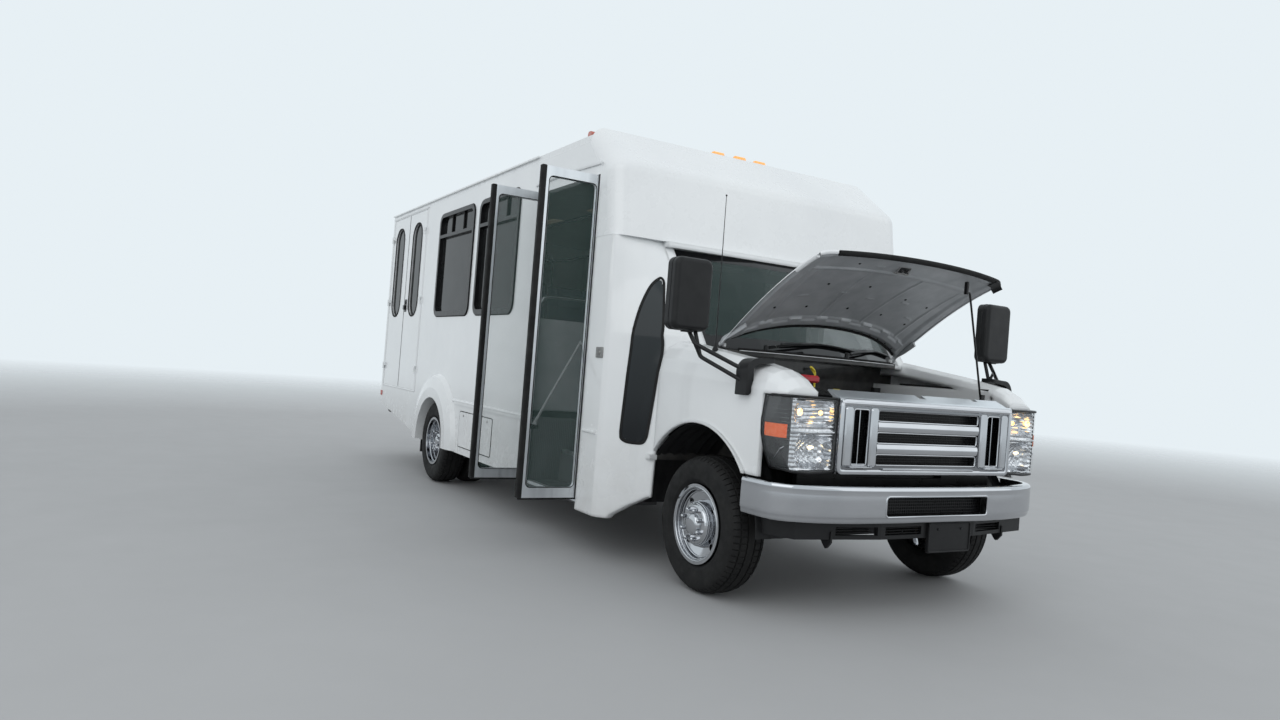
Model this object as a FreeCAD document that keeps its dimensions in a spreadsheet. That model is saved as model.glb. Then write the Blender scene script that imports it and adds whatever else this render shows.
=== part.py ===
import FreeCAD, Part
import math
import os
import Sketcher
from FreeCAD import Placement, Rotation, Vector

# Cutaway shuttle minibus on a van chassis, hood up and entry door open.
# +X forward, +Y left, +Z up, millimetres; the origin is on the ground under the front axle.

# Driving dimensions: name, value, what it is
SIZES = (
    ("wheelbase", 4013, "front axle to rear axle"),
    ("tyre_radius", 372, "outside radius of the tyres"),
    ("tyre_width", 225, "width over the sidewalls"),
    ("rim_radius", 205, "bead seat radius"),
    ("rim_wall", 8, "thickness of the rim's barrel and disc"),
    ("hand_hole", 18, "radius of a wheel's hand holes"),
    ("hand_hole_ring", 152, "radius of the ring of hand holes"),
    ("front_wheel_side", 881, "front wheel's middle from the centre plane"),
    ("dual_outer_side", 1118, "outer rear wheel's middle from the centre plane"),
    ("dual_inner_side", 860, "inner rear wheel's middle from the centre plane"),
    ("kingpin_side", 775, "kingpin from the centre plane"),
    ("kingpin_radius", 12, "kingpin"),
    ("spindle_radius", 30, "front wheel spindle"),
    ("axle_end_radius", 40, "rear axle end"),
    ("running_gap", 0.05, "radial clearance of a running fit"),
    ("rail_side", 430, "outer face of a chassis rail"),
    ("rail_bottom", 480, "underside of the rails"),
    ("rail_height", 180, "height of the rails"),
    ("rail_flange", 70, "flange of the rails"),
    ("rail_web", 10, "web of the rails"),
    ("rail_front", 560, "front end of the rails"),
    ("rail_rear", -5950, "rear end of the rails"),
    ("jack_pad_x", -2000, "middle of the lifting pads under the rails"),
    ("jack_pad_half", 60, "half the length of a lifting pad"),
    ("jack_pad_depth", 6, "depth of a lifting pad"),
    ("half_width", 1219, "outside of the coach body"),
    ("wall", 50, "coach wall with its lining"),
    ("body_rear", -6080, "outside of the rear wall"),
    ("skirt_bottom", 340, "bottom of the skirts"),
    ("skirt_rear_bottom", 590, "bottom of the skirts at the rear"),
    ("floor_bottom", 730, "underside of the coach floor"),
    ("floor_top", 780, "top of the coach floor"),
    ("wall_top", 2640, "top of the side walls"),
    ("drip_rise", 40, "drip rail above the side walls"),
    ("crown_rise", 70, "top of the roof above the drip rail"),
    ("roof_shell", 45, "thickness of the roof"),
    ("door_rear", -1910, "rear jamb of the entry doorway"),
    ("door_front", -1010, "front jamb of the entry doorway"),
    ("door_top", 2400, "head of the entry doorway"),
    ("door_bottom", 326, "sill of the entry doorway"),
    ("side_front", -780, "front edge of the right wall"),
    ("side_front_bottom", 275, "bottom of the right wall's front post"),
    ("coach_left_front", -1550, "front of the left wall"),
    ("cap_bottom", 2000, "lower edge of the front cap"),
    ("cap_top_rear", -1200, "cap's upper rear edge"),
    ("cap_knee_z", 2440, "bend in the cap's side joint"),
    ("skirt_bend", -4700, "where the skirts start to rise behind the axle"),
    ("arch_gap", 28, "rear wheel opening round the tyre"),
    ("flare_reach", 250, "rear flare's outer edge round the tyre"),
    ("flare_depth", 60, "rear flare's depth"),
    ("rub_rear", -3480, "rear end of the rub rail"),
    ("rub_height", 26, "height of the rub rail"),
    ("rub_depth", 9, "depth of the rub rail"),
    ("front_arch_x", -40, "middle of the front arch"),
    ("front_arch_gap", 176, "front arch round the tyre"),
    ("arch_lip", 14, "lip of the front arch"),
    ("fender_skin", 22, "thickness of a fender"),
    ("brow_front", 622, "tip of the fender's brow over the lamp"),
    ("liner_top", 1015, "top of the inner liners"),
    ("cab_floor", 690, "top of the cab floor"),
    ("cowl_top", 1345, "top of the cowl"),
    ("header_bottom", 1965, "underside of the windshield header"),
    ("hood_pin", 6, "hood hinge pins and prop rod"),
    ("hood_pin_gap", 0.3, "clearance round the hood's pins"),
    ("cap_front_low", -750, "cap's face at its lower edge"),
    ("cap_front_high", -820, "cap's face at its brow"),
    ("cap_brow", 2460, "height of the cap's brow"),
    ("cap_shell", 30, "thickness of the cap"),
    ("cap_corner", 110, "rounding of the cap's corners and brow"),
    ("window_bottom", 1530, "lower edge of the passenger windows"),
    ("window_top", 2500, "upper edge of the passenger windows"),
    ("window_corner", 90, "corner radius of the passenger windows"),
    ("glass", 6, "thickness of the panes"),
    ("lift_rear", -6000, "rear edge of the lift doorway"),
    ("lift_front", -4790, "front edge of the lift doorway"),
    ("lift_top", 2620, "head of the lift doorway"),
    ("lift_bottom", 790, "sill of the lift doorway"),
    ("door_pin", 7, "hinge pins of the lift doors and of the driver's door"),
    ("leaf_gap", 5, "gap round a door leaf"),
    ("lift_leaf", 45, "thickness of a lift door leaf"),
    ("lift_hinge_out", 14, "lift hinge pins outside the wall"),
    ("entry_leaf", 30, "thickness of an entry door leaf"),
    ("entry_pivot_in", 29, "entry door pivots inside the wall's face"),
    ("entry_pivot_jamb", 25, "entry door pivots from the jambs"),
    ("entry_stile", 53, "stile of an entry leaf"),
    ("cab_side", 990, "outside of the driver's door"),
    ("door_hinge_x", -534, "driver's door hinge"),
    ("driver_door_rear", -1490, "driver's door rear edge"),
    ("driver_door_bottom", 560, "driver's door lower edge"),
    ("driver_door_top", 1960, "driver's door upper edge"),
    ("driver_door_depth", 60, "driver's door thickness"),
    ("hood_hinge_x", -280, "hood hinge"),
    ("hood_hinge_z", 1375, "hood hinge"),
    ("hood_travel", 43, "hood's swing from shut to open, degrees"),
    ("hood_front", 716, "shut hood's front edge at its middle"),
    ("hood_front_z", 1160, "shut hood's front edge at its middle"),
    ("hood_half", 710, "half the hood's width"),
    ("stamp_depth", 12, "depth of the stampings in the hood's inner panel"),
    ("stamp_round", 30, "corners of those stampings"),
    ("hood_skin", 26, "hood with its inner panel"),
    ("grille_front", 700, "face of the grille"),
    ("grille_bottom", 748, "lower edge of the grille"),
    ("grille_top", 1131, "upper edge of the grille"),
    ("grille_half", 655, "half the grille's width"),
    ("grille_depth", 60, "depth of the grille"),
    ("grille_edge", 42, "margin of the grille's openings"),
    ("grille_bar", 52, "height of the grille's bars"),
    ("grille_mouth", 385, "half the width of the grille's middle opening"),
    ("grille_slot_in", 450, "inner edge of the grille's side slots"),
    ("grille_slot_out", 560, "outer edge of the grille's side slots"),
    ("lamp_bottom", 745, "lower edge of a headlamp"),
    ("lamp_top", 1120, "upper edge of a headlamp"),
    ("lamp_outer", 983, "outer edge of a headlamp"),
    ("lamp_rear", 500, "rear end of a headlamp's wrap"),
    ("valance_bottom", 420, "lower edge of the valance"),
    ("plate_face", 752, "face of the plate holder"),
    ("plate_middle", 145, "middle of the plate holder"),
    ("plate_screw_z", 465, "height of the plate holder's screw holes"),
    ("plate_spacing", 178, "between the plate holder's screw holes"),
    ("plate_hole", 3.25, "radius of those holes"),
    ("bumper_front", 800, "bumper's face at its middle"),
    ("bumper_bottom", 505, "underside of the bumper"),
    ("bumper_top", 695, "top of the bumper"),
    ("bumper_bar", 70, "depth of the bumper bar"),
    ("mirror_x", 105, "middle of the mirror heads"),
    ("mirror_in", 1090, "inner edge of a mirror head"),
    ("mirror_out", 1322, "outer edge of a mirror head"),
    ("mirror_bottom", 1410, "lower edge of a mirror head"),
    ("mirror_top", 1790, "upper edge of a mirror head"),
    ("mirror_tube", 11, "radius of the mirror's tubes"),
    ("driver_side", 450, "driver's seat and steering wheel from the centre plane"),
    ("driver_seat_x", -1180, "middle of the driver's seat"),
    ("wheel_x", -978, "steering wheel"),
    ("wheel_z", 1256, "height of the steering wheel's middle"),
    ("wheel_ring", 185, "radius of the steering wheel"),
    ("wheel_tilt", 62, "tilt of the steering wheel, degrees"),
    ("seat_in", 250, "inner edge of the seats"),
    ("seat_height", 1270, "top of the cushions"),
)


class Size(float):
    """A number with the sheet expression that it comes from, so that sums stay bound."""

    def __new__(cls, value, text=None):
        new = float.__new__(cls, value)
        new.text = text if text else repr(float(value))
        return new

    def _join(self, other, sign, value):
        return Size(value, "(%s %s %s)" % (self.text, sign, as_size(other).text))

    def __add__(self, other):
        return self._join(other, "+", float(self) + float(other))

    def __sub__(self, other):
        return self._join(other, "-", float(self) - float(other))

    def __mul__(self, other):
        return self._join(other, "*", float(self) * float(other))

    def __truediv__(self, other):
        return self._join(other, "/", float(self) / float(other))

    def __radd__(self, other):
        return as_size(other) + self

    def __rsub__(self, other):
        return as_size(other) - self

    def __rmul__(self, other):
        return as_size(other) * self

    def __neg__(self):
        return Size(-float(self), "(0 - %s)" % self.text)


def as_size(value):
    """Wraps a plain number."""
    return value if isinstance(value, Size) else Size(value)


doc = FreeCAD.newDocument("Minibus")
sheet = doc.addObject("Spreadsheet::Sheet", "Sizes")
for row, (alias, value, words) in enumerate(SIZES, 1):
    sheet.set("A%d" % row, alias)
    sheet.set("B%d" % row, str(value))
    sheet.set("C%d" % row, words)
    sheet.setAlias("B%d" % row, alias)
doc.recompute()


class Sheet:
    """The sheet's values as sizes, one attribute each."""


s = Sheet()
for alias, value, words in SIZES:
    setattr(s, alias, Size(sheet.get(alias), "Sizes." + alias))

s.drip_height = s.wall_top + s.drip_rise
s.roof_crown = s.drip_height + s.crown_rise

# Passenger windows as pairs of x, and half the width of the rear window
RIGHT_WINDOWS = ((-4300, -3330), (-3200, -2310))
LEFT_WINDOWS = ((-5760, -4790), (-4300, -3330), (-3200, -2310))
REAR_WINDOW = (-760, 760)

# Heights of the hinges of the lift doors and of the driver's door
LIFT_LEVELS = (1000, 1700, 2400)
DOOR_LEVELS = (760, 1150)

# Seat rows on each side, forward of the rear axle
ROWS_LEFT = (1413, 663, -87, -837, -1537)
ROWS_RIGHT = (1413, 663, -87)

# Where the prop rod starts in the hood's lug, bends, and stands
PROP_PATH = ((500, 428, 1778), (500, 470, 1778), (490, 640, 1180))

nodes = []


def bind(thing, prop, value):
    """Binds a property to a size's expression."""
    thing.setExpression(prop, as_size(value).text)


def place(thing, position):
    """Binds the base of a placement to three sizes."""
    for axis, value in zip("xyz", position):
        bind(thing, "Placement.Base." + axis, value)


def origin_plane(body, role):
    """The body's own origin plane."""
    return [f for f in body.Origin.OriginFeatures if f.Role == role][0]


# Each plane's normal: the sign that turns the row's coordinate into the sketch's offset
PLANES = {"XY": ("XY_Plane", 1), "XZ": ("XZ_Plane", -1), "YZ": ("YZ_Plane", 1)}


def sketch_on(body, name, plane, level, points, shift=(0, 0)):
    """A closed outline of straight lines whose corners are bound to sizes."""
    role, sign = PLANES[plane]
    sketch = body.newObject("Sketcher::SketchObject", name)
    sketch.AttachmentSupport = [(origin_plane(body, role), "")]
    sketch.MapMode = "FlatFace"
    bind(sketch, "AttachmentOffset.Base.x", shift[0])
    bind(sketch, "AttachmentOffset.Base.y", shift[1])
    bind(sketch, "AttachmentOffset.Base.z", as_size(level) * sign)
    count = len(points)
    corners = [Vector(float(p[0]), float(p[1]), 0) for p in points]
    for i in range(count):
        sketch.addGeometry(Part.LineSegment(corners[i], corners[(i + 1) % count]))
    for i in range(count):
        sketch.addConstraint(Sketcher.Constraint("Coincident", i, 2, (i + 1) % count, 1))
        for kind, value in (("DistanceX", points[i][0]), ("DistanceY", points[i][1])):
            n = sketch.addConstraint(Sketcher.Constraint(kind, i, 1, float(value)))
            if isinstance(value, Size):
                sketch.setExpression("Constraints[%d]" % n, value.text)
    return sketch


def corner_edges(shape, plane, corner):
    """Names of the straight edges that stand on one corner of a padded outline."""
    keep = {"XY": ("x", "y"), "XZ": ("x", "z"), "YZ": ("y", "z")}[plane]
    names = []
    for i, edge in enumerate(shape.Edges, 1):
        ends = [v.Point for v in edge.Vertexes]
        if len(ends) == 2 and all(
                abs(getattr(p, keep[0]) - float(corner[0])) < 0.01
                and abs(getattr(p, keep[1]) - float(corner[1])) < 0.01 for p in ends):
            names.append("Edge%d" % i)
    return names


def prism(name, plane, low, high, points):
    """An outline padded between two levels; a corner's third value rounds it."""
    body = doc.addObject("PartDesign::Body", name)
    start = high if plane == "XZ" else low
    sketch = sketch_on(body, name + "_outline", plane, start, points)
    pad = body.newObject("PartDesign::Pad", name + "_pad")
    pad.Profile = sketch
    bind(pad, "Length", as_size(high) - low)
    doc.recompute()
    radii = sorted({float(p[2]) for p in points if len(p) > 2})
    for radius in radii:
        corners = [p for p in points if len(p) > 2 and float(p[2]) == radius]
        tip = body.Tip
        edges = []
        for corner in corners:
            edges += corner_edges(tip.Shape, plane, corner)
        fillet = body.newObject("PartDesign::Fillet", name + "_round")
        fillet.Base = (tip, edges)
        bind(fillet, "Radius", corners[0][2])
        doc.recompute()
    return body


def box(name, x, y, z):
    """A block between three pairs of coordinates."""
    block = doc.addObject("Part::Box", name)
    place(block, (x[0], y[0], z[0]))
    bind(block, "Length", as_size(x[1]) - x[0])
    bind(block, "Width", as_size(y[1]) - y[0])
    bind(block, "Height", as_size(z[1]) - z[0])
    return block


# Rotations that lay a cylinder along each axis
ALONG = {"X": Rotation(Vector(0, 1, 0), 90), "Y": Rotation(Vector(1, 0, 0), -90), "Z": Rotation()}


def cylinder(name, axis, start, radius, length):
    """A round bar from a point along an axis of the row."""
    bar = doc.addObject("Part::Cylinder", name)
    bar.Placement = Placement(Vector(), ALONG[axis])
    place(bar, start)
    bind(bar, "Radius", radius)
    bind(bar, "Height", length)
    return bar


def tube(name, points, radius, bend):
    """A round tube along straight runs joined by tangent arcs, as one exact sweep."""
    stations = [Vector(*[float(c) for c in p]) for p in points]
    edges = []
    start = stations[0]
    for before, here, after in zip(stations, stations[1:], stations[2:]):
        a = (before - here).normalize()
        b = (after - here).normalize()
        turn = math.pi - a.getAngle(b)
        reach = bend * math.tan(turn / 2)
        middle = (a + b).normalize() * (bend / math.cos(turn / 2) - bend)
        edges.append(Part.LineSegment(start, here + a * reach).toShape())
        edges.append(Part.Arc(here + a * reach, here + middle, here + b * reach).toShape())
        start = here + b * reach
    edges.append(Part.LineSegment(start, stations[-1]).toShape())
    path = Part.Wire(edges)
    ring = Part.Wire([Part.makeCircle(float(radius), stations[0], stations[1] - stations[0])])
    feature = doc.addObject("Part::Feature", name)
    feature.Shape = path.makePipeShell([ring], True, False)
    return feature


def turned(name, centre, points):
    """A profile of (side, radius) corners turned about the wheel's axle."""
    body = doc.addObject("PartDesign::Body", name)
    sketch = sketch_on(body, name + "_profile", "YZ", centre[0], points, (centre[1], centre[2]))
    turn = body.newObject("PartDesign::Revolution", name + "_turn")
    turn.Profile = sketch
    turn.ReferenceAxis = (sketch, ["H_Axis"])
    turn.Angle = 360
    return body


def loft(name, plane, sections):
    """Ruled loft through outlines at several levels, each (level, corners)."""
    body = doc.addObject("PartDesign::Body", name)
    sketches = [sketch_on(body, "%s_section_%d" % (name, i), plane, level, points)
                for i, (level, points) in enumerate(sections)]
    shape = body.newObject("PartDesign::AdditiveLoft", name + "_loft")
    shape.Profile = sketches[0]
    shape.Sections = sketches[1:]
    shape.Ruled = True
    return body


def cut(name, base, *tools):
    """A piece less one or more tools."""
    tool = tools[0] if len(tools) == 1 else fuse(name + "_tools", *tools)
    result = doc.addObject("Part::Cut", name)
    result.Base = base
    result.Tool = tool
    return result


def fuse(name, *pieces):
    """Pieces made one solid."""
    result = doc.addObject("Part::MultiFuse", name)
    result.Shapes = list(pieces)
    result.Refine = True
    return result


def group(name, *pieces):
    """Like pieces that do not touch, kept as one sub-part."""
    result = doc.addObject("Part::Compound", name)
    result.Links = list(pieces)
    return result


def common(name, base, tool):
    """What two pieces share."""
    result = doc.addObject("Part::Common", name)
    result.Base = base
    result.Tool = tool
    return result


def node(piece, label):
    """Marks a finished sub-part and gives it the label that names its file."""
    piece.Label = label
    nodes.append(piece)
    return piece


SIDES = (("left", 1), ("right", -1))


def band(x_low, x_high, z_low, z_high, *radius):
    """A rectangle's corners, rounded when a radius is given."""
    return [(x_low, z_low) + radius, (x_high, z_low) + radius,
            (x_high, z_high) + radius, (x_low, z_high) + radius]


# Chassis

def chassis_frame():
    """Two channel rails with cross members and bumper horns."""
    top = s.rail_bottom + s.rail_height
    pieces = []
    for side, sign in SIDES:
        web = s.rail_side * sign
        lip = (s.rail_side - s.rail_flange) * sign
        inner = (s.rail_side - s.rail_web) * sign
        pieces.append(prism("rail_" + side, "YZ", s.rail_rear, s.rail_front, [
            (lip, s.rail_bottom), (web, s.rail_bottom), (web, top), (lip, top),
            (lip, top - s.rail_web), (inner, top - s.rail_web),
            (inner, s.rail_bottom + s.rail_web), (lip, s.rail_bottom + s.rail_web)]))
        low, high = sorted((lip, web), key=float)
        pieces.append(box("horn_" + side, (s.rail_front - 10, s.bumper_front - s.bumper_bar - 28),
                          (low, high), (s.bumper_bottom + 20, s.bumper_top - 40)))
        pieces.append(box("jack_pad_" + side,
                          (s.jack_pad_x - s.jack_pad_half, s.jack_pad_x + s.jack_pad_half),
                          (low, high), (s.rail_bottom - s.jack_pad_depth, s.rail_bottom + 5)))
    for i, x in enumerate((500, -1400, -2500, -3400, -4700, -5900)):
        pieces.append(box("cross_member_%d" % i, (x, x + 60), (-s.rail_side + 5, s.rail_side - 5),
                          (s.rail_bottom + 20, top - 30)))
    node(fuse("chassis", *pieces), "chassis_frame")


def front_axle():
    """Beam axle with kingpin eyes and coil springs up to the rails."""
    z = s.tyre_radius
    pieces = [box("beam", (-45, 45), (-s.kingpin_side + 20, s.kingpin_side - 20), (z - 50, z + 40))]
    holes = []
    for side, sign in SIDES:
        y = s.kingpin_side * sign
        pieces.append(cylinder("eye_" + side, "Z", (0, y, z - 60), 32, 120))
        holes.append(cylinder("eye_hole_" + side, "Z", (0, y, z - 80),
                              s.kingpin_radius + s.running_gap, 160))
        pieces.append(cylinder("coil_" + side, "Z", (0, s.rail_side * sign - 35 * sign, z + 30), 60,
                               s.rail_bottom - z - 30))
    node(cut("front_beam", fuse("front_beam_solid", *pieces), *holes), "front_axle")


def rear_axle():
    """Tube axle with its differential, leaf springs and propeller shaft."""
    z = s.tyre_radius
    x = -s.wheelbase
    inner = s.dual_inner_side - s.tyre_width / 2
    pieces = [cylinder("tube", "Y", (x, -inner + 20, z), 55, (inner - 20) * 2),
              cylinder("stub", "Y", (x, -s.dual_outer_side - 40, z), s.axle_end_radius,
                       (s.dual_outer_side + 40) * 2),
              cylinder("differential", "X", (x - 160, 0, z), 150, 300),
              cylinder("propeller_shaft", "X", (x + 100, 0, z + 40), 45, 2200)]
    for side, sign in SIDES:
        span = (s.rail_side + 60, s.rail_side + 135) if sign > 0 else (
            -s.rail_side - 135, -s.rail_side - 60)
        pieces.append(prism("spring_" + side, "XZ", span[0], span[1], [
            (x - 720, 520), (x - 300, 450), (x, z + 40), (x + 300, 450), (x + 720, 520),
            (x + 720, 560), (x + 300, 500), (x, z + 110), (x - 300, 500), (x - 720, 560)]))
        reach = (s.rail_side, s.rail_side + 135) if sign > 0 else (-s.rail_side - 135, -s.rail_side)
        for end, dx in (("front", 690), ("rear", -750)):
            pieces.append(box("hanger_%s_%s" % (end, side), (x + dx, x + dx + 60), reach, (515, 600)))
    node(fuse("rear_beam", *pieces), "rear_axle")


def knuckles():
    """Steering knuckles with ears over the axle's eye, a kingpin and a spindle."""
    z = s.tyre_radius
    for side, sign in SIDES:
        y = s.kingpin_side * sign
        far = s.front_wheel_side + 70
        web = (s.kingpin_side + 40, s.kingpin_side + 64) if sign > 0 else (
            -s.kingpin_side - 64, -s.kingpin_side - 40)
        ear = (s.kingpin_side, s.kingpin_side + 64) if sign > 0 else (
            -s.kingpin_side - 64, -s.kingpin_side)
        out = (s.kingpin_side + 45, far) if sign > 0 else (-far, -s.kingpin_side - 45)
        pieces = [box("web_" + side, (-40, 40), web, (z - 110, z + 110)),
                  cylinder("pin_" + side, "Z", (0, y, z - 110), s.kingpin_radius, 220),
                  cylinder("spindle_" + side, "Y", (0, out[0], z), s.spindle_radius,
                           far - s.kingpin_side - 45)]
        for level, low in (("upper", 66), ("lower", -110)):
            pieces.append(box("ear_%s_%s" % (level, side), (-30, 30), ear, (z + low, z + low + 44)))
            pieces.append(cylinder("ear_end_%s_%s" % (level, side), "Z", (0, y, z + low), 30, 44))
        node(fuse("knuckle_solid_" + side, *pieces), "knuckle_" + side)


def tyre_profile(centre_side):
    """Half round shoulders and flat tread, as (side, radius) corners about a middle."""
    half = s.tyre_width / 2
    r = s.tyre_radius
    b = s.rim_radius
    rows = ((-0.80, b), (-1.0, b + 75), (-0.95, r - 30), (-0.76, r), (0.76, r),
            (0.95, r - 30), (1.0, b + 75), (0.80, b))
    return [(centre_side + half * share, radius) for share, radius in rows]


def hand_holes(name, centre, span, sign, count):
    """Round tools on a ring that pierce a wheel's disc between two side coordinates."""
    holes = []
    low, high = sorted((span[0] * sign, span[1] * sign))
    for i in range(count):
        turn = math.pi * (2 * i + 1) / count
        holes.append(cylinder("hand_hole_%s_%d" % (name, i), "Y",
                              (centre[0] + s.hand_hole_ring * math.cos(turn), centre[1] + low,
                               centre[2] + s.hand_hole_ring * math.sin(turn)),
                              s.hand_hole, high - low))
    return holes


def front_wheels():
    """Tyre and steel rim with a domed hub liner on each front spindle."""
    z = s.tyre_radius
    b = s.rim_radius
    w = s.rim_wall
    bore = s.spindle_radius + s.running_gap
    for side, sign in SIDES:
        centre = (0, s.front_wheel_side * sign, z)
        node(turned("tyre_solid_front_" + side, centre, tyre_profile(0)), "tyre_front_" + side)
        rows = [(-80, b - w), (-90, b), (90, b), (97.02, b + 12), (105, b + 12), (105, b - w),
                (70, b - w - 8), (60, 130), (95, 120), (115, 60), (115, 0),
                (75, 0), (75, bore), (-10, bore), (-10, 75), (45, b - w - 22), (40, b - w)]
        rim = turned("rim_solid_front_" + side, centre, [(a * sign, r) for a, r in rows])
        holes = hand_holes("front_" + side, centre, (0, 110), sign, 4)
        node(cut("rim_cut_front_" + side, rim, *holes), "rim_front_" + side)


def rear_wheels():
    """Twin tyres and dished rims on each end of the rear axle."""
    z = s.tyre_radius
    b = s.rim_radius
    w = s.rim_wall
    bore = s.axle_end_radius + s.running_gap
    for side, sign in SIDES:
        tyres = []
        for where, at in (("outer", s.dual_outer_side), ("inner", s.dual_inner_side)):
            centre = (-s.wheelbase, at * sign, z)
            tyres.append(turned("tyre_%s_%s" % (where, side), centre, tyre_profile(0)))
        node(group("tyres_both_" + side, *tyres), "tyres_rear_" + side)
        inner = s.dual_inner_side - s.dual_outer_side
        rows = [(105, b + 12), (105, b - w), (80, b - w), (-60, b - w - 20), (-80, 140),
                (-60, 110), (60, 90), (60, 0), (44, 0), (44, bore), (-150, bore), (-150, 140),
                (inner + 60, b - w - 20), (inner - 80, b - w), (inner - 90, b),
                (90, b), (97.02, b + 12)]
        rim = turned("rim_solid_rear_" + side, (-s.wheelbase, s.dual_outer_side * sign, z),
                     [(a * sign, r) for a, r in rows])
        holes = hand_holes("rear_" + side, (-s.wheelbase, s.dual_outer_side * sign, z),
                           (-120, -40), sign, 4)
        node(cut("rim_cut_rear_" + side, rim, *holes), "rims_rear_" + side)


# Coach body


def wall_span(sign):
    """The coach wall's two faces on one side, low first."""
    inner = s.half_width - s.wall
    return (inner, s.half_width) if sign > 0 else (-s.half_width, -inner)


def window_tool(name, plane, low, high, span):
    """A rounded window opening through a wall."""
    return prism(name, plane, low - 10, high + 10,
                 band(span[0], span[1], s.window_bottom, s.window_top, s.window_corner))


def arch_tool(name, low):
    """Round opening over the rear wheels through one side."""
    return cylinder("arch_" + name, "Y", (-s.wheelbase, low - 10, s.tyre_radius),
                    s.tyre_radius + s.arch_gap, s.wall + 20)


def side_walls():
    """Coach walls with passenger windows, the lift doorway and the header over the entry."""
    low, high = wall_span(-1)
    right = prism("right_panel", "XZ", low, high, [
        (s.body_rear, s.floor_bottom), (s.door_rear, s.floor_bottom), (s.door_rear, s.door_top),
        (s.door_front, s.door_top), (s.door_front, s.cap_knee_z),
        (s.cap_top_rear, s.wall_top), (s.body_rear, s.wall_top)])
    tools = [window_tool("right_window_%d" % i, "XZ", low, high, span)
             for i, span in enumerate(RIGHT_WINDOWS)]
    tools.append(box("lift_opening", (s.lift_rear, s.lift_front), (low - 10, high + 10),
                     (s.lift_bottom, s.lift_top)))
    tools.append(arch_tool("right_wall", low))
    pieces = [cut("right_cut", right, *tools)]
    for name, x, wall_x in (("front", s.lift_front + 5, 1), ("rear", s.lift_rear - 5, -1)):
        pieces += hinge_fixed("lift_%s" % name, x, low - s.lift_hinge_out, LIFT_LEVELS,
                              (x, x + 22 * wall_x), (low - s.lift_hinge_out, low + 1))
    pieces.append(box("rub_rail", (s.rub_rear, s.door_rear), (low - s.rub_depth, low),
                      (s.floor_top - s.rub_height, s.floor_top)))
    node(fuse("right_solid", *pieces), "side_wall_right")
    low, high = wall_span(1)
    left = prism("left_panel", "XZ", low, high, [
        (s.body_rear, s.floor_bottom), (s.coach_left_front, s.floor_bottom),
        (s.coach_left_front, s.cap_bottom), (s.door_front, s.cap_bottom),
        (s.door_front, s.cap_knee_z), (s.cap_top_rear, s.wall_top), (s.body_rear, s.wall_top)])
    tools = [window_tool("left_window_%d" % i, "XZ", low, high, span)
             for i, span in enumerate(LEFT_WINDOWS)]
    tools.append(arch_tool("left_wall", low))
    corner = prism("left_bulkhead", "XY", s.skirt_bottom, s.cap_bottom, [
        (s.coach_left_front - s.wall, s.cab_side + 15), (s.coach_left_front, s.cab_side + 15),
        (s.coach_left_front + 40, s.half_width - 95),
        (s.coach_left_front, s.half_width - s.wall),
        (s.coach_left_front - s.wall, s.half_width - s.wall)])
    soffit = box("left_soffit", (s.coach_left_front - 20, s.door_front - 10),
                 (s.cab_side - 60, s.half_width), (s.cap_bottom, s.cap_bottom + 25))
    node(fuse("left_solid", cut("left_cut", left, *tools), corner, soffit), "side_wall_left")


def hinge_fixed(name, x, y, levels, across, along):
    """Pins and fixed knuckles of a door hinge, each with a plate to its pillar."""
    pieces = []
    for i, z in enumerate(levels):
        low_x, high_x = sorted(across, key=float)
        low_y, high_y = sorted(along, key=float)
        pieces.append(cylinder("%s_pin_%d" % (name, i), "Z", (x, y, z - 34), s.door_pin, 68))
        pieces.append(cylinder("%s_knuckle_%d" % (name, i), "Z", (x, y, z - 34), 12, 32))
        pieces.append(box("%s_plate_%d" % (name, i), (low_x, high_x), (low_y, high_y),
                          (z - 34, z - 2)))
    return pieces


def hinge_moving(name, leaf, x, y, levels, across, along):
    """A leaf with hinge barrels that turn on the pins."""
    pieces = [leaf]
    holes = []
    for i, z in enumerate(levels):
        low_x, high_x = sorted(across, key=float)
        low_y, high_y = sorted(along, key=float)
        pieces.append(cylinder("%s_barrel_%d" % (name, i), "Z", (x, y, z), 12, 34))
        pieces.append(box("%s_strap_%d" % (name, i), (low_x, high_x), (low_y, high_y), (z, z + 34)))
        holes.append(cylinder("%s_hole_%d" % (name, i), "Z", (x, y, z - 36),
                              s.door_pin + s.running_gap, 72))
    return cut(name + "_hung", fuse(name + "_whole", *pieces), *holes)


def rear_wall():
    """Flat rear wall between the side walls with one wide window."""
    inner = s.half_width - s.wall
    panel = box("rear_panel", (s.body_rear, s.body_rear + s.wall), (-inner, inner),
                (s.floor_bottom, s.wall_top))
    tool = prism("rear_window", "YZ", s.body_rear - 10, s.body_rear + s.wall + 10,
                 band(REAR_WINDOW[0], REAR_WINDOW[1], s.window_bottom, s.window_top,
                      s.window_corner))
    node(cut("rear_cut", panel, tool), "rear_wall")


def roof_outline(side, base, crown, edge):
    """Arched roof line from one side to the other as (side, height) corners."""
    rise = crown - edge
    shares = ((1.0, 0), (0.965, 0.35), (0.88, 0.62), (0.6, 0.86), (0.25, 0.98))
    right = [(side * share, edge + rise * up) for share, up in shares]
    left = [(-a, b) for a, b in reversed(right)]
    return [(-side, base)] + [(side, base)] + right + left


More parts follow.
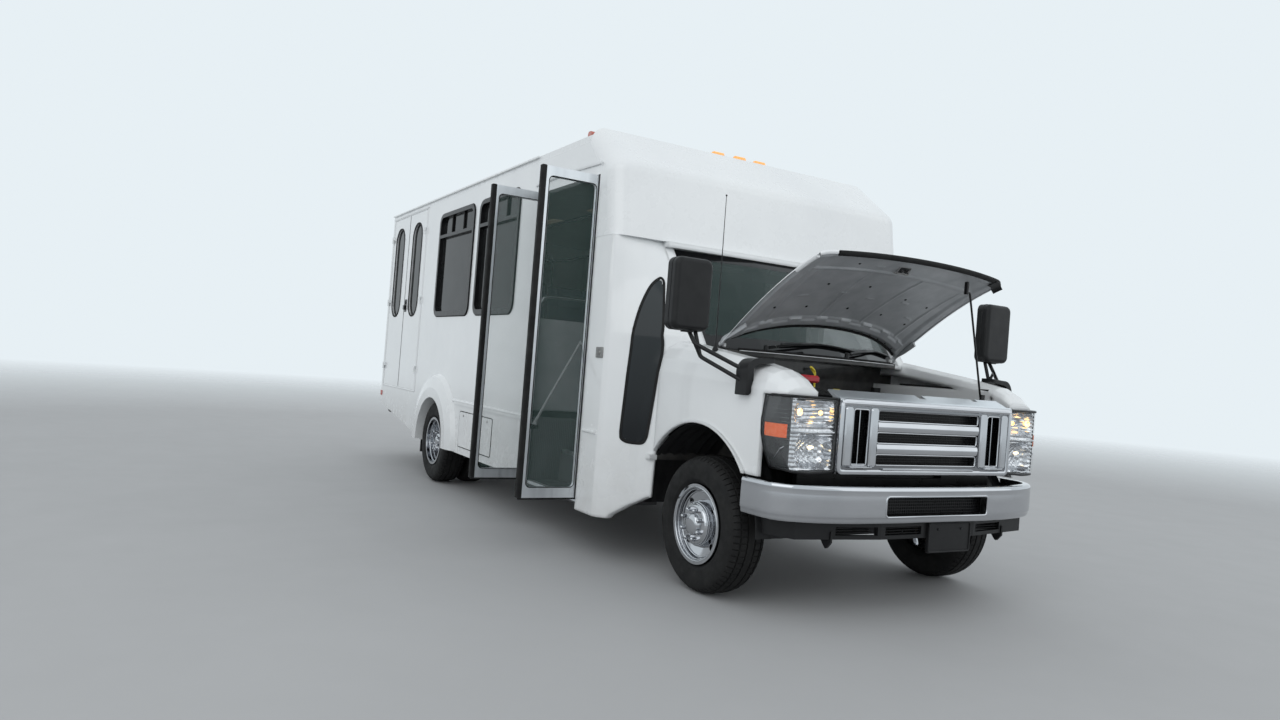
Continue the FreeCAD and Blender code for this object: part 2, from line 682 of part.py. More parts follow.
def roof():
    """Arched shell that sits on the walls."""
    outer = prism("roof_outer", "YZ", s.body_rear, s.cap_top_rear,
                  roof_outline(s.half_width, s.wall_top, s.roof_crown, s.drip_height))
    inner = prism("roof_inner", "YZ", s.body_rear + s.wall, s.cap_top_rear + 10,
                  roof_outline(s.half_width - s.wall, s.wall_top - 10,
                               s.roof_crown - s.roof_shell, s.drip_height - s.roof_shell))
    shell = cut("roof_cut", outer, inner)
    rails = []
    for side, sign in SIDES:
        y = (s.half_width, s.half_width + 18) if sign > 0 else (-s.half_width - 18, -s.half_width)
        rails.append(box("drip_" + side, (s.body_rear, s.door_rear - 90), y,
                         (s.drip_height - 12, s.drip_height)))
    node(fuse("roof_solid", shell, *rails), "roof_shell")


def cap_profile(inset):
    """Side view of the front cap, drawn in by a wall's thickness."""
    return [(s.door_front, s.cap_bottom + inset),
            (s.cap_front_low - inset, s.cap_bottom + inset),
            (s.cap_front_high - inset, s.cap_brow - inset * 0.4),
            (s.cap_top_rear, s.roof_crown - inset),
            (s.cap_top_rear, s.wall_top), (s.door_front, s.cap_knee_z)]


def front_cap():
    """Moulded cap over the cab: leaning face, sloped brow and round corners, hollow inside."""
    shells = []
    for name, inset, side in (("outer", Size(0), s.half_width),
                              ("inner", s.cap_shell, s.half_width - s.cap_shell)):
        body = prism("cap_" + name, "XZ", -side, side, cap_profile(inset))
        brow = Vector(float(s.cap_front_high - inset), 0, float(s.cap_brow - inset * 0.4))
        edges = []
        for i, edge in enumerate(body.Shape.Edges, 1):
            ends = [v.Point for v in edge.Vertexes]
            if any(abs(p.x - brow.x) < 0.1 and abs(p.z - brow.z) < 0.1 for p in ends):
                edges.append("Edge%d" % i)
        tip = body.Tip
        fillet = body.newObject("PartDesign::Fillet", "cap_corner_" + name)
        fillet.Base = (tip, edges)
        bind(fillet, "Radius", s.cap_corner - inset)
        doc.recompute()
        shells.append(body)
    node(cut("cap_shell_cut", *shells), "front_cap")


def coach_floor():
    """Floor with the cut for the step well, cross bearers and the steps themselves."""
    inner = s.half_width - s.wall
    well = -620
    deck = prism("deck", "XY", s.floor_bottom, s.floor_top, [
        (s.body_rear + s.wall, -inner), (s.door_rear - 20, -inner), (s.door_rear - 20, well),
        (s.door_front, well), (s.door_front, -80), (s.coach_left_front, -80),
        (s.coach_left_front, s.cab_side + 15), (s.coach_left_front - s.wall, s.cab_side + 15),
        (s.coach_left_front - s.wall, inner), (s.body_rear + s.wall, inner)])
    steps = prism("steps", "YZ", s.door_rear, s.door_front, [
        (-inner, s.door_bottom - 30), (-890, s.door_bottom - 30), (-890, 525), (well, 525),
        (well, s.floor_top), (well - 25, s.floor_top), (well - 25, 550), (-915, 550),
        (-915, s.door_bottom), (-inner, s.door_bottom)])
    pieces = [deck, steps,
              box("well_side_rear", (s.door_rear - 20, s.door_rear), (-inner, well),
                  (s.door_bottom - 30, s.floor_top)),
              box("well_side_front", (s.door_front, s.door_front + 15), (-inner, well),
                  (s.door_bottom - 30, s.floor_top))]
    top = s.rail_bottom + s.rail_height
    for i, x in enumerate((-2100, -2900, -3500, -4900, -5900)):
        pieces.append(box("bearer_%d" % i, (x, x + 60), (-inner, inner), (top, s.floor_bottom)))
    wells = []
    for side, sign in SIDES:
        reach = s.tyre_radius + s.arch_gap + 20
        span = (720, inner) if sign > 0 else (-inner, -720)
        hollow = (735, inner + 5) if sign > 0 else (-inner - 5, -735)
        x = -s.wheelbase
        pieces.append(box("wheel_box_" + side, (x - reach - 15, x + reach + 15), span,
                          (s.floor_bottom, s.floor_top + 60)))
        wells.append(box("wheel_well_" + side, (x - reach, x + reach), hollow,
                         (s.floor_bottom - 10, s.floor_top + 45)))
    node(cut("floor_cut", fuse("floor_solid", *pieces), *wells), "coach_floor")


def skirts():
    """Lower side panels with the rear arches cut and their flares round them."""
    pieces = []
    for side, sign in SIDES:
        low, high = wall_span(sign)
        front = s.coach_left_front if sign > 0 else s.door_rear
        panel = prism("skirt_panel_" + side, "XZ", low, high, [
            (s.body_rear, s.skirt_rear_bottom), (s.skirt_bend, s.skirt_bottom + 40),
            (s.skirt_bend + 200, s.skirt_bottom), (front, s.skirt_bottom), (front, s.floor_bottom),
            (s.body_rear, s.floor_bottom)])
        inside = s.tyre_radius + s.arch_gap
        outside = s.tyre_radius + s.flare_reach
        ring = turned("flare_ring_" + side, (-s.wheelbase, s.half_width * sign, s.tyre_radius), [
            (0, inside), (s.flare_depth * sign, inside), (s.flare_depth * sign, inside + 90),
            (s.flare_depth * 0.62 * sign, outside - 28), (0, outside)])
        edge = (s.half_width - 5, s.half_width + s.flare_depth + 5)
        if sign < 0:
            edge = (-s.half_width - s.flare_depth - 5, -s.half_width + 5)
        below = box("flare_below_" + side, (-s.wheelbase - 700, -s.wheelbase + 700),
                    edge, (-400, s.skirt_bottom + 10))
        panel_cut = cut("skirt_cut_" + side, panel, arch_tool("skirt_" + side, low))
        pieces.append(fuse("skirt_" + side, panel_cut, cut("flare_" + side, ring, below)))
    node(group("skirt_pair", *pieces), "skirts")


def window_frames_and_glass():
    """Rounded frames with a transom in each passenger window, and their panes."""
    frames = []
    panes = []
    sets = (("right", -1, RIGHT_WINDOWS), ("left", 1, LEFT_WINDOWS))
    for side, sign, windows in sets:
        low, high = wall_span(sign)
        face = (high - 20, high + 12) if sign > 0 else (low - 12, low + 20)
        for i, (x0, x1) in enumerate(windows):
            name = "%s_%d" % (side, i)
            outer = prism("frame_outer_" + name, "XZ", face[0], face[1],
                          band(x0, x1, s.window_bottom, s.window_top, s.window_corner))
            inner = prism("frame_inner_" + name, "XZ", face[0] - 5, face[1] + 5,
                          band(x0 + 35, x1 - 35, s.window_bottom + 45, s.window_top - 35,
                               s.window_corner - 30))
            bar = box("transom_" + name, (x0 + 30, x1 - 30), face,
                      (s.window_top - 230, s.window_top - 200))
            frames.append(fuse("frame_" + name, cut("frame_ring_" + name, outer, inner), bar))
            pane = (face[0] - s.glass, face[0]) if sign > 0 else (face[1], face[1] + s.glass)
            panes.append(prism("pane_" + name, "XZ", pane[0], pane[1],
                               band(x0 + 1, x1 - 1, s.window_bottom + 1, s.window_top - 1,
                                    s.window_corner - 1)))
    panes.append(prism("pane_rear", "YZ", s.body_rear + 20, s.body_rear + 20 + s.glass,
                       band(REAR_WINDOW[0], REAR_WINDOW[1], s.window_bottom, s.window_top,
                            s.window_corner)))
    lens = prism("quarter_pane_outline", "XZ", -1250, -850, QUARTER_WINDOW)
    panes.append(common("quarter_pane", quarter_loft("quarter_pane_skin", 0.35, 0.6), lens))
    node(group("frames", *frames), "window_frames")
    node(group("panes", *panes), "window_glass")


def entry_leaves():
    """Two glazed leaves standing open, each with its shaft at the jamb."""
    y = -s.half_width + s.entry_pivot_in
    half = s.entry_leaf / 2
    width = (s.door_front - s.door_rear) / 2 - s.entry_pivot_jamb - s.leaf_gap / 2
    low = s.door_bottom + 20
    top = s.door_top - 8
    for name, x in (("front", s.door_front - s.entry_pivot_jamb),
                    ("rear", s.door_rear + s.entry_pivot_jamb)):
        panel = prism("entry_panel_" + name, "YZ", x - half, x + half,
                      band(y - width, y + 8, low, top))
        hole = prism("entry_hole_" + name, "YZ", x - half - 5, x + half + 5,
                     band(y - width + s.entry_stile, y - s.entry_stile + 10, low + 65, top - 60, 30))
        shaft = cylinder("entry_shaft_" + name, "Z", (x, y, s.door_bottom + 0.3), 14,
                         s.door_top - s.door_bottom - 0.6)
        node(fuse("entry_solid_" + name, cut("entry_cut_" + name, panel, hole), shaft),
             "entry_leaf_" + name)
        pane = prism("entry_pane_" + name, "YZ", x - s.glass / 2, x + s.glass / 2,
                     band(y - width + s.entry_stile, y - s.entry_stile + 10, low + 65, top - 60, 30))
        node(pane, "entry_glass_" + name)


def lift_leaves():
    """Two lift door leaves with tall round-ended windows, hung on outside hinges."""
    low, high = wall_span(-1)
    middle = (s.lift_front + s.lift_rear) / 2
    half_gap = s.leaf_gap / 2
    spans = (("front", s.lift_front, (middle + half_gap, s.lift_front - s.leaf_gap), (-5240, -4920)),
             ("rear", s.lift_rear, (s.lift_rear + s.leaf_gap, middle - half_gap), (-5900, -5580)))
    for name, jamb, span, window in spans:
        panel = prism("lift_panel_" + name, "XZ", low, low + s.lift_leaf,
                      band(span[0], span[1], s.lift_bottom + s.leaf_gap, s.lift_top - s.leaf_gap))
        hole = prism("lift_hole_" + name, "XZ", low - 5, low + s.lift_leaf + 5,
                     band(window[0], window[1], s.window_bottom + 20, s.window_top, 150))
        away = 1 if name == "front" else -1
        pin_x = jamb + 5 * away
        strap = (pin_x, jamb - 40 * away)
        leaf = hinge_moving("lift_" + name, cut("lift_cut_" + name, panel, hole), pin_x,
                            low - s.lift_hinge_out, LIFT_LEVELS, strap,
                            (low - s.lift_hinge_out - 3, low + 0))
        node(leaf, "lift_leaf_" + name)
        pane = prism("lift_pane_" + name, "XZ", low + 15, low + 15 + s.glass,
                     band(window[0], window[1], s.window_bottom + 20, s.window_top, 150))
        node(pane, "lift_glass_" + name)


# Cab

def fender_section(outer, bottom, shoulder, top, inner, hollow):
    """Section of a fender: flank and rounded crown, hooked inwards or solid underneath."""
    wide = outer - inner
    high = top - shoulder
    shares = ((1.0, 0.0), (0.93, 0.42), (0.78, 0.76), (0.55, 0.96), (0.3, 1.0), (0.1, 0.86), (0, 0.6))
    over = [(inner + wide * a, shoulder + high * b) for a, b in shares]
    if not hollow:
        return [(outer, bottom)] + over + [(inner, bottom)]
    skin = s.fender_skin
    under = [(y - skin * (a - 0.35) * 1.3, z - skin * 0.9)
             for (y, z), (a, b) in zip(over[1:-1], shares[1:-1])]
    edge = [(inner + 2, shoulder + high * 0.6 - skin)]
    return ([(outer, bottom)] + over + edge + list(reversed(under))
            + [(outer - skin, shoulder - 12), (outer - skin, bottom)])


def fenders(pieces):
    """Front fenders: ruled lofts of hooked sections, the brow over the lamp, the arch and its lip."""
    brow_low = s.lamp_top + 0.3
    arch = s.tyre_radius + s.front_arch_gap
    for side, sign in SIDES:
        rear = -500 if sign > 0 else -470
        flank = (
            # x, outer side, bottom, shoulder, top, inner side
            (s.lamp_rear - 0.3, s.cab_side - 8, 705, 1135, 1246, 735),
            (250, s.cab_side + 6, 705, 1152, 1293, 735),
            (-300, s.cab_side + 10, 430, 1185, 1368, 790),
            (rear, s.cab_side + 10, 430, 1185, 1376, 790),
        )
        brow = (
            (s.brow_front, s.cab_side - 62, brow_low, brow_low + 4, 1160, 735),
            (s.brow_front - 55, s.cab_side - 28, brow_low, brow_low + 6, 1212, 735),
            (s.lamp_rear - 0.3, s.cab_side - 8, brow_low, 1135, 1246, 735),
        )
        lofts = []
        for name, rows, hollow in (("flank", flank, True), ("brow", brow, False)):
            sections = []
            for x, *row in rows:
                section = fender_section(*row, hollow)
                sections.append((x, [(y * sign, z) for y, z in section]))
            lofts.append(loft("fender_%s_%s" % (name, side), "YZ", sections))
        low = 500 if sign > 0 else -1100
        hole = cylinder("fender_arch_" + side, "Y", (s.front_arch_x, low, s.tyre_radius), arch, 600)
        lip_in = s.cab_side - 12
        lip = (lip_in, s.cab_side + s.arch_lip) if sign > 0 else (-s.cab_side - s.arch_lip, -lip_in)
        ring = cylinder("arch_ring_" + side, "Y", (s.front_arch_x, lip[0], s.tyre_radius),
                        arch + s.arch_lip, lip[1] - lip[0])
        keep = box("arch_keep_" + side, (-465, 420), (lip[0] - 5, lip[1] + 5), (706, 1000))
        whole = fuse("fender_whole_" + side, *lofts, common("arch_lip_" + side, ring, keep))
        pieces.append(cut("fender_" + side, whole, hole))


# Plan of the moulding between the entry doorway and the cab, at several heights
QUARTER = (
    # height, five outer corners from the post to the cab, inward shift of the inner face
    (275, ((-780, -1219), (-748, -1206), (-690, -1160), (-570, -1050), (-480, -990)), (-20, 24)),
    (700, ((-780, -1219), (-748, -1206), (-690, -1160), (-570, -1050), (-470, -985)), (-20, 24)),
    (1180, ((-780, -1219), (-748, -1206), (-690, -1155), (-560, -1040), (-440, -965)), (-20, 24)),
    (1400, ((-780, -1219), (-750, -1206), (-690, -1145), (-520, -1000), (-345, -845)), (-22, 22)),
    (2000, ((-780, -1219), (-775, -1206), (-778, -1140), (-785, -1000), (-800, -840)), (-30, 3)),
)

# Tall lens-shaped window in that moulding, seen from the side, each corner with its radius
QUARTER_WINDOW = ((-655, 745, 60), (-525, 745, 60), (-481, 1330, 300), (-650, 1765, 20),
                  (-640, 1330))


def quarter_loft(name, near, far):
    """Skin of the moulding between two shares of its thickness, through all its levels."""
    sections = []
    for z, corners, (dx, dy) in QUARTER:
        outer = [(x + dx * near, y + dy * near) for x, y in corners]
        inner = [(x + dx * far, y + dy * far) for x, y in reversed(corners)]
        sections.append((z, outer + inner))
    return loft(name, "XY", sections)


def quarter_moulding():
    """Front post of the entry doorway and the skin that sweeps from it in to the cab."""
    low, high = wall_span(-1)
    post = box("quarter_post", (s.door_front, s.side_front), (low, high),
               (s.side_front_bottom, s.cap_bottom))
    skin = quarter_loft("quarter_skin", 0, 1)
    window = prism("quarter_window", "XZ", -1250, -850, QUARTER_WINDOW)
    tuck = prism("quarter_tuck", "XZ", -1300, -850, [
        (-745, 200), (-350, 200), (-350, 440), (-500, 435), (-600, 370), (-680, 300)])
    return cut("quarter_cut", fuse("quarter_whole", post, skin), window, tuck)


def cab_shell():
    """Fenders, inner liners, cowl, bulkhead, floor and the frame round the windshield."""
    pieces = []
    fenders(pieces)
    pieces.append(box("bulkhead", (-500, -470), (-945, 980), (s.cab_floor - 30, s.cowl_top)))
    pieces.append(box("cab_floor_right", (s.door_front + 15, -470), (-1020, -80),
                      (s.cab_floor - 30, s.cab_floor)))
    pieces.append(box("cab_floor_left", (s.coach_left_front, -470), (-80, 905),
                      (s.cab_floor - 30, s.cab_floor)))
    pieces.append(prism("cowl", "XY", s.cowl_top - 25, s.cowl_top, [
        (-520, -930), (-290, -930), (-290, -735), (-250, -700), (-160, -400), (-130, 0),
        (-160, 400), (-250, 700), (-290, 735), (-290, 930), (-520, 930)]))
    for side, sign in SIDES:
        span = (520, 535) if sign > 0 else (-535, -520)
        pieces.append(box("liner_" + side, (-490, 480), span, (700, 1015)))
        span = (520, 760) if sign > 0 else (-760, -520)
        pieces.append(box("liner_top_" + side, (-490, 480), span, (1000, 1015)))
        rise = (735, 760) if sign > 0 else (-760, -735)
        pieces.append(box("liner_rise_" + side, (-490, 480), rise, (1000, 1215)))
        pillar = (786.3, 850) if sign > 0 else (-850, -786.3)
        pieces.append(prism("pillar_" + side, "XZ", pillar[0], pillar[1], [
            (-390, s.cowl_top - 5), (-300, s.cowl_top - 5), (-790, s.cap_bottom),
            (-880, s.cap_bottom)]))
        pin = 676 if sign > 0 else -720
        pieces.append(cylinder("hood_pin_" + side, "Y", (s.hood_hinge_x, pin, s.hood_hinge_z),
                               s.hood_pin, 44))
        bracket = (676, 694) if sign > 0 else (-694, -676)
        pieces.append(box("hood_bracket_" + side, (s.hood_hinge_x - 8, s.hood_hinge_x + 8),
                          bracket, (s.cowl_top - 5, s.hood_hinge_z + s.hood_pin)))
    pieces.append(box("header", (-880, -725), (-850, 850), (s.header_bottom, s.cap_bottom)))
    pieces.append(box("rear_pillar", (s.coach_left_front, s.driver_door_rear - 12),
                      (s.cab_side - 60, s.cab_side), (500, s.cap_bottom)))
    pieces.append(box("door_header", (s.driver_door_rear - 12, -880), (s.cab_side - 60, s.cab_side),
                      (s.driver_door_top + 8, s.cap_bottom)))
    pieces.append(box("header_left", (-905, -860), (845, s.cab_side), (1965, s.cap_bottom)))
    pieces.append(box("sill", (s.coach_left_front, -480), (900, s.cab_side - 5), (500, 545)))
    pieces.append(box("sill_web", (s.coach_left_front, -480), (880, 905), (500, s.cab_floor)))
    pieces.append(box("front_pillar", (-520, -470), (s.cab_side - 60, s.cab_side),
                      (430, s.cowl_top)))
    pieces.append(quarter_moulding())
    pieces += hinge_fixed("driver", s.door_hinge_x, s.cab_side - 4, DOOR_LEVELS,
                          (s.door_hinge_x, -515), (s.cab_side - 16, s.cab_side + 8))
    node(fuse("cab_solid", *pieces), "cab_shell")


def windshield():
    """Curved pane between the cowl and the header."""
    rows = (
        # height, corner x, quarter x, middle x, half width
        (s.cowl_top, -345, -215, -165, 786),
        (s.header_bottom, -805, -760, -740, 786),
    )
    sections = []
    for z, corner, quarter, middle, half in rows:
        front = [(corner, -half), (quarter, -half * 0.55), (middle, -half * 0.2),
                 (middle, half * 0.2), (quarter, half * 0.55), (corner, half)]
        back = [(x - s.glass, y) for x, y in reversed(front)]
        sections.append((z, front + back))
    node(loft("windshield_pane", "XY", sections), "windshield")


def dashboard():
    """Dash with steering column and wheel."""
    dash = prism("dash", "XZ", -960, 915, [
        (-500, 1000), (-500, 1315), (-640, 1315, 40), (-800, 1220, 40), (-800, 1060, 40),
        (-700, 1000)])
    tilt = Rotation(Vector(0, 1, 0), -float(s.wheel_tilt))
    pieces = [dash]
    column = doc.addObject("Part::Cylinder", "column")
    column.Radius = 25
    column.Height = 260
    column.Placement = Placement(Vector(), tilt)
    place(column, (s.wheel_x + 218, s.driver_side, s.wheel_z - 116))
    pieces.append(column)
    rim = doc.addObject("Part::Torus", "steering_rim")
    bind(rim, "Radius1", s.wheel_ring)
    rim.Radius2 = 13
    rim.Placement = Placement(Vector(), tilt)
    place(rim, (s.wheel_x, s.driver_side, s.wheel_z))
    pieces.append(rim)
    spoke = doc.addObject("Part::Box", "steering_spoke")
    spoke.Length = 30
    bind(spoke, "Width", s.wheel_ring * 2)
    spoke.Height = 14
    spoke.Placement = Placement(Vector(), tilt)
    place(spoke, (s.wheel_x - 6, s.driver_side - s.wheel_ring, s.wheel_z - 16))
    pieces.append(spoke)
    node(fuse("dash_solid", *pieces), "dashboard")


def hood_loft(name, drop, thick):
    """Slab across the hood's crown, lowered by a depth and with a thickness."""
    x0 = s.hood_hinge_x
    half = s.hood_half + 20
    rows = (
        # x, edge height, crown
        (x0 - 40, s.hood_hinge_z + 18, 50),
        (300, 1300, 35),
        (500, 1243, 26),
        (650, 1183, 16),
        (s.hood_front + 10, s.hood_front_z - 10, 10),
    )
    sections = []
    for x, z, crown in rows:
        top = [(-half, z), (-half * 0.6, z + crown * 0.62), (0, z + crown),
               (half * 0.6, z + crown * 0.62), (half, z)]
        over = [(y, level - drop) for y, level in top]
        under = [(y, level - drop - thick) for y, level in reversed(top)]
        sections.append((x, over + under))
    return loft(name, "YZ", sections)


def hood():
    """Hood with its stamped inner panel, trimmed to its plan and swung open about its hinge."""
    x0 = s.hood_hinge_x
    front = s.hood_front
    half = s.hood_half
    slab = hood_loft("hood_slab", 0, s.hood_skin)
    plan = prism("hood_plan", "XY", 1050, 1500, [
        (x0 + 12, -half, 14), (front - 75, -half + 12, 30), (front - 40, -half * 0.8),
        (front - 12, -half * 0.45), (front, 0), (front - 12, half * 0.45),
        (front - 40, half * 0.8), (front - 75, half - 12, 30), (x0 + 12, half, 14),
        (x0 + 150, half * 0.6), (x0 + 200, 0), (x0 + 150, -half * 0.6)])
    skin = common("hood_skin", slab, plan)
    below = hood_loft("hood_below", s.hood_skin - s.stamp_depth, s.hood_skin)
    stamps = []
    for i, (near, far) in enumerate(((0.06, 0.33), (0.39, 0.60), (0.66, 0.90))):
        for side, sign in SIDES:
            a, b = sorted((half * near * sign, half * far * sign), key=float)
            rear = x0 + (235 if i < 2 else 165)
            nose = front - (215 if i < 2 else 250)
            stamps.append(prism("stamp_%d_%s" % (i, side), "XY", 1050, 1500,
                                band(rear, nose, a, b, s.stamp_round)))
    front_stamp = prism("stamp_front", "XY", 1050, 1500, [
        (front - 180, -half * 0.72, 20), (front - 95, -half * 0.66, 20), (front - 70, 0),
        (front - 95, half * 0.66, 20), (front - 180, half * 0.72, 20)])
    hollow = common("hood_hollow", below, fuse("hood_stamps", front_stamp, *stamps))
    pieces = [cut("hood_stamped", skin, hollow)]
    holes = []
    for side, sign in SIDES:
        ear = (699, 715) if sign > 0 else (-715, -699)
        pieces.append(prism("hood_ear_" + side, "XZ", ear[0], ear[1], [
            (x0 - 12, s.hood_hinge_z - 12), (x0 + 12, s.hood_hinge_z - 12),
            (x0 + 160, s.hood_hinge_z), (x0 + 160, s.hood_hinge_z + 22),
            (x0 - 12, s.hood_hinge_z + 12)]))
        holes.append(cylinder("hood_hole_" + side, "Y", (x0, ear[0] - 5, s.hood_hinge_z),
                              s.hood_pin + s.hood_pin_gap, 30))
    pieces.append(box("hood_striker", (front - 125, front - 95), (-14, 14),
                      (s.hood_front_z - 20, s.hood_front_z + 50)))
    shut = cut("hood_shut", fuse("hood_whole", *pieces), *holes)
    shut.Placement = Placement(Vector(), Rotation(Vector(0, 1, 0), -float(s.hood_travel)),
                               Vector(float(x0), 0, float(s.hood_hinge_z)))
    x, y, z = PROP_PATH[0]
    lug = box("prop_lug", (x - 11, x + 11), (y + 2, y + 20), (z - 11, z + 75))
    eye = cylinder("prop_eye", "Y", (x, y - 5, z), s.hood_pin + s.hood_pin_gap, 35)
    node(cut("hood_open", fuse("hood_with_lug", shut, lug), eye), "hood")


def hood_prop():
    """Prop rod from the hood's lug down to its foot by the radiator support."""
    node(tube("prop_rod", PROP_PATH, s.hood_pin, 14), "hood_prop")


def driver_door():
    """Driver's door: pressed lower panel with a window frame that follows the pillar."""
    low = s.cab_side - s.driver_door_depth
    x0 = s.driver_door_rear
    x1 = s.door_hinge_x - 2
    panel = prism("driver_panel", "XZ", low, s.cab_side, [
        (x0, s.driver_door_bottom), (x1, s.driver_door_bottom), (x1, 1340),
        (-900, s.driver_door_top), (x0, s.driver_door_top)])
    opening = prism("driver_opening", "XZ", low - 5, s.cab_side + 5, [
        (x0 + 60, 1290, 30), (x1 - 70, 1290, 30), (-925, s.driver_door_top - 50, 30),
        (x0 + 60, s.driver_door_top - 50, 30)])
    pockets = [box("hinge_pocket_%d" % i, (x1 - 14, x1 + 5), (s.cab_side - 22, s.cab_side + 5),
                   (z - 40, z + 40)) for i, z in enumerate(DOOR_LEVELS)]
    leaf = cut("driver_cut", panel, opening, *pockets)
    hung = hinge_moving("driver_leaf", leaf, s.door_hinge_x, s.cab_side - 4, DOOR_LEVELS,
                        (s.door_hinge_x, x1 - 20), (s.cab_side - 14, s.cab_side - 2))
    node(hung, "driver_door")
    pane = prism("driver_pane", "XZ", s.cab_side - 30, s.cab_side - 30 + s.glass, [
        (x0 + 60, 1290, 30), (x1 - 70, 1290, 30), (-925, s.driver_door_top - 50, 30),
        (x0 + 60, s.driver_door_top - 50, 30)])
    node(pane, "driver_glass")


# Front end

def radiator_support():
    """Panel round the radiator, arms to the grille, the grille's mesh and the prop rod's seat."""
    top = s.rail_bottom + s.rail_height
    support = prism("support_panel", "YZ", 480, 510, [
        (-735, top), (735, top), (735, s.grille_top), (-735, s.grille_top)])
    opening = box("radiator_opening", (470, 520), (-330, 330), (700, 1050))
    back = s.grille_front - s.grille_depth
    pieces = [cut("support_cut", support, opening),
              box("radiator", (430, 480), (-345, 345), (600, 1080)),
              box("mesh_panel", (back - 12, back), (-s.grille_slot_out - 20, s.grille_slot_out + 20),
                  (s.grille_bottom + 25, s.grille_top - 25))]
    for side, sign in SIDES:
        arm = (600, 640) if sign > 0 else (-640, -600)
        for level, z in (("low", (800, 860)), ("high", (1040, 1090))):
            pieces.append(box("grille_arm_%s_%s" % (level, side), (510, back), arm, z))
            pieces.append(box("mesh_arm_%s_%s" % (level, side), (back - 12, back),
                              (560, 640) if sign > 0 else (-640, -560), z))
    x, y, z = PROP_PATH[-1]
    pieces.append(box("prop_seat", (x + s.hood_pin + 0.8, 510), (y - 15, y + 15), (1125, z + 14)))
    node(fuse("support_solid", *pieces), "radiator_support")


def grille():
    """Bright grille plate: three bands behind two bars, a slot each side, and its top shelf."""
    back = s.grille_front - s.grille_depth
    half = s.grille_half
    low = s.grille_bottom
    plate = prism("grille_plate", "XZ", -half, half, [
        (back, low), (s.grille_front - 12, low), (s.grille_front, low + 14, 8),
        (s.grille_front, s.grille_top - 10, 8), (s.grille_front - 14, s.grille_top),
        (back, s.grille_top)])
    bottom = low + s.grille_edge
    top = s.grille_top - s.grille_edge - 12
    holes = [prism("grille_middle", "YZ", back - 5, s.grille_front + 5,
                   band(-s.grille_mouth, s.grille_mouth, bottom, top, 16))]
    for side, sign in SIDES:
        a, b = (s.grille_slot_in, s.grille_slot_out)
        if sign < 0:
            a, b = (-s.grille_slot_out, -s.grille_slot_in)
        holes.append(prism("grille_slot_" + side, "YZ", back - 5, s.grille_front + 5,
                           band(a, b, bottom, top, 16)))
    pieces = [cut("grille_cut", plate, *holes)]
    pitch = (top - bottom + s.grille_bar) / 3
    for i in range(2):
        z = bottom + pitch * (i + 1) - s.grille_bar
        pieces.append(prism("grille_bar_%d" % i, "XZ", -s.grille_mouth - 5, s.grille_mouth + 5, [
            (back + 8, z), (s.grille_front - 16, z, 6), (s.grille_front - 4, z + s.grille_bar * 0.35, 10),
            (s.grille_front - 4, z + s.grille_bar * 0.65, 10),
            (s.grille_front - 16, z + s.grille_bar, 6), (back + 8, z + s.grille_bar)]))
    shelf = prism("grille_shelf", "XZ", -half + 10, half - 10, [
        (back - 50, s.grille_top + 25), (back + 5, s.grille_top - 12), (back + 30, s.grille_top - 12),
        (back + 30, s.grille_top), (back - 46, s.grille_top + 33)])
    level = (s.grille_top - 20, s.grille_top + 60)
    latch = box("latch_hole", (back - 70, back - 5), (-26, 26), level)
    side = PROP_PATH[0][1]
    lug = box("lug_notch", (back - 70, back - 20), (side - 8, side + 30), level)
    pieces.append(cut("grille_shelf_cut", shelf, latch, lug))
    node(fuse("grille_solid", *pieces), "grille")


def headlamps():
    """Tall wrapped headlamps whose outer edge bends at mid height."""
    lamps = []
    for side, sign in SIDES:
        inner = s.grille_half + 0.3
        plan = prism("lamp_plan_" + side, "XY", s.lamp_bottom, s.lamp_top, [
            (x, y * sign) for x, y in (
                (s.grille_front - 10, inner), (s.grille_front - 18, s.lamp_outer - 120),
                (s.grille_front - 34, s.lamp_outer - 62), (s.grille_front - 66, s.lamp_outer - 22),
                (s.grille_front - 120, s.lamp_outer), (s.lamp_rear, s.lamp_outer),
                (s.lamp_rear, s.lamp_outer - 30), (s.lamp_rear + 60, inner))])
        face = prism("lamp_face_" + side, "YZ", s.lamp_rear - 10, s.grille_front + 10, [
            (y * sign, z) for y, z in (
                (inner, s.lamp_bottom + 12), (inner + 160, s.lamp_bottom),
                (s.lamp_outer - 78, s.lamp_bottom + 4), (s.lamp_outer - 28, s.lamp_bottom + 90),
                (s.lamp_outer, s.lamp_bottom + 180), (s.lamp_outer, s.lamp_bottom + 250),
                (s.lamp_outer - 14, s.lamp_top), (inner, s.lamp_top))])
        lamps.append(common("headlamp_" + side, plan, face))
    node(group("headlamp_pair", *lamps), "headlamps")


# Plan of the front bumper from one end to its middle: x, side, share of a level's inset
BUMPER_PLAN = ((400, 1000, 0.4), (560, 990, 0.5), (625, 955, 0.6), (690, 885, 0.7),
               (740, 760, 0.8), (775, 600, 0.9), (795, 400, 1.0), (800, 150, 1.0))
BUMPER_BACK = ((400, 968), (545, 958), (600, 926), (655, 862), (698, 745), (722, 590), (730, 400),
               (730, 150))


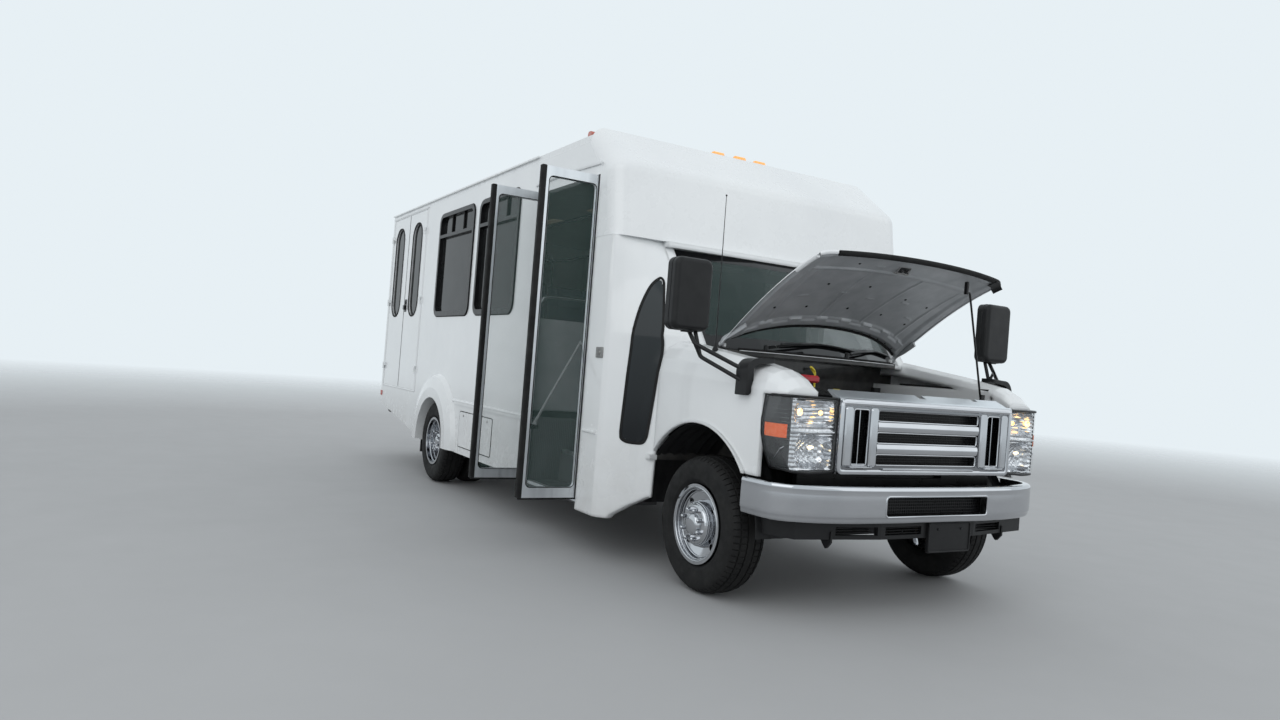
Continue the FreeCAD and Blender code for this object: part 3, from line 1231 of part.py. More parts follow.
def front_bumper():
    """Chrome bumper: rolled edges over its height, swept ends and the slot in its middle."""
    sections = []
    for z, inset in ((s.bumper_bottom, 26), (s.bumper_bottom + 45, 2), (s.bumper_top - 22, 0),
                     (s.bumper_top, 14)):
        front = [(x - inset * share, y - inset * share * 0.5) for x, y, share in BUMPER_PLAN]
        across = front + [(x, -y) for x, y in reversed(front)]
        back = [(x, -y) for x, y in BUMPER_BACK] + [(x, y) for x, y in reversed(BUMPER_BACK)]
        sections.append((z, across + back))
    bar = loft("bumper_bar_solid", "XY", sections)
    back = s.bumper_front - s.bumper_bar
    slot = prism("bumper_slot", "YZ", back - 40, s.bumper_front + 20,
                 band(-380, 380, 545, 645, 20))
    horns = []
    for side, sign in SIDES:
        span = (s.rail_side - s.rail_flange, s.rail_side)
        if sign < 0:
            span = (-s.rail_side, -s.rail_side + s.rail_flange)
        horns.append(box("bumper_bracket_" + side, (back - 28, back + 5), span, (520, 640)))
    node(fuse("bumper_solid", cut("bumper_cut", bar, slot), *horns), "front_bumper")


def front_valance():
    """Dark lower valance with air openings, tow brackets and the plate holder."""
    panel = prism("valance_panel", "XY", s.valance_bottom, s.bumper_bottom, [
        (480, -930), (660, -850), (740, -350), (740, 350), (660, 850), (480, 930),
        (480, 905), (640, 830), (715, 340), (715, -340), (640, -830), (480, -905)])
    holes = [box("valance_mouth_%d" % i, (600, 760), span, (s.valance_bottom + 20, s.bumper_bottom - 22))
             for i, span in enumerate(((-620, -370), (-320, -60), (370, 620)))]
    plate = prism("plate_holder", "YZ", s.plate_face - 12, s.plate_face,
                  band(-20, 310, 340, s.bumper_bottom, 12))
    pieces = [cut("valance_open", panel, *holes), plate]
    for side, sign in SIDES:
        span = (640, 652) if sign > 0 else (-652, -640)
        pieces.append(prism("tow_bracket_" + side, "XZ", span[0], span[1], [
            (610, s.valance_bottom + 40), (700, s.valance_bottom + 40), (700, s.valance_bottom - 15, 10),
            (665, s.valance_bottom - 55, 12), (630, s.valance_bottom - 15, 10)]))
    screws = [cylinder("plate_hole_%d" % i, "X",
                       (s.plate_face - 50, s.plate_middle + s.plate_spacing / 2 * k, s.plate_screw_z),
                       s.plate_hole, 80) for i, k in enumerate((-1, 1))]
    node(cut("valance_cut", fuse("valance_solid", *pieces), *screws), "front_valance")


def engine():
    """Plain block, gearbox and their mounts on the rails."""
    node(fuse("engine_solid", box("block", (-440, 330), (-270, 270), (560, 1060)),
              box("gearbox", (-1300, -440), (-150, 150), (420, 640)),
              box("engine_mounts", (-100, -20), (-400, 400),
                  (s.rail_bottom + s.rail_height, 700))), "engine")


def bay_fittings():
    """Battery, air box and bottles standing on the liners in the engine bay."""
    floor = s.liner_top + 0.3
    bottle = prism("washer_bottle", "XY", floor, floor + 145, band(60, 180, -700, -560, 25))
    neck = cylinder("washer_neck", "Z", (120, -630, floor + 140), 24, 40)
    coolant = cylinder("coolant_bottle", "Z", (-330, 620, floor), 70, 140)
    cap = cylinder("coolant_cap", "Z", (-330, 620, floor + 135), 32, 35)
    battery = box("battery_case", (200, 440), (-725, -560), (floor, floor + 150))
    posts = [cylinder("battery_post_%d" % i, "Z", (x, -600, floor + 145), 10, 22)
             for i, x in enumerate((240, 400))]
    air_box = prism("air_box", "XZ", -725, -545, [
        (-260, floor), (40, floor), (40, floor + 150, 25), (-60, floor + 185, 25),
        (-260, floor + 185, 25)])
    fuse_box = prism("fuse_box", "XZ", 662, 728, [
        (120, floor), (360, floor), (360, floor + 95, 18), (120, floor + 120, 18)])
    pieces = [fuse("battery", battery, *posts), fuse("washer", bottle, neck), air_box,
              fuse("coolant", coolant, cap), fuse_box]
    node(group("bay_group", *pieces), "engine_bay_fittings")


def round_face(body, name, axis, level, radius):
    """Rounds all the edges that lie in one flat face of a padded piece."""
    tip = body.Tip
    edges = []
    for i, edge in enumerate(tip.Shape.Edges, 1):
        if all(abs(getattr(v.Point, axis) - float(level)) < 0.01 for v in edge.Vertexes):
            edges.append("Edge%d" % i)
    fillet = body.newObject("PartDesign::Fillet", name)
    fillet.Base = (tip, edges)
    bind(fillet, "Radius", radius)
    doc.recompute()


def mirrors():
    """Mirror heads on braced tube arms that stand on fender brackets, both sides."""
    heads = []
    arms = []
    for side, sign in SIDES:
        span = (s.mirror_in, s.mirror_out) if sign > 0 else (-s.mirror_out, -s.mirror_in)
        head = prism("mirror_head_" + side, "YZ", s.mirror_x - 45, s.mirror_x + 45,
                     band(span[0], span[1], s.mirror_bottom, s.mirror_top, 42))
        round_face(head, "mirror_round_" + side, "x", s.mirror_x + 45, 26)
        heads.append(head)
        bracket = (975, 1012) if sign > 0 else (-1012, -975)
        pieces = [prism("mirror_bracket_" + side, "XZ", bracket[0], bracket[1], [
            (325, 1115, 12), (405, 1105, 12), (400, 1250, 14), (345, 1250, 14)])]
        corners = []
        for i, (x0, z0, y1) in enumerate(((380, 1160, s.mirror_in + 60), (360, 1225, s.mirror_in + 100))):
            corner = (s.mirror_x + 45, (y1 - 10) * sign, as_size(z0) + 120)
            corners.append(corner)
            pieces.append(tube("mirror_tube_%s_%d" % (side, i),
                               [(x0, 1000 * sign, z0), corner,
                                (s.mirror_x - 5, y1 * sign, s.mirror_bottom + 1)],
                               s.mirror_tube, 40))
        pieces.append(tube("mirror_brace_" + side, corners, s.mirror_tube * 0.8, 0))
        arms.append(cut("mirror_arm_cut_" + side, fuse("mirror_arm_" + side, *pieces), heads[-1],
                        doc.getObject("fender_flank_" + side)))
    node(group("mirror_head_pair", *heads), "mirror_heads")
    node(group("mirror_arm_pair", *arms), "mirror_arms")


def lamps():
    """Marker lamps on the roof and tail lamps on the rear wall."""
    pieces = []
    x = s.cap_top_rear - 15
    z = s.roof_crown - 4
    corner = s.half_width - 89
    rows = ((x, -190, z), (x, 0, z + 2), (x, 180, z),
            (x - 85, -corner, s.drip_height + 35), (x - 85, corner, s.drip_height + 35))
    for i, (x, y, z) in enumerate(rows):
        block = prism("marker_%d" % i, "XZ", as_size(y) - 40, as_size(y) + 40, [
            (x - 40, z - 30), (x + 14, z - 30), (x + 14, z + 8), (x + 2, z + 25, 8),
            (x - 30, z + 25, 8), (x - 40, z + 10)])
        pieces.append(cut("marker_lamp_%d" % i, block, doc.getObject("roof_outer")))
    for side, sign in SIDES:
        y = sorted(((s.half_width - 269) * sign, (s.half_width - 159) * sign), key=float)
        for i, z in enumerate((860, 980, 1100)):
            pieces.append(prism("tail_%s_%d" % (side, i), "YZ", s.body_rear - 25, s.body_rear,
                                band(y[0], y[1], z, z + 105, 14)))
    node(group("lamp_group", *pieces), "lamps")


def rear_bumper():
    """Rear bumper with a step face on brackets from the rails."""
    bar = prism("rear_bar", "XZ", -1100, 1100, [
        (s.body_rear - 80, 480, 10), (s.body_rear - 10, 470), (s.body_rear - 10, 600),
        (s.body_rear - 66, 600, 12), (s.body_rear - 80, 580, 12)])
    arms = []
    for side, sign in SIDES:
        span = (380, s.rail_side) if sign > 0 else (-s.rail_side, -380)
        arms.append(box("rear_arm_" + side, (s.body_rear - 20, s.rail_rear), span, (500, 580)))
    node(fuse("rear_bumper_solid", bar, *arms), "rear_bumper")


def tank_and_exhaust():
    """Fuel tank between the rails behind the axle, and the exhaust along the left rail."""
    axle = -s.wheelbase
    tank = prism("tank", "YZ", axle - 1487, axle - 787, [
        (-330, 400, 50), (330, 400, 50), (330, s.rail_bottom + s.rail_height),
        (-330, s.rail_bottom + s.rail_height)])
    side = s.rail_side + 130
    pipe = tube("exhaust_pipe", [(-1000, side, 450), (axle + 1013, side, 420),
                                 (axle + 863, side + 100, 420), (axle + 613, s.half_width - 99, 420)],
                32, 90)
    muffler = cylinder("muffler", "X", (axle + 1313, side, 424), 95, 600)
    straps = []
    for i, x in enumerate((axle + 2513, axle + 1563)):
        straps.append(box("hanger_%d" % i, (x, x + 30), (s.rail_side, side), (500, 512)))
        straps.append(box("hanger_drop_%d" % i, (x, x + 30), (side - 12, side), (430, 505)))
    node(group("tank_group", tank, fuse("exhaust_line", pipe, muffler, *straps)),
         "tank_and_exhaust")


def seats():
    """Seat frames, cushions, modesty panel and grab poles."""
    frames = []
    cushions = []
    pan = s.seat_height - 120
    places = [(-s.wheelbase + row, 1) for row in ROWS_LEFT]
    places += [(-s.wheelbase + row, -1) for row in ROWS_RIGHT]
    for i, (x, sign) in enumerate(places):
        y = sorted((s.seat_in * sign, (s.half_width - 99) * sign), key=float)
        leg = sorted(((s.seat_in + 50) * sign, (s.half_width - 159) * sign), key=float)
        raised = 60 if abs(float(x) + float(s.wheelbase)) < 400 else 0
        frames.append(fuse("seat_frame_%d" % i,
                           box("seat_leg_%d" % i, (x - 60, x - 20), leg,
                               (s.floor_top + raised, pan + 10)),
                           box("seat_pan_%d" % i, (x - 250, x + 190), leg, (pan, pan + 25))))
        cushions.append(prism("cushion_%d" % i, "XZ", y[0], y[1], [
            (x - 205, pan + 25.3), (x + 212, pan + 25.3), (x + 220, pan + 60, 18),
            (x + 212, s.seat_height, 30), (x - 210, s.seat_height - 10, 20)]))
        cushions.append(prism("back_%d" % i, "XZ", y[0], y[1], [
            (x - 300, pan + 25.3, 20), (x - 215, pan + 25.3, 20), (x - 290, pan + 700, 20),
            (x - 370, pan + 700, 20)]))
    x = s.driver_seat_x
    y = (s.driver_side - 240, s.driver_side + 240)
    frames.append(fuse("driver_frame",
                       box("driver_base", (x - 200, x + 120), (y[0] + 50, y[1] - 50),
                           (s.cab_floor, 900)),
                       box("driver_pan", (x - 240, x + 180), (y[0] + 20, y[1] - 20), (890, 915))))
    cushions.append(prism("driver_cushion", "XZ", y[0], y[1], [
        (x - 190, 915.3), (x + 190, 915.3), (x + 200, 960, 20), (x + 185, 1035, 30),
        (x - 190, 1020, 20)]))
    cushions.append(prism("driver_back", "XZ", y[0], y[1], [
        (x - 285, 915.3, 20), (x - 195, 915.3, 20), (x - 260, 1700, 20), (x - 340, 1700, 20)]))
    x = s.door_rear - 72
    wall_side = -s.half_width + s.wall
    panel = fuse("modesty",
                 box("modesty_panel", (x - 8, x + 7), (wall_side + 4, -640), (830, 1500)),
                 cylinder("modesty_pole", "Z", (x, -640, s.floor_top), 17, 1870),
                 cylinder("modesty_post", "Z", (x, wall_side + 19, s.floor_top), 17, 740))
    frames.append(panel)
    node(group("seat_frame_group", *frames), "cabin_fittings")
    node(group("cushion_group", *cushions), "seat_cushions")


def aerial_and_wipers():
    """Aerial on the right fender and two wipers parked on the cowl."""
    foot = cylinder("aerial_foot", "Z", (-60, -900, 1314), 14, 48)
    mast = cylinder("aerial_mast", "Z", (-60, -900, 1330), 4, 870)
    pieces = [cut("aerial", fuse("aerial_whole", foot, mast), doc.getObject("fender_flank_right"))]
    for i, (x, y, end_x, end) in enumerate(((-194, -440, -135, 30), (-152, 130, -225, 560))):
        pieces.append(tube("wiper_%d" % i, [(x, y, s.cowl_top + 0.3), (x, y, 1385),
                                            (end_x, end, 1400)], 6, 15))
    node(group("small_group", *pieces), "aerial_and_wipers")


for make in (chassis_frame, front_axle, rear_axle, knuckles, front_wheels, rear_wheels,
             side_walls, rear_wall, roof, front_cap, coach_floor, skirts,
             window_frames_and_glass, entry_leaves, lift_leaves, cab_shell, windshield,
             dashboard, hood, hood_prop, driver_door, radiator_support, grille, headlamps,
             front_bumper, front_valance, engine, bay_fittings, mirrors, lamps, rear_bumper,
             tank_and_exhaust, seats, aerial_and_wipers):
    make()

doc.recompute()
os.makedirs("parts", exist_ok=True)
for thing in doc.Objects:
    if "Invalid" in thing.State or "Error" in thing.State:
        raise RuntimeError("%s did not build: %s" % (thing.Name, thing.State))
for piece in nodes:
    if piece.Shape.isNull() or not piece.Shape.isValid():
        raise RuntimeError(piece.Label + " is not a valid shape")
for piece in nodes:
    piece.Shape.exportStep("parts/%s.step" % piece.Label)
    print(piece.Label, len(piece.Shape.Solids), round(piece.Shape.Volume / 1e6, 3))
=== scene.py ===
"""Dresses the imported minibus: finishes for its nodes, modelled detail, stage, light and camera."""

import math

import bmesh
import bpy
import numpy as np
from mathutils import Matrix, Vector


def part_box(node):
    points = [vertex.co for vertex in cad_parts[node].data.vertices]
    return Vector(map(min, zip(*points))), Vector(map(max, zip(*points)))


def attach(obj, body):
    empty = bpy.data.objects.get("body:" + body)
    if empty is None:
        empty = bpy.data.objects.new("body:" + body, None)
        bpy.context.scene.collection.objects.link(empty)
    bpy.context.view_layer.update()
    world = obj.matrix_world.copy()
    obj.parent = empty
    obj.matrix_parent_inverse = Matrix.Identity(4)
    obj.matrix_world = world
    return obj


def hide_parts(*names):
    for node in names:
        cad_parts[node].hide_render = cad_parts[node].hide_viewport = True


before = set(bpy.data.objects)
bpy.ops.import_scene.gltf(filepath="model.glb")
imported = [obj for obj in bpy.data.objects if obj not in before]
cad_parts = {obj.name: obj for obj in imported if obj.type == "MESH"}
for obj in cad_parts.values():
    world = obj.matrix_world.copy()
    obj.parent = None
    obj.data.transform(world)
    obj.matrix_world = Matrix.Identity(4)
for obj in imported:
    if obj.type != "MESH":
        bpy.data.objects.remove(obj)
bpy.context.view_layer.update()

bl_info = {
    "name": "Minibus dressing",
    "version": (1, 0, 0),
    "blender": (4, 5, 0),
    "location": "3D View > Sidebar > Minibus",
    "description": "Finishes and fittings for the packed minibus",
    "category": "Object",
}

RIGHT = -1
LEFT = 1
SIDES = (("left", LEFT), ("right", RIGHT))
WALL_FACE = 1.2185  # outer face of the coach walls, from the centre plane
REAR_FACE = -6.081
WINDOW_MIDDLE = 2.015  # height of the passenger windows' middle
WINDOW_TALL = 0.974
WINDOW_CORNER = 0.091
ARCH_X = -0.040  # centre of the front wheel arches, seen from the side
ARCH_Z = 0.372
STAGE_X = -2.5  # the middle of the bus, where the stage is centred


# Places read from the frame

def span(node, axis):
    """Lowest and highest coordinate of a node along one axis."""
    low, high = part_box(node)
    return low[axis], high[axis]


TYRE_RADIUS = (span("tyre_front_left", 2)[1] - span("tyre_front_left", 2)[0]) / 2
TYRE_HALF = (span("tyre_front_left", 1)[1] - span("tyre_front_left", 1)[0]) / 2
FRONT_SIDE = sum(span("tyre_front_left", 1)) / 2
REAR_X = sum(span("tyres_rear_left", 0)) / 2
DUAL_OUTER = span("tyres_rear_left", 1)[1] - TYRE_HALF
DUAL_INNER = span("tyres_rear_left", 1)[0] + TYRE_HALF
WHEELS = (
    # name, body, x, y, outward sign, front
    ("front_left", "front_left_wheel", 0.0, FRONT_SIDE, 1, True),
    ("front_right", "front_right_wheel", 0.0, -FRONT_SIDE, -1, True),
    ("rear_left_outer", "rear_left_wheel", REAR_X, DUAL_OUTER, 1, False),
    ("rear_left_inner", "rear_left_wheel", REAR_X, DUAL_INNER, 1, False),
    ("rear_right_outer", "rear_right_wheel", REAR_X, -DUAL_OUTER, -1, False),
    ("rear_right_inner", "rear_right_wheel", REAR_X, -DUAL_INNER, -1, False),
)


# Surfaces as (points, faces) pairs

def grid_faces(rows, columns, wrap_rows=False, wrap_columns=False):
    """Quads between neighbouring rows and columns of a grid, by index arithmetic."""
    r = np.arange(rows if wrap_rows else rows - 1)[:, None]
    c = np.arange(columns if wrap_columns else columns - 1)[None, :]
    after_r = (r + 1) % rows
    after_c = (c + 1) % columns
    corners = [r * columns + c, r * columns + after_c,
               after_r * columns + after_c, after_r * columns + c]
    return np.stack(np.broadcast_arrays(*corners), -1).reshape(-1, 4).tolist()


def end_faces(rows, columns):
    """Two faces that fill the first and the last row of a grid."""
    return [list(range(columns)), [(rows - 1) * columns + i for i in reversed(range(columns))]]


def rounded(width, height, radius, steps=4):
    """Rectangle outline: four quarter circles about corners moved in by the radius."""
    t = np.linspace(0, math.pi / 2, steps + 1)
    arcs = []
    for k, (sx, sy) in enumerate(((1, 1), (-1, 1), (-1, -1), (1, -1))):
        turn = t + k * math.pi / 2
        arcs.append(np.stack([sx * (width / 2 - radius) + radius * np.cos(turn),
                              sy * (height / 2 - radius) + radius * np.sin(turn)], -1))
    return np.concatenate(arcs)


def circle(radius, steps):
    """Points at equal angles."""
    t = np.linspace(0, 2 * math.pi, steps, endpoint=False)
    return np.stack([radius * np.cos(t), radius * np.sin(t)], -1)


def frames_along(path, hint, closed):
    """Two unit vectors square to the path at each point, the second nearest the hint."""
    if closed:
        ahead = np.roll(path, -1, 0) - np.roll(path, 1, 0)
    else:
        ahead = np.gradient(path, axis=0)
    ahead /= np.linalg.norm(ahead, axis=1)[:, None]
    side = np.cross(ahead, np.broadcast_to(np.asarray(hint, float), path.shape))
    side /= np.linalg.norm(side, axis=1)[:, None]
    return side, np.cross(side, ahead)


def sweep(outline, path, hint=(0, 0, 1), scale=None, closed=False):
    """The outline (side, up) carried along the path, grown by scale at each point, ends filled."""
    path = np.asarray(path, float)
    side, up = frames_along(path, hint, closed)
    grow = np.ones(len(path)) if scale is None else np.asarray(scale, float)
    flat = np.asarray(outline, float)[None] * grow[:, None, None]
    points = path[:, None] + flat[..., :1] * side[:, None] + flat[..., 1:] * up[:, None]
    rows, columns = points.shape[:2]
    faces = grid_faces(rows, columns, wrap_rows=closed, wrap_columns=True)
    if not closed:
        faces += end_faces(rows, columns)
    return points.reshape(-1, 3), faces


def bar(start, end, radius, steps=10):
    """Round bar between two points: a circle carried along the line."""
    line = np.array([start, end], float)
    run = line[1] - line[0]
    level = abs(run[2]) < 0.9 * np.linalg.norm(run)
    return sweep(circle(radius, steps), line, (0, 0, 1) if level else (1, 0, 0))


def hoop(centre, size, corner, axis, outline, steps=5):
    """The outline swept round a rounded rectangle that faces along an axis."""
    ring = rounded(size[0], size[1], corner, steps)
    flat = np.zeros(len(ring))
    order = {"X": (flat, ring[:, 0], ring[:, 1]), "Y": (ring[:, 0], flat, ring[:, 1]),
             "Z": (ring[:, 0], ring[:, 1], flat)}[axis]
    hint = {"X": (1, 0, 0), "Y": (0, 1, 0), "Z": (0, 0, 1)}[axis]
    return sweep(outline, np.stack(order, -1) + np.asarray(centre, float), hint, closed=True)


def slab(face, back):
    """Closed sheet between two grids of points of one shape, joined round their edges."""
    face = np.asarray(face, float)
    rows, columns = face.shape[:2]
    n = rows * columns
    index = np.arange(n).reshape(rows, columns)
    ring = np.concatenate([index[0, :-1], index[:-1, -1], index[-1, :0:-1], index[:0:-1, 0]])
    after = np.roll(ring, -1)
    top = grid_faces(rows, columns)
    faces = top + [[n + i for i in reversed(f)] for f in top]
    faces += np.stack([after, ring, ring + n, after + n], -1).tolist()
    return np.concatenate([face.reshape(-1, 3), np.asarray(back, float).reshape(-1, 3)]), faces


def soft_step(value, start, end):
    """Cubic from 0 at the start to 1 at the end."""
    share = np.clip((value - start) / (end - start), 0, 1)
    return share * share * (3 - 2 * share)


def ball(centre, radii, steps=16):
    """Ellipsoid: a half circle turned about the upright, its poles closed by doubled points."""
    t = np.linspace(-math.pi / 2, math.pi / 2, steps)
    profile = np.stack([np.sin(t), np.maximum(np.cos(t), 1e-6)], -1)
    points, faces = turned(profile, steps * 2, (0, 0, 0), "Z", closed=False)
    return points * np.asarray(radii, float) + np.asarray(centre, float), faces


def smooth_path(points, steps=8):
    """Catmull-Rom curve through the points: a cubic between each pair, its ends carried on."""
    p = np.asarray(points, float)
    p = np.concatenate([[2 * p[0] - p[1]], p, [2 * p[-1] - p[-2]]])
    t = np.linspace(0, 1, steps, endpoint=False)[:, None]
    runs = []
    for a, b, c, d in zip(p, p[1:], p[2:], p[3:]):
        runs.append(0.5 * (2 * b + (c - a) * t + (2 * a - 5 * b + 4 * c - d) * t ** 2
                           + (3 * b - a - 3 * c + d) * t ** 3))
    return np.concatenate(runs + [p[-2:-1]])


def block(low, high, edge=0.003, corner=0.006, axis="Z"):
    """Rounded rectangle carried along an axis, its first and last rings drawn in by the edge."""
    order = {"Z": (0, 1, 2), "X": (1, 2, 0), "Y": (2, 0, 1)}[axis]
    low = np.asarray(low, float)[list(order)]
    high = np.asarray(high, float)[list(order)]
    size = high - low
    edge = min(edge, size.min() * 0.3)
    corner = min(max(corner, edge * 1.5), min(size[0], size[1]) * 0.45)
    steps = 2 if corner < 0.008 else 5
    ring = rounded(size[0], size[1], corner, steps)
    inner = rounded(size[0] - 2 * edge, size[1] - 2 * edge, corner - edge * 0.9, steps)
    rings = [inner, ring, ring, inner]
    levels = [low[2], low[2] + edge, high[2] - edge, high[2]]
    middle = (low + high) / 2
    points = np.concatenate([np.column_stack([r + middle[:2], np.full(len(r), z)])
                             for r, z in zip(rings, levels)])
    n = len(ring)
    faces = grid_faces(4, n, wrap_columns=True)
    faces.append(list(reversed(range(n))))
    faces.append([3 * n + i for i in range(n)])
    back = np.argsort(order)
    return points[:, back], faces


def turned(profile, steps, centre, axis="Y", wave=None, closed=True):
    """Profile (along, radius) turned about an axis; wave adds (along, radius) shifts by angle."""
    profile = np.asarray(profile, float)
    t = np.linspace(0, 2 * math.pi, steps, endpoint=False) if np.isscalar(steps) else steps
    along = np.broadcast_to(profile[:, 0], (len(t), len(profile)))
    radius = np.broadcast_to(profile[:, 1], (len(t), len(profile)))
    if wave is not None:
        more = wave(t[:, None], profile[None])
        along = along + more[0]
        radius = radius + more[1]
    a = radius * np.cos(t)[:, None]
    b = radius * np.sin(t)[:, None]
    order = {"Y": (a, along, b), "X": (along, a, b), "Z": (a, b, along)}[axis]
    points = np.stack(order, -1) + np.asarray(centre, float)
    return points.reshape(-1, 3), grid_faces(len(t), len(profile), True, closed)


def turned_y(part, angle, about):
    """A part turned by an angle about +Y through a point."""
    c, s = math.cos(angle), math.sin(angle)
    q = np.asarray(part[0]) - np.asarray(about)
    q = np.stack([c * q[:, 0] + s * q[:, 2], q[:, 1], -s * q[:, 0] + c * q[:, 2]], -1)
    return q + np.asarray(about), part[1]


def on_side(parts, sign):
    """Parts of the left side, or the same ones across the centre plane."""
    if sign == LEFT:
        return parts
    return [(np.asarray(points) * (1, -1, 1), faces) for points, faces in parts]


def between(sign, near, far):
    """The two distances from the centre plane on one side, the lower coordinate first."""
    return sorted((near * sign, far * sign))


def piece(name, parts, body, finish, sharp=35, replaces=()):
    """One object from many parts, riding on a body, with its finish."""
    points = np.concatenate([np.asarray(p[0], float).reshape(-1, 3) for p in parts])
    faces = []
    start = 0
    for part in parts:
        faces += [[start + i for i in f] for f in part[1]]
        start += len(np.asarray(part[0]).reshape(-1, 3))
    mesh = bpy.data.meshes.new(name)
    mesh.from_pydata(points.tolist(), [], faces)
    work = bmesh.new()
    work.from_mesh(mesh)
    bmesh.ops.remove_doubles(work, verts=work.verts, dist=1e-6)
    bmesh.ops.dissolve_degenerate(work, edges=work.edges, dist=1e-7)
    bmesh.ops.recalc_face_normals(work, faces=work.faces)
    work.to_mesh(mesh)
    work.free()
    mesh.shade_smooth()
    mesh.set_sharp_from_angle(angle=math.radians(sharp))
    mesh.materials.append(FINISHES[finish])
    thing = bpy.data.objects.new(name, mesh)
    bpy.context.scene.collection.objects.link(thing)
    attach(thing, body)
    if replaces:
        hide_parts(*replaces)
    return thing


# Shader maths

class Wire:
    """A socket with a number on it; arithmetic on it adds Math nodes."""

    def __init__(self, maker, socket):
        self.maker = maker
        self.socket = socket

    def _math(self, operation, first, second=None):
        values = {0: first} if second is None else {0: first, 1: second}
        return self.maker.node("ShaderNodeMath", {"operation": operation}, values)

    def __add__(self, other):
        return self._math("ADD", self, other)

    def __sub__(self, other):
        return self._math("SUBTRACT", self, other)

    def __mul__(self, other):
        return self._math("MULTIPLY", self, other)

    def __pow__(self, other):
        return self._math("POWER", self, other)

    def __gt__(self, other):
        return self._math("GREATER_THAN", self, other)

    def __lt__(self, other):
        return self._math("LESS_THAN", self, other)

    def sine(self):
        return self._math("SINE", self)

    def absolute(self):
        return self._math("ABSOLUTE", self)


class Maker:
    """One material with its Principled shader, and the nodes that feed it."""

    def __init__(self, name, **constants):
        self.material = bpy.data.materials.new(name)
        self.material.use_nodes = True
        self.tree = self.material.node_tree
        self.shader = self.tree.nodes["Principled BSDF"]
        for key, value in constants.items():
            self.set(key, value)

    def put(self, socket, value):
        """Links a wire to a socket, or sets the socket's own value."""
        if isinstance(value, Wire):
            self.tree.links.new(value.socket, socket)
        elif hasattr(value, "__len__") and socket.type == "RGBA":
            socket.default_value = (*value[:3], 1)
        else:
            socket.default_value = value

    def set(self, key, value):
        """Feeds one input of the Principled shader."""
        self.put(self.shader.inputs[key.replace("_", " ")], value)

    def node(self, kind, settings=None, inputs=None, output=0):
        """Any node: its settings first, then its inputs by name or number."""
        new = self.tree.nodes.new(kind)
        for key, value in (settings or {}).items():
            setattr(new, key, value)
        for key, value in (inputs or {}).items():
            self.put(new.inputs[key], value)
        return Wire(self, new.outputs[output])

    def place(self, scale=(1, 1, 1)):
        """Object coordinates, stretched along the axes."""
        at = self.node("ShaderNodeTexCoord", output=3)
        return self.node("ShaderNodeMapping", inputs={"Vector": at, "Scale": scale})

    def axis(self, name):
        """One of the object's coordinates, in metres."""
        return self.node("ShaderNodeSeparateXYZ", inputs={0: self.place()},
                         output="XYZ".index(name))

    def noise(self, scale, detail, low=0.0, high=1.0, stretch=(1, 1, 1)):
        """Fractal noise spread from low to high."""
        raw = self.node("ShaderNodeTexNoise", inputs={
            "Vector": self.place(stretch), "Scale": scale, "Detail": detail, "Roughness": 0.55})
        return self.spread(raw, 0.25, 0.75, low, high)

    def cells(self, scale):
        """Distance to the nearest of many scattered points, from 0 to 1."""
        raw = self.node("ShaderNodeTexVoronoi", inputs={"Vector": self.place(), "Scale": scale})
        return self.spread(raw, 0.0, 0.7, 0.0, 1.0)

    def spread(self, value, start, end, low, high):
        """A value carried from one range to another, held at its ends."""
        inputs = {0: value, 1: start, 2: end, 3: low, 4: high}
        return self.node("ShaderNodeMapRange", inputs=inputs)

    def either(self, *masks):
        """The greatest of some masks."""
        first, *others = masks
        for other in others:
            first = self.node("ShaderNodeMath", {"operation": "MAXIMUM"}, {0: first, 1: other})
        return first

    def mix(self, share, first, second):
        """From the first colour to the second."""
        return self.node("ShaderNodeMix", {"data_type": "RGBA"}, {0: share, 6: first, 7: second},
                         output=2)

    def bump(self, height, distance, strength, normal=None):
        """Normal from a height, in metres, laid over another normal where one is given."""
        inputs = {"Height": height, "Distance": distance, "Strength": strength}
        if normal is not None:
            inputs["Normal"] = normal
        self.set("Normal", self.node("ShaderNodeBump", inputs=inputs))


def dusted(m, low, high, dusty):
    """A faintly uneven colour under road dust towards the sills, and the dust's own mask."""
    film = m.noise(6, 6, 0.0, 1.0) * m.spread(m.axis("Z"), 0.95, 0.25, 0.0, dusty)
    return m.mix(film, m.mix(m.noise(1.7, 3), low, high), (0.42, 0.40, 0.36)), film


def paint(low, high, rough, dusty=0.0):
    """Gloss coat over a faintly uneven colour, with road dust towards the sills."""
    m = Maker("paint", Coat_Weight=0.6, Coat_Roughness=0.05, IOR=1.45)
    tone, film = dusted(m, low, high, dusty)
    m.set("Base_Color", tone)
    m.set("Roughness", m.noise(9, 4, rough * 0.8, rough * 1.25) + film * 0.4)
    m.bump(m.noise(38, 2), 0.0004, 0.25)
    return m.material


def metal(low, high, rough, scale=14, stretch=(1, 1, 1), grain=0.0001):
    """Bare or plated metal with smudges and a fine grain."""
    m = Maker("metal", Metallic=1.0)
    m.set("Base_Color", m.mix(m.noise(scale, 4, stretch=stretch), low, high))
    m.set("Roughness", m.noise(scale * 2, 5, rough * 0.6, rough * 1.6, stretch=stretch))
    m.bump(m.noise(scale * 14, 2, stretch=stretch), grain, 0.4)
    return m.material


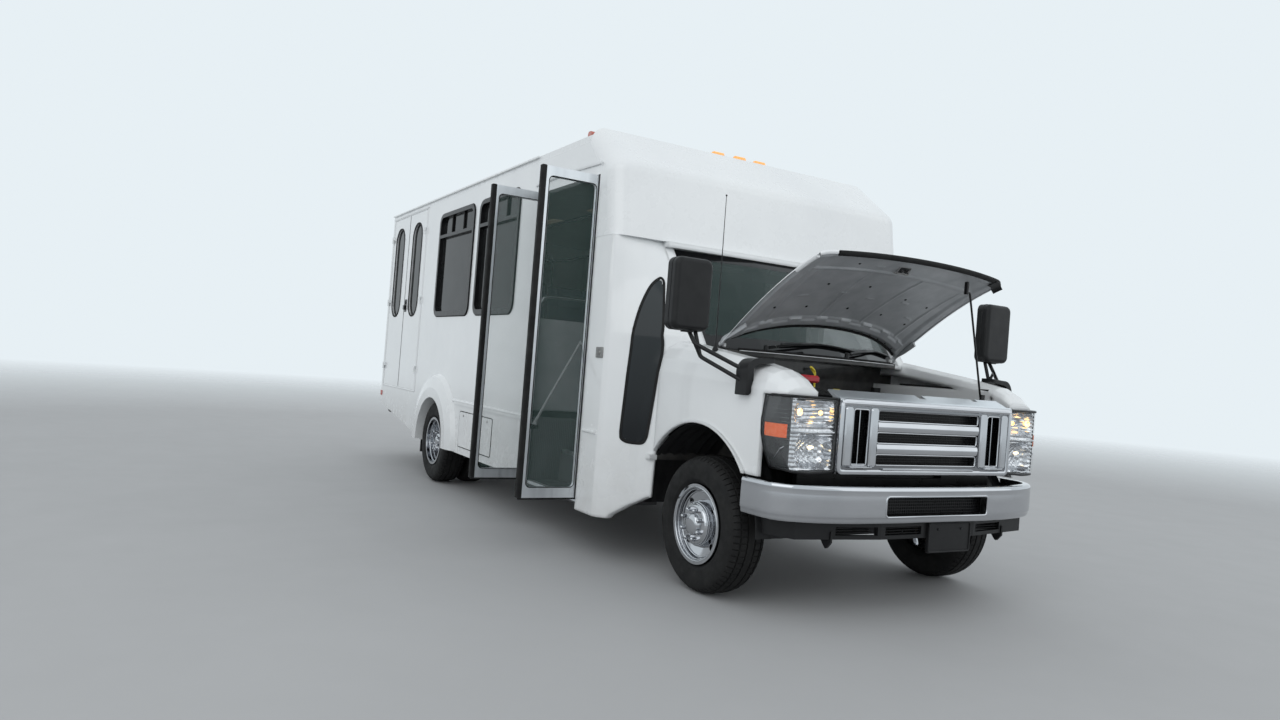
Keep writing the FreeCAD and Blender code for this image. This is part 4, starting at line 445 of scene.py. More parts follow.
def painted_reflection_chrome():
    """Chrome of the grille: dark mirror on its face, a painted dark reflection, and brighter and
    softer on its top shelf, a painted highlight.
    """
    m = Maker("painted_reflection_chrome", Metallic=1.0)
    # Painted highlight: the top shelf is paler and rougher, as if lit by the sky.
    top = m.spread(m.axis("Z"), 1.112, 1.128, 0.0, 1.0)
    # Painted dark reflection: the chrome of the face is darkened.
    tone = m.mix(m.noise(3, 4), (0.20, 0.205, 0.215), (0.27, 0.275, 0.285))
    m.set("Base_Color", m.mix(top, tone, (0.80, 0.83, 0.86)))
    m.set("Roughness", m.noise(9, 4, 0.03, 0.07) + top * 0.33)
    m.bump(m.noise(40, 2), 0.00003, 0.3)
    return m.material


def moulding(low, high, rough, grain=260, depth=0.0002, shine=0.5):
    """Moulded plastic with a leather-like grain and paler scuffs."""
    m = Maker("moulding", Specular_IOR_Level=shine)
    m.set("Base_Color", m.mix(m.noise(7, 6), low, high))
    m.set("Roughness", m.noise(20, 4, rough * 0.85, rough * 1.15))
    m.bump(m.cells(grain), depth, 0.6)
    return m.material


def pane(colour, alpha, rough=0.03, film=0.03, shine=0.35):
    """Glass as a thin tinted film: see-through, glossy, with faint dust."""
    m = Maker("pane", Specular_IOR_Level=shine, IOR=1.5)
    dust = m.noise(5, 6, 0.0, film)
    m.set("Base_Color", m.mix(dust, colour, (0.5, 0.5, 0.48)))
    m.set("Alpha", dust + alpha)
    m.set("Roughness", m.noise(8, 4, rough * 0.6, rough * 2.2))
    return m.material


def quarter_glass():
    """Smoked opaque glass, a little paler towards its top: a painted reflection of the sky."""
    m = Maker("quarter_glass", Specular_IOR_Level=0.25)
    # Painted reflection: the glass grows paler with height.
    height = m.spread(m.axis("Z"), 0.8, 1.7, 0.0, 1.0)
    m.set("Base_Color", m.mix(height, (0.010, 0.012, 0.014), (0.030, 0.037, 0.040)))
    m.set("Roughness", m.noise(8, 4, 0.10, 0.16))
    return m.material


def screen():
    """Windshield: green film with a black printed band along its top, foot and sides."""
    m = Maker("screen", Specular_IOR_Level=0.45, IOR=1.5)
    height = m.axis("Z")
    side = m.axis("Y").absolute()
    dots = (m.axis("Y") * 700).sine() * (height * 700).sine() * 0.006
    band = m.either(height + dots > 1.915, height + dots < 1.425, side + dots > 0.745)
    dust = m.noise(5, 6, 0.0, 0.05)
    m.set("Base_Color", m.mix(band, m.mix(dust, (0.012, 0.034, 0.030), (0.3, 0.32, 0.3)),
                              (0.008, 0.008, 0.009)))
    m.set("Alpha", dust + band + 0.58)
    m.set("Roughness", m.noise(8, 4, 0.02, 0.06))
    return m.material


def lens(colour, alpha, glow=0.0, ribs=180, pattern="Z", depth=0.0005):
    """Coloured lens with moulded ribs, lit where glow is above nothing."""
    m = Maker("lens", Coat_Weight=0.1, Coat_Roughness=0.03, Specular_IOR_Level=0.4)
    if glow:
        m.shader.inputs["Emission Strength"].default_value = glow
        m.set("Emission_Color", m.mix(m.noise(60, 2), colour, (1.0, 0.78, 0.45)))
    wave = (m.axis(pattern) * (ribs * 2 * math.pi)).sine()
    m.set("Base_Color", m.mix(wave * 0.25 + 0.5, [c * 0.75 for c in colour], colour))
    m.set("Roughness", m.noise(30, 2, 0.05, 0.15))
    m.set("Alpha", m.noise(40, 2, alpha * 0.94, min(1.0, alpha * 1.04)))
    m.bump(wave, depth, 0.6)
    return m.material


def roof_lens():
    """Roof and tail lamps by place: lit amber at the front's middle, red elsewhere."""
    m = Maker("roof_lens", Coat_Weight=1.0, Coat_Roughness=0.04)
    m.shader.inputs["Emission Strength"].default_value = 0.55
    front = m.axis("X") > -3.0
    amber = front * (m.axis("Y").absolute() < 0.6)
    wave = (m.axis("Z") * 900).sine()
    tone = m.mix(amber, m.mix(front, (0.34, 0.006, 0.005), (0.42, 0.05, 0.02)),
                 (0.95, 0.36, 0.03))
    m.set("Base_Color", m.mix(wave * 0.05 + 0.06, tone, (0.9, 0.4, 0.2)))
    m.set("Emission_Color", m.mix(amber * m.noise(50, 2, 0.3, 1.0), (0.0, 0.0, 0.0),
                                  (1.0, 0.50, 0.10)))
    m.set("Roughness", m.noise(30, 2, 0.06, 0.2))
    m.bump(wave, 0.0006, 0.5)
    return m.material


def cab_paint(low, high):
    """The cab's white, turned by place to the dark coating of its bay, liners and arches."""
    m = Maker("cab_paint", Coat_Weight=0.6, Coat_Roughness=0.05, IOR=1.45)
    x = m.axis("X")
    side = m.axis("Y").absolute()
    height = m.axis("Z")
    bay = (side < 0.7345) * (x > -0.53) * (height < 1.36)
    along = x - ARCH_X
    rise = height - ARCH_Z
    arch = (side < 0.972) * (along * along + rise * rise < 0.331)
    cabin = (x < -0.468) * (side < 0.9) * (height < 1.33)
    dark = m.either(bay, arch, cabin)
    tone, film = dusted(m, low, high, 0.35)
    coat = m.mix(m.noise(14, 6), (0.016, 0.016, 0.017), (0.060, 0.057, 0.052))
    m.set("Base_Color", m.mix(dark, tone, coat))
    m.set("Roughness", m.noise(9, 4, 0.18, 0.28) + film * 0.4 + dark * 0.4)
    softened = m.node("ShaderNodeBevel", {"samples": 4}, {"Radius": 0.03})
    m.bump(m.noise(38, 2), 0.0004, 0.25, normal=softened)
    return m.material


def rubber():
    """Tyre and seal rubber, dusty grey on the worn places."""
    m = Maker("rubber", Specular_IOR_Level=0.25)
    worn = m.noise(11, 6)
    m.set("Base_Color", m.mix(worn, (0.007, 0.007, 0.0075), (0.018, 0.0178, 0.0172)))
    m.set("Roughness", m.noise(25, 4, 0.55, 0.85))
    m.bump(m.noise(220, 3), 0.0004, 0.5)
    return m.material


def cast():
    """Oily cast iron with brown film."""
    m = Maker("cast", Metallic=0.6)
    m.set("Base_Color", m.mix(m.noise(13, 7), (0.035, 0.032, 0.030), (0.12, 0.085, 0.06)))
    m.set("Roughness", m.noise(30, 5, 0.5, 0.85))
    m.bump(m.noise(90, 5), 0.0012, 0.6)
    return m.material


def ribbed_vinyl():
    """Dark floor vinyl with ribs along the bus and scattered flecks."""
    m = Maker("vinyl")
    flecks = m.cells(300) < 0.18
    base = m.mix(m.noise(4, 5), (0.055, 0.056, 0.06), (0.085, 0.086, 0.09))
    m.set("Base_Color", m.mix(flecks * 0.5, base, (0.22, 0.22, 0.23)))
    m.set("Roughness", m.noise(15, 4, 0.4, 0.6))
    m.bump((m.axis("Y") * 420).sine(), 0.001, 0.5)
    return m.material


def weave():
    """Seat cloth: crossed threads with a small scattered fleck."""
    m = Maker("weave", Sheen_Weight=0.3)
    threads = (m.axis("Y") * 2600).sine() * ((m.axis("X") + m.axis("Z")) * 2600).sine()
    fleck = m.cells(70) < 0.3
    tone = m.mix(m.noise(5, 4), (0.030, 0.038, 0.060), (0.050, 0.058, 0.085))
    m.set("Base_Color", m.mix(fleck * 0.6, tone, (0.12, 0.14, 0.20)))
    m.set("Roughness", m.noise(30, 3, 0.75, 0.95))
    m.bump(threads, 0.0006, 0.5)
    return m.material


def primer():
    """Grey undercoat of the hood's inner panel with dust in its hollows."""
    m = Maker("primer", Coat_Weight=0.35, Coat_Roughness=0.12)
    m.set("Base_Color", m.mix(m.noise(9, 6), (0.33, 0.345, 0.36), (0.46, 0.475, 0.49)))
    m.set("Roughness", m.noise(20, 4, 0.3, 0.5))
    m.bump(m.noise(120, 3), 0.0004, 0.4)
    return m.material


def make_finishes():
    """Every finish by the name that the tables below use."""
    white = (0.78, 0.80, 0.81), (0.84, 0.86, 0.865)
    return {
        "white_paint": paint(*white, 0.22, dusty=0.30),
        "cab_paint": cab_paint(*white),
        "gelcoat": paint(*white, 0.28, dusty=0.25),
        "chrome": metal((0.50, 0.51, 0.53), (0.58, 0.59, 0.61), 0.045, 3, grain=0.00003),
        "painted_reflection_grille_chrome": painted_reflection_chrome(),
        "reflector": metal((0.42, 0.43, 0.45), (0.86, 0.87, 0.89), 0.06, 60),
        "mirror": metal((0.70, 0.72, 0.74), (0.78, 0.80, 0.82), 0.02, grain=0.00002),
        "aluminium": metal((0.62, 0.64, 0.66), (0.74, 0.76, 0.78), 0.36, 20, (1, 1, 0.05)),
        "steel": metal((0.24, 0.235, 0.23), (0.42, 0.41, 0.40), 0.4, 30),
        "cast": cast(),
        "rubber": rubber(),
        "plastic": moulding((0.006, 0.006, 0.007), (0.014, 0.0145, 0.015), 0.42, shine=0.28),
        "satin_black": moulding((0.004, 0.004, 0.0045), (0.010, 0.010, 0.011), 0.3, 500, 0.0001,
                                0.3),
        "chassis": moulding((0.020, 0.019, 0.018), (0.060, 0.054, 0.048), 0.65, 90, 0.0006),
        "grey_plastic": moulding((0.16, 0.165, 0.17), (0.22, 0.225, 0.23), 0.5),
        "grey_panel": moulding((0.22, 0.235, 0.245), (0.29, 0.30, 0.31), 0.45, 300, 0.0001),
        "lamp_grey": moulding((0.014, 0.015, 0.016), (0.028, 0.029, 0.031), 0.15, 300, 0.0001),
        "piping": moulding((0.020, 0.022, 0.030), (0.036, 0.038, 0.046), 0.5, 900, 0.0001),
        "dark_glass": pane((0.004, 0.005, 0.0055), 0.95, shine=0.22),
        "clear_glass": pane((0.14, 0.21, 0.195), 0.12, shine=0.3),
        "screen": screen(),
        "vinyl": ribbed_vinyl(),
        "quarter_glass": quarter_glass(),
        "weave": weave(),
        "primer": primer(),
        "hem_paint": paint((0.76, 0.78, 0.79), (0.82, 0.84, 0.85), 0.22),
        "clear_lens": lens((0.70, 0.74, 0.76), 0.045, ribs=45, pattern="Y", depth=0.0001),
        "roof_lens": roof_lens(),
        # amber: the side reflectors' faint glow is painted light, as they are no lamps.
        "amber": lens((0.80, 0.09, 0.002), 1.0, 0.12),
        "amber_lit": lens((0.95, 0.45, 0.05), 1.0, 3.0),
        "lamp_lit": lens((1.0, 0.86, 0.62), 1.0, 2.2),
        "cabin_lamp": lens((0.55, 0.55, 0.52), 1.0, 0.05, ribs=60, pattern="X"),
        # red: its faint glow is painted light on the corner reflector; the rear markers are lamps.
        "red": lens((0.50, 0.012, 0.010), 0.97, 0.06),
        "red_paint": moulding((0.30, 0.01, 0.016), (0.42, 0.02, 0.03), 0.35, 400, 0.0001),
        "yellow": moulding((0.60, 0.48, 0.04), (0.75, 0.62, 0.06), 0.4, 400, 0.0001),
    }


NODE_FINISHES = {
    "white_paint": ("side_wall_left", "side_wall_right", "rear_wall", "skirts", "driver_door",
                    "lift_leaf_front", "lift_leaf_rear"),
    "cab_paint": ("cab_shell",),
    "gelcoat": ("roof_shell", "front_cap"),
    "chassis": ("chassis_frame", "rear_bumper"),
    "cast": ("front_axle", "rear_axle", "knuckle_left", "knuckle_right", "engine"),
    "chrome": ("rim_front_left", "rim_front_right", "rims_rear_left", "rims_rear_right"),
    # The grille's chrome carries painted reflections: dark on its face, a highlight on its top
    # shelf.
    "painted_reflection_grille_chrome": ("grille",),
    "vinyl": ("coach_floor",),
    "satin_black": ("window_frames", "mirror_arms", "radiator_support", "hood_prop"),
    "dark_glass": ("window_glass", "lift_glass_front", "lift_glass_rear"),
    "clear_glass": ("entry_glass_front", "entry_glass_rear", "driver_glass"),
    "screen": ("windshield",),
    "aluminium": ("entry_leaf_front", "entry_leaf_rear"),
    "plastic": ("dashboard", "front_valance", "mirror_heads", "engine_bay_fittings"),
    "steel": ("tank_and_exhaust",),
    "roof_lens": ("lamps",),
    "grey_panel": ("cabin_fittings",),
}
FINISHES = {}


# User's values

class BusSizes(bpy.types.PropertyGroup):
    """Sizes that a user would change."""

    tread_depth: bpy.props.FloatProperty(
        name="Tread depth", description="Depth of the tyre grooves", default=0.009, unit="LENGTH")
    nut_reach: bpy.props.FloatProperty(
        name="Wheel nut length", description="How far a nut stands out", default=0.042,
        unit="LENGTH")


class StageSizes(bpy.types.PropertyGroup):
    """Colours of the stage."""

    floor_colour: bpy.props.FloatVectorProperty(
        name="Floor", description="Colour of the floor", default=(0.42, 0.425, 0.43),
        subtype="COLOR")
    sky_colour: bpy.props.FloatVectorProperty(
        name="Sky", description="Colour behind the bus", default=(0.80, 0.87, 0.91),
        subtype="COLOR")
    light: bpy.props.FloatProperty(
        name="Light", description="Strength of the sky's light", default=0.80)


# Wheels

def tread_angles(pitches):
    """Angles of the tread's rows: five to each repeat, so that a cut has sharp sides."""
    parts = np.array((0.0, 0.03, 0.16, 0.19, 0.6))
    return (np.arange(pitches)[:, None] + parts).ravel() * 2 * math.pi / pitches


def tyre_part(x, y, depth, pitches=64):
    """Superellipse section turned about the axle, less grooves round it and cuts across it."""
    bead_radius = 0.205
    roundness = 3.2
    half = TYRE_HALF * 0.995
    middle = (TYRE_RADIUS + bead_radius) / 2
    height = (TYRE_RADIUS - bead_radius) / 2 * 0.998
    grooves = np.array((-0.066, -0.024, 0.024, 0.066))
    edges = (grooves[:, None] + np.array((-0.0055, -0.0035, 0.0035, 0.0055))).ravel()
    deep = np.tile((0.0, 1.0, 1.0, 0.0), len(grooves))
    ribs = np.array((-0.092, -0.084, -0.045, 0.0, 0.045, 0.084, 0.092))
    flat = np.concatenate([edges, ribs])
    order = np.argsort(flat)
    flat = flat[order]
    deep = np.concatenate([deep, np.zeros(len(ribs))])[order]
    crown = (1 - np.abs(flat / half) ** roundness) ** (1 / roundness)
    t = np.radians(np.concatenate([np.linspace(58, 88, 6), np.linspace(96, 152, 13)]))
    wall_side = np.sin(t) ** (2 / roundness) * half
    wall_rise = np.sign(np.cos(t)) * np.abs(np.cos(t)) ** (2 / roundness)
    ring_rises = np.array((0.35, -0.1, -0.55))[:, None]
    ring = 0.0016 * (np.abs(wall_rise[None] - ring_rises).min(0) < 0.05)
    side = np.concatenate([-(wall_side + ring)[::-1], flat, wall_side + ring])
    rise = np.concatenate([wall_rise[::-1], crown, wall_rise])
    profile = np.stack([np.clip(side, -TYRE_HALF, TYRE_HALF), middle + height * rise], -1)
    quiet = np.zeros(len(t))
    depths = np.concatenate([quiet, deep, quiet])
    cut_band = np.concatenate([quiet, (np.abs(flat) > 0.068).astype(float) * 0.8
                               + (np.abs(np.abs(flat) - 0.045) < 0.018) * 0.45, quiet])

    def wave(turn, _):
        part = (turn * pitches / (2 * math.pi)) % 1.0
        zigzag = 0.0028 * np.where(part < 0.5, part * 4 - 1, 3 - part * 4)
        across = ((part > 0.02) & (part < 0.18)) * cut_band[None]
        return zigzag * (depths[None] > 0), -depth * np.maximum(depths[None], across)

    return turned(profile, tread_angles(pitches), (x, y, TYRE_RADIUS), wave=wave)


def nut_part(centre, out, radius, reach):
    """Six-sided skirt and domed cap turned about the stud."""
    rows = [(0.0, radius * 1.25), (0.003, radius * 1.25), (0.0045, radius * 1.04),
            (reach * 0.62, radius), (reach * 0.85, radius * 0.8), (reach * 0.97, radius * 0.4),
            (reach, 0.0005)]
    rows = [(a * out, r) for a, r in rows] + [(0.0, 0.0005)]

    def facets(turn, profile):
        six = np.cos(math.pi / 6) / np.cos((turn % (math.pi / 3)) - math.pi / 6) - 1
        share = (np.abs(profile[..., 0]) > 0.004) & (np.abs(profile[..., 0]) < reach * 0.7)
        return 0 * profile[..., 0], profile[..., 1] * six * share

    return turned(rows, 18, centre, wave=facets)


class MINIBUS_OT_tyres(bpy.types.Operator):
    """Six treaded tyres in place of the plain ones"""

    bl_idname = "minibus.tyres"
    bl_label = "Tyres"

    def execute(self, context):
        depth = context.scene.bus_sizes.tread_depth
        for side, _ in SIDES:
            for end, node in (("front", "tyre_front_"), ("rear", "tyres_rear_")):
                start = "%s_%s" % (end, side)
                parts = [tyre_part(x, y, depth) for name, _, x, y, _, _ in WHEELS
                         if name.startswith(start)]
                piece("tread_" + start, parts, start + "_wheel", "rubber",
                      replaces=(node + side,))
        return {"FINISHED"}


NUT_CIRCLE = 0.0826
NUT_RADIUS = 0.0125
# Hub covers as (along, radius), rings as (along, radius, thickness), and where the nuts stand
FRONT_COVER = ((0.090, 0.116), (0.099, 0.117), (0.105, 0.114), (0.107, 0.109), (0.113, 0.106),
               (0.1155, 0.102), (0.1165, 0.096), (0.1165, 0.062), (0.130, 0.0585),
               (0.138, 0.052), (0.142, 0.040), (0.1435, 0.020), (0.1435, 0.0005),
               (0.090, 0.0005))
FRONT_RINGS = ((0.101, 0.200, 0.006), (0.088, 0.190, 0.004), (0.071, 0.178, 0.005))
REAR_COVER = ((0.050, 0.088), (0.0615, 0.0885), (0.064, 0.085), (0.065, 0.045),
              (0.074, 0.041), (0.079, 0.030), (0.080, 0.0005), (0.050, 0.0005))
REAR_RINGS = ((0.070, 0.190, 0.005), (0.040, 0.186, 0.004))


class MINIBUS_OT_wheel_nuts(bpy.types.Operator):
    """Chrome rings, hub covers and eight nuts on each outer wheel"""

    bl_idname = "minibus.wheel_nuts"
    bl_label = "Wheel nuts"

    def execute(self, context):
        reach = context.scene.bus_sizes.nut_reach
        for name, body, x, y, out, is_front in WHEELS:
            if name.endswith("inner"):
                continue
            cover, rings, nut_foot = ((FRONT_COVER, FRONT_RINGS, 0.110) if is_front
                                      else (REAR_COVER, REAR_RINGS, 0.055))
            centre = (x, y, TYRE_RADIUS)
            trim = [turned([(a * out, r) for a, r in cover], 48, centre)]
            for along, radius, thick in rings:
                section = [((along + thick * a) * out, radius + thick * b)
                           for a, b in circle(1.0, 12)]
                trim.append(turned(section, 64, centre))
            piece("wheel_trim_" + name, trim, body, "chrome")
            parts = []
            for k in range(8):
                turn = (k + 0.5) * math.pi / 4
                centre = (x + NUT_CIRCLE * math.cos(turn), y + out * nut_foot,
                          TYRE_RADIUS + NUT_CIRCLE * math.sin(turn))
                parts.append(nut_part(centre, out, NUT_RADIUS, reach))
            piece("nuts_" + name, parts, body, "chrome")
        return {"FINISHED"}


class MINIBUS_OT_node_finishes(bpy.types.Operator):
    """Finishes on the nodes that stay as they are"""

    bl_idname = "minibus.node_finishes"
    bl_label = "Node finishes"

    def execute(self, context):
        for finish, names in NODE_FINISHES.items():
            for name in names:
                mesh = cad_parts[name].data
                mesh.materials.clear()
                mesh.materials.append(FINISHES[finish])
        return {"FINISHED"}


# Hood

HOOD_ROWS = np.array((
    # x, height at the edge, crown at the middle
    (-0.32, 1.393, 0.050), (0.30, 1.300, 0.035), (0.50, 1.243, 0.026), (0.65, 1.183, 0.016),
    (0.726, 1.150, 0.010)))
HOOD_EDGE = np.polyfit(HOOD_ROWS[:, 0], HOOD_ROWS[:, 1], 3)
HOOD_CROWN = np.polyfit(HOOD_ROWS[:, 0], HOOD_ROWS[:, 2], 2)
HOOD_HALF = 0.712
HOOD_HINGE = (-0.28, 0.0, 1.375)
HOOD_SWING = math.radians(-43)
PROP_EYE = (0.500, 0.439, 1.778)
# Places on the inner panel as (share from rear to front, share from the middle to the sides)
HOOD_SLOTS = ((0.42, -0.62), (0.46, -0.26), (0.42, 0.06), (0.46, 0.44), (0.33, 0.66),
              (0.84, -0.30))
HOOD_HOLES = ((0.30, -0.78), (0.57, -0.52), (0.27, -0.47), (0.57, -0.10), (0.27, -0.04),
              (0.50, 0.40), (0.27, 0.36), (0.27, 0.70), (0.50, 0.70), (0.86, -0.52), (0.86, -0.08))


def hood_plan(u, y):
    """x of the shut hood: from a rear edge to a front edge, each an even quartic in y."""
    rear = -0.080 - 0.2207 * y ** 2 - 0.302 * y ** 4
    front = 0.716 - 0.114 * y ** 2 - 0.031 * y ** 4
    front = front - 0.030 * soft_step(np.abs(y), 0.62, 0.72) ** 2
    return rear + (front - rear) * u


def hood_height(x, y):
    """Height of the shut hood: a cubic edge line in x with a parabola's crown across y."""
    crown = np.polyval(HOOD_CROWN, x) * (1 - (y / 0.73) ** 2)
    roll = 0.016 * soft_step(np.abs(y), HOOD_HALF - 0.026, HOOD_HALF) ** 2
    return np.polyval(HOOD_EDGE, x) + crown - roll


def hood_sheet(u, v, gap, thick):
    """Grid on the hood's surface, lowered by the gap at each point, as a closed sheet."""
    y = v * HOOD_HALF
    x = hood_plan(u, y)
    top = np.stack([x, y, hood_height(x, y) - gap], -1)
    return slab(top, top - np.array((0, 0, thick)))


def stamped_gap(u, v):
    """Depth of the inner panel under the skin: frame, front band, rear bead, ribs and beads."""
    y = v * HOOD_HALF
    x = hood_plan(u, y)
    to_front = hood_plan(1.0, y) - x
    to_rear = x - hood_plan(0.0, y)
    to_side = HOOD_HALF - np.abs(y)
    near = np.minimum(np.minimum(to_front, to_rear * 1.2), to_side)
    gap = 0.005 + 0.021 * soft_step(near, 0.012, 0.034)
    gap -= 0.006 * soft_step(to_side, 0.075, 0.095)
    inside = soft_step(to_front, 0.050, 0.062) * soft_step(to_side, 0.085, 0.105)
    band = inside * (1 - soft_step(to_front, 0.165, 0.180))
    gap -= 0.008 * band
    panel = soft_step(to_front, 0.190, 0.204) * soft_step(to_side, 0.085, 0.105)
    panel = panel * soft_step(to_rear, 0.105, 0.120)
    gap -= 0.006 * panel
    for rib in (-0.55, -0.19, 0.19, 0.55):
        line = np.abs(y - rib - 0.06 * (u - 0.5) * np.sign(rib))
        gap += 0.005 * panel * (1 - soft_step(line, 0.004, 0.011))
    teeth = 0.5 + 0.5 * np.sign(np.sin(y * 2 * math.pi / 0.19) - 0.25)
    bead_end = 0.022 * teeth
    bead = soft_step(to_rear, 0.034, 0.046) * (1 - soft_step(to_rear, 0.082 + bead_end,
                                                             0.094 + bead_end))
    gap += 0.010 * bead * soft_step(to_side, 0.060, 0.085)
    for at_u, at_v in HOOD_SLOTS:
        across = np.abs(v - at_v) * HOOD_HALF
        along = np.abs(u - at_u) * 0.78
        gap += 0.004 * (1 - soft_step(across, 0.026, 0.032)) * (1 - soft_step(along, 0.003, 0.008))
    return gap


def on_hood(u, v, gap):
    """Point under the shut hood's skin."""
    y = v * HOOD_HALF
    x = hood_plan(u, y)
    return np.array((x, y, hood_height(x, y) - gap))


def opened(parts):
    """Parts of the shut hood, swung up about its hinge."""
    return [turned_y(part, HOOD_SWING, HOOD_HINGE) for part in parts]


def painted_hole_shade(centre, radius, depth, steps):
    """A shallow dark disc with its rim: painted shade standing in for a hole's dark inside."""
    profile = [(0, 0), (0, radius), (-depth, radius), (-depth, 0)]
    return turned(profile, steps, centre, "Z", closed=False)


class MINIBUS_OT_hood(bpy.types.Operator):
    """Hood skin, stamped inner panel, edge strips, hem, latch, hinge arms and prop lug, swung open
    """

    bl_idname = "minibus.hood"
    bl_label = "Hood"

    def execute(self, context):
        u, v = np.meshgrid(np.linspace(0, 1, 90), np.linspace(-1, 1, 150), indexing="ij")
        piece("hood_skin", opened([hood_sheet(u, v, 0 * u, 0.0035)]), "hood_lid", "white_paint",
              replaces=("hood",))
        u, v = np.meshgrid(np.linspace(0.004, 0.996, 120), np.linspace(-0.992, 0.992, 210),
                           indexing="ij")
        piece("hood_inner_panel", opened([hood_sheet(u, v, stamped_gap(u, v), 0.0012)]),
              "hood_lid", "primer", sharp=50)
        rims = []
        # Dark round strips under the hood's front and rear edges.
        for edge, low, high, radius in ((0.988, -0.84, 0.97, 0.0145), (0.006, -0.93, 0.93, 0.008)):
            y = np.linspace(low, high, 60)
            line = np.stack([on_hood(edge, k, 0.016 if edge > 0.5 else 0.012) for k in y])
            flat = circle(radius, 12) * (1.15, 0.85)
            rims.append(sweep(flat, line, (0, 0, 1)))
        piece("hood_edge_strips", opened(rims), "hood_lid", "rubber")
        grid_u, grid_v = np.meshgrid(np.linspace(0.93, 1.0, 12), np.linspace(0.86, 1.0, 12),
                                     indexing="ij")
        cap = hood_sheet(grid_u, grid_v, 0.028 + 0 * grid_u, 0.004)
        side = np.stack([on_hood(k, -0.985, 0.014) for k in np.linspace(0.80, 0.985, 12)])
        front = np.stack([on_hood(0.992, k, 0.012) for k in np.linspace(-0.975, -0.855, 8)])
        hems = [sweep(circle(0.012, 10), side, (0, 0, 1)),
                sweep(circle(0.011, 10), front, (0, 0, 1))]
        piece("hood_hem", opened(hems), "hood_lid", "hem_paint")
        piece("hood_corner_caps", opened([cap]), "hood_lid", "plastic")
        # Dark discs and a dark latch opening: painted shade where the inner panel has holes.
        holes = []
        for at_u, at_v in HOOD_HOLES:
            gap = float(stamped_gap(np.array([[at_u]]), np.array([[at_v]]))[0, 0])
            holes.append(painted_hole_shade(on_hood(at_u, at_v, gap + 0.0017), 0.0085, 0.0012, 16))
        for at_v in np.linspace(-0.82, 0.82, 15):
            holes.append(painted_hole_shade(on_hood(0.034, at_v, 0.0285), 0.006, 0.001, 12))
        centre = on_hood(0.845, -0.07, 0.0195)
        holes.append(block(centre - (0.020, 0.036, 0.003), centre + (0.020, 0.036, 0.0),
                           0.0005, 0.006))
        piece("hood_hole_painted_shade", opened(holes), "hood_lid", "satin_black")
        hook = centre + np.array([
            (0.0, -0.018, 0.004), (0.0, -0.018, -0.026), (0.0, -0.010, -0.036),
            (0.0, 0.010, -0.036), (0.0, 0.018, -0.026), (0.0, 0.018, 0.004)])
        latch = [sweep(circle(0.0042, 10), smooth_path(hook, 5), (1, 0, 0)),
                 hoop(centre - (0, 0, 0.004), (0.050, 0.082), 0.010, "Z", circle(0.003, 8)),
                 block(centre + (-0.030, -0.055, -0.004), centre + (-0.020, 0.055, 0.001))]
        piece("hood_latch", opened(latch), "hood_lid", "steel")
        arms = []
        for sign in (1, -1):
            y = 0.705 * sign
            path = [(-0.28, y, 1.375), (-0.24, y, 1.380), (-0.16, y * 0.99, 1.352),
                    (-0.06, y * 0.97, 1.322)]
            arms.append(sweep(rounded(0.012, 0.030, 0.004, 3), smooth_path(path, 5), (0, 0, 1)))
            arms.append(bar((-0.28, y - 0.012, 1.375), (-0.28, y + 0.012, 1.375), 0.013, 14))
        piece("hood_hinge_arms", opened(arms), "hood_lid", "primer")
        x, y, z = PROP_EYE
        lug = [block((x - 0.012, y - 0.009, z - 0.012), (x + 0.012, y + 0.009, z + 0.062))]
        piece("prop_lug", lug, "hood_lid", "satin_black")
        return {"FINISHED"}


# Headlamps

LAMP_PLAN = ((0.690, 0.6555), (0.688, 0.760), (0.682, 0.863), (0.666, 0.921), (0.634, 0.961),
             (0.580, 0.981), (0.500, 0.983))
LAMP_SIDE = np.array(((0.745, 0.900), (0.770, 0.922), (0.835, 0.955), (0.925, 0.981),
                      (0.995, 0.983), (1.120, 0.969)))
LAMP_FLOOR = np.array(((0.655, 0.757), (0.815, 0.746), (0.905, 0.750), (0.983, 0.752)))
LAMP_TOP = 1.1195


def lamp_grid(s, t, inset):
    """Point of a lamp's face: its plan at s, a height at t, pushed in along the plan's normal.

    The side is held within the outline's edge at that height.
    """
    path = smooth_path([(x, y, 0) for x, y in LAMP_PLAN], 16)[:, :2]
    run = np.concatenate([[0], np.cumsum(np.linalg.norm(np.diff(path, axis=0), axis=1))])
    run /= run[-1]
    x = np.interp(s, run, path[:, 0])
    y = np.interp(s, run, path[:, 1])
    slope = np.gradient(path, axis=0)
    nx = np.interp(s, run, -slope[:, 1])
    ny = np.interp(s, run, slope[:, 0])
    size = np.hypot(nx, ny)
    low = np.interp(y, LAMP_FLOOR[:, 0], LAMP_FLOOR[:, 1])
    z = low + (LAMP_TOP - low) * t
    edge = np.interp(z, LAMP_SIDE[:, 0], LAMP_SIDE[:, 1])
    y = np.minimum(y, edge)
    return np.stack([x + nx / size * inset, y + ny / size * inset, z], -1)


def bowl(y, z, at, reach, depth):
    """Depth of a dish with a squarish plan: a fourth-power oval's height."""
    share = ((y - at[0]) / reach[0]) ** 4 + ((z - at[1]) / reach[1]) ** 4
    return depth * np.sqrt(np.clip(1 - share, 0, 1)), share < 1


LAMP_MAIN = ((0.785, 0.850), (0.108, 0.082), 0.080)
LAMP_TURN = ((0.792, 1.038), (0.118, 0.062), 0.055)


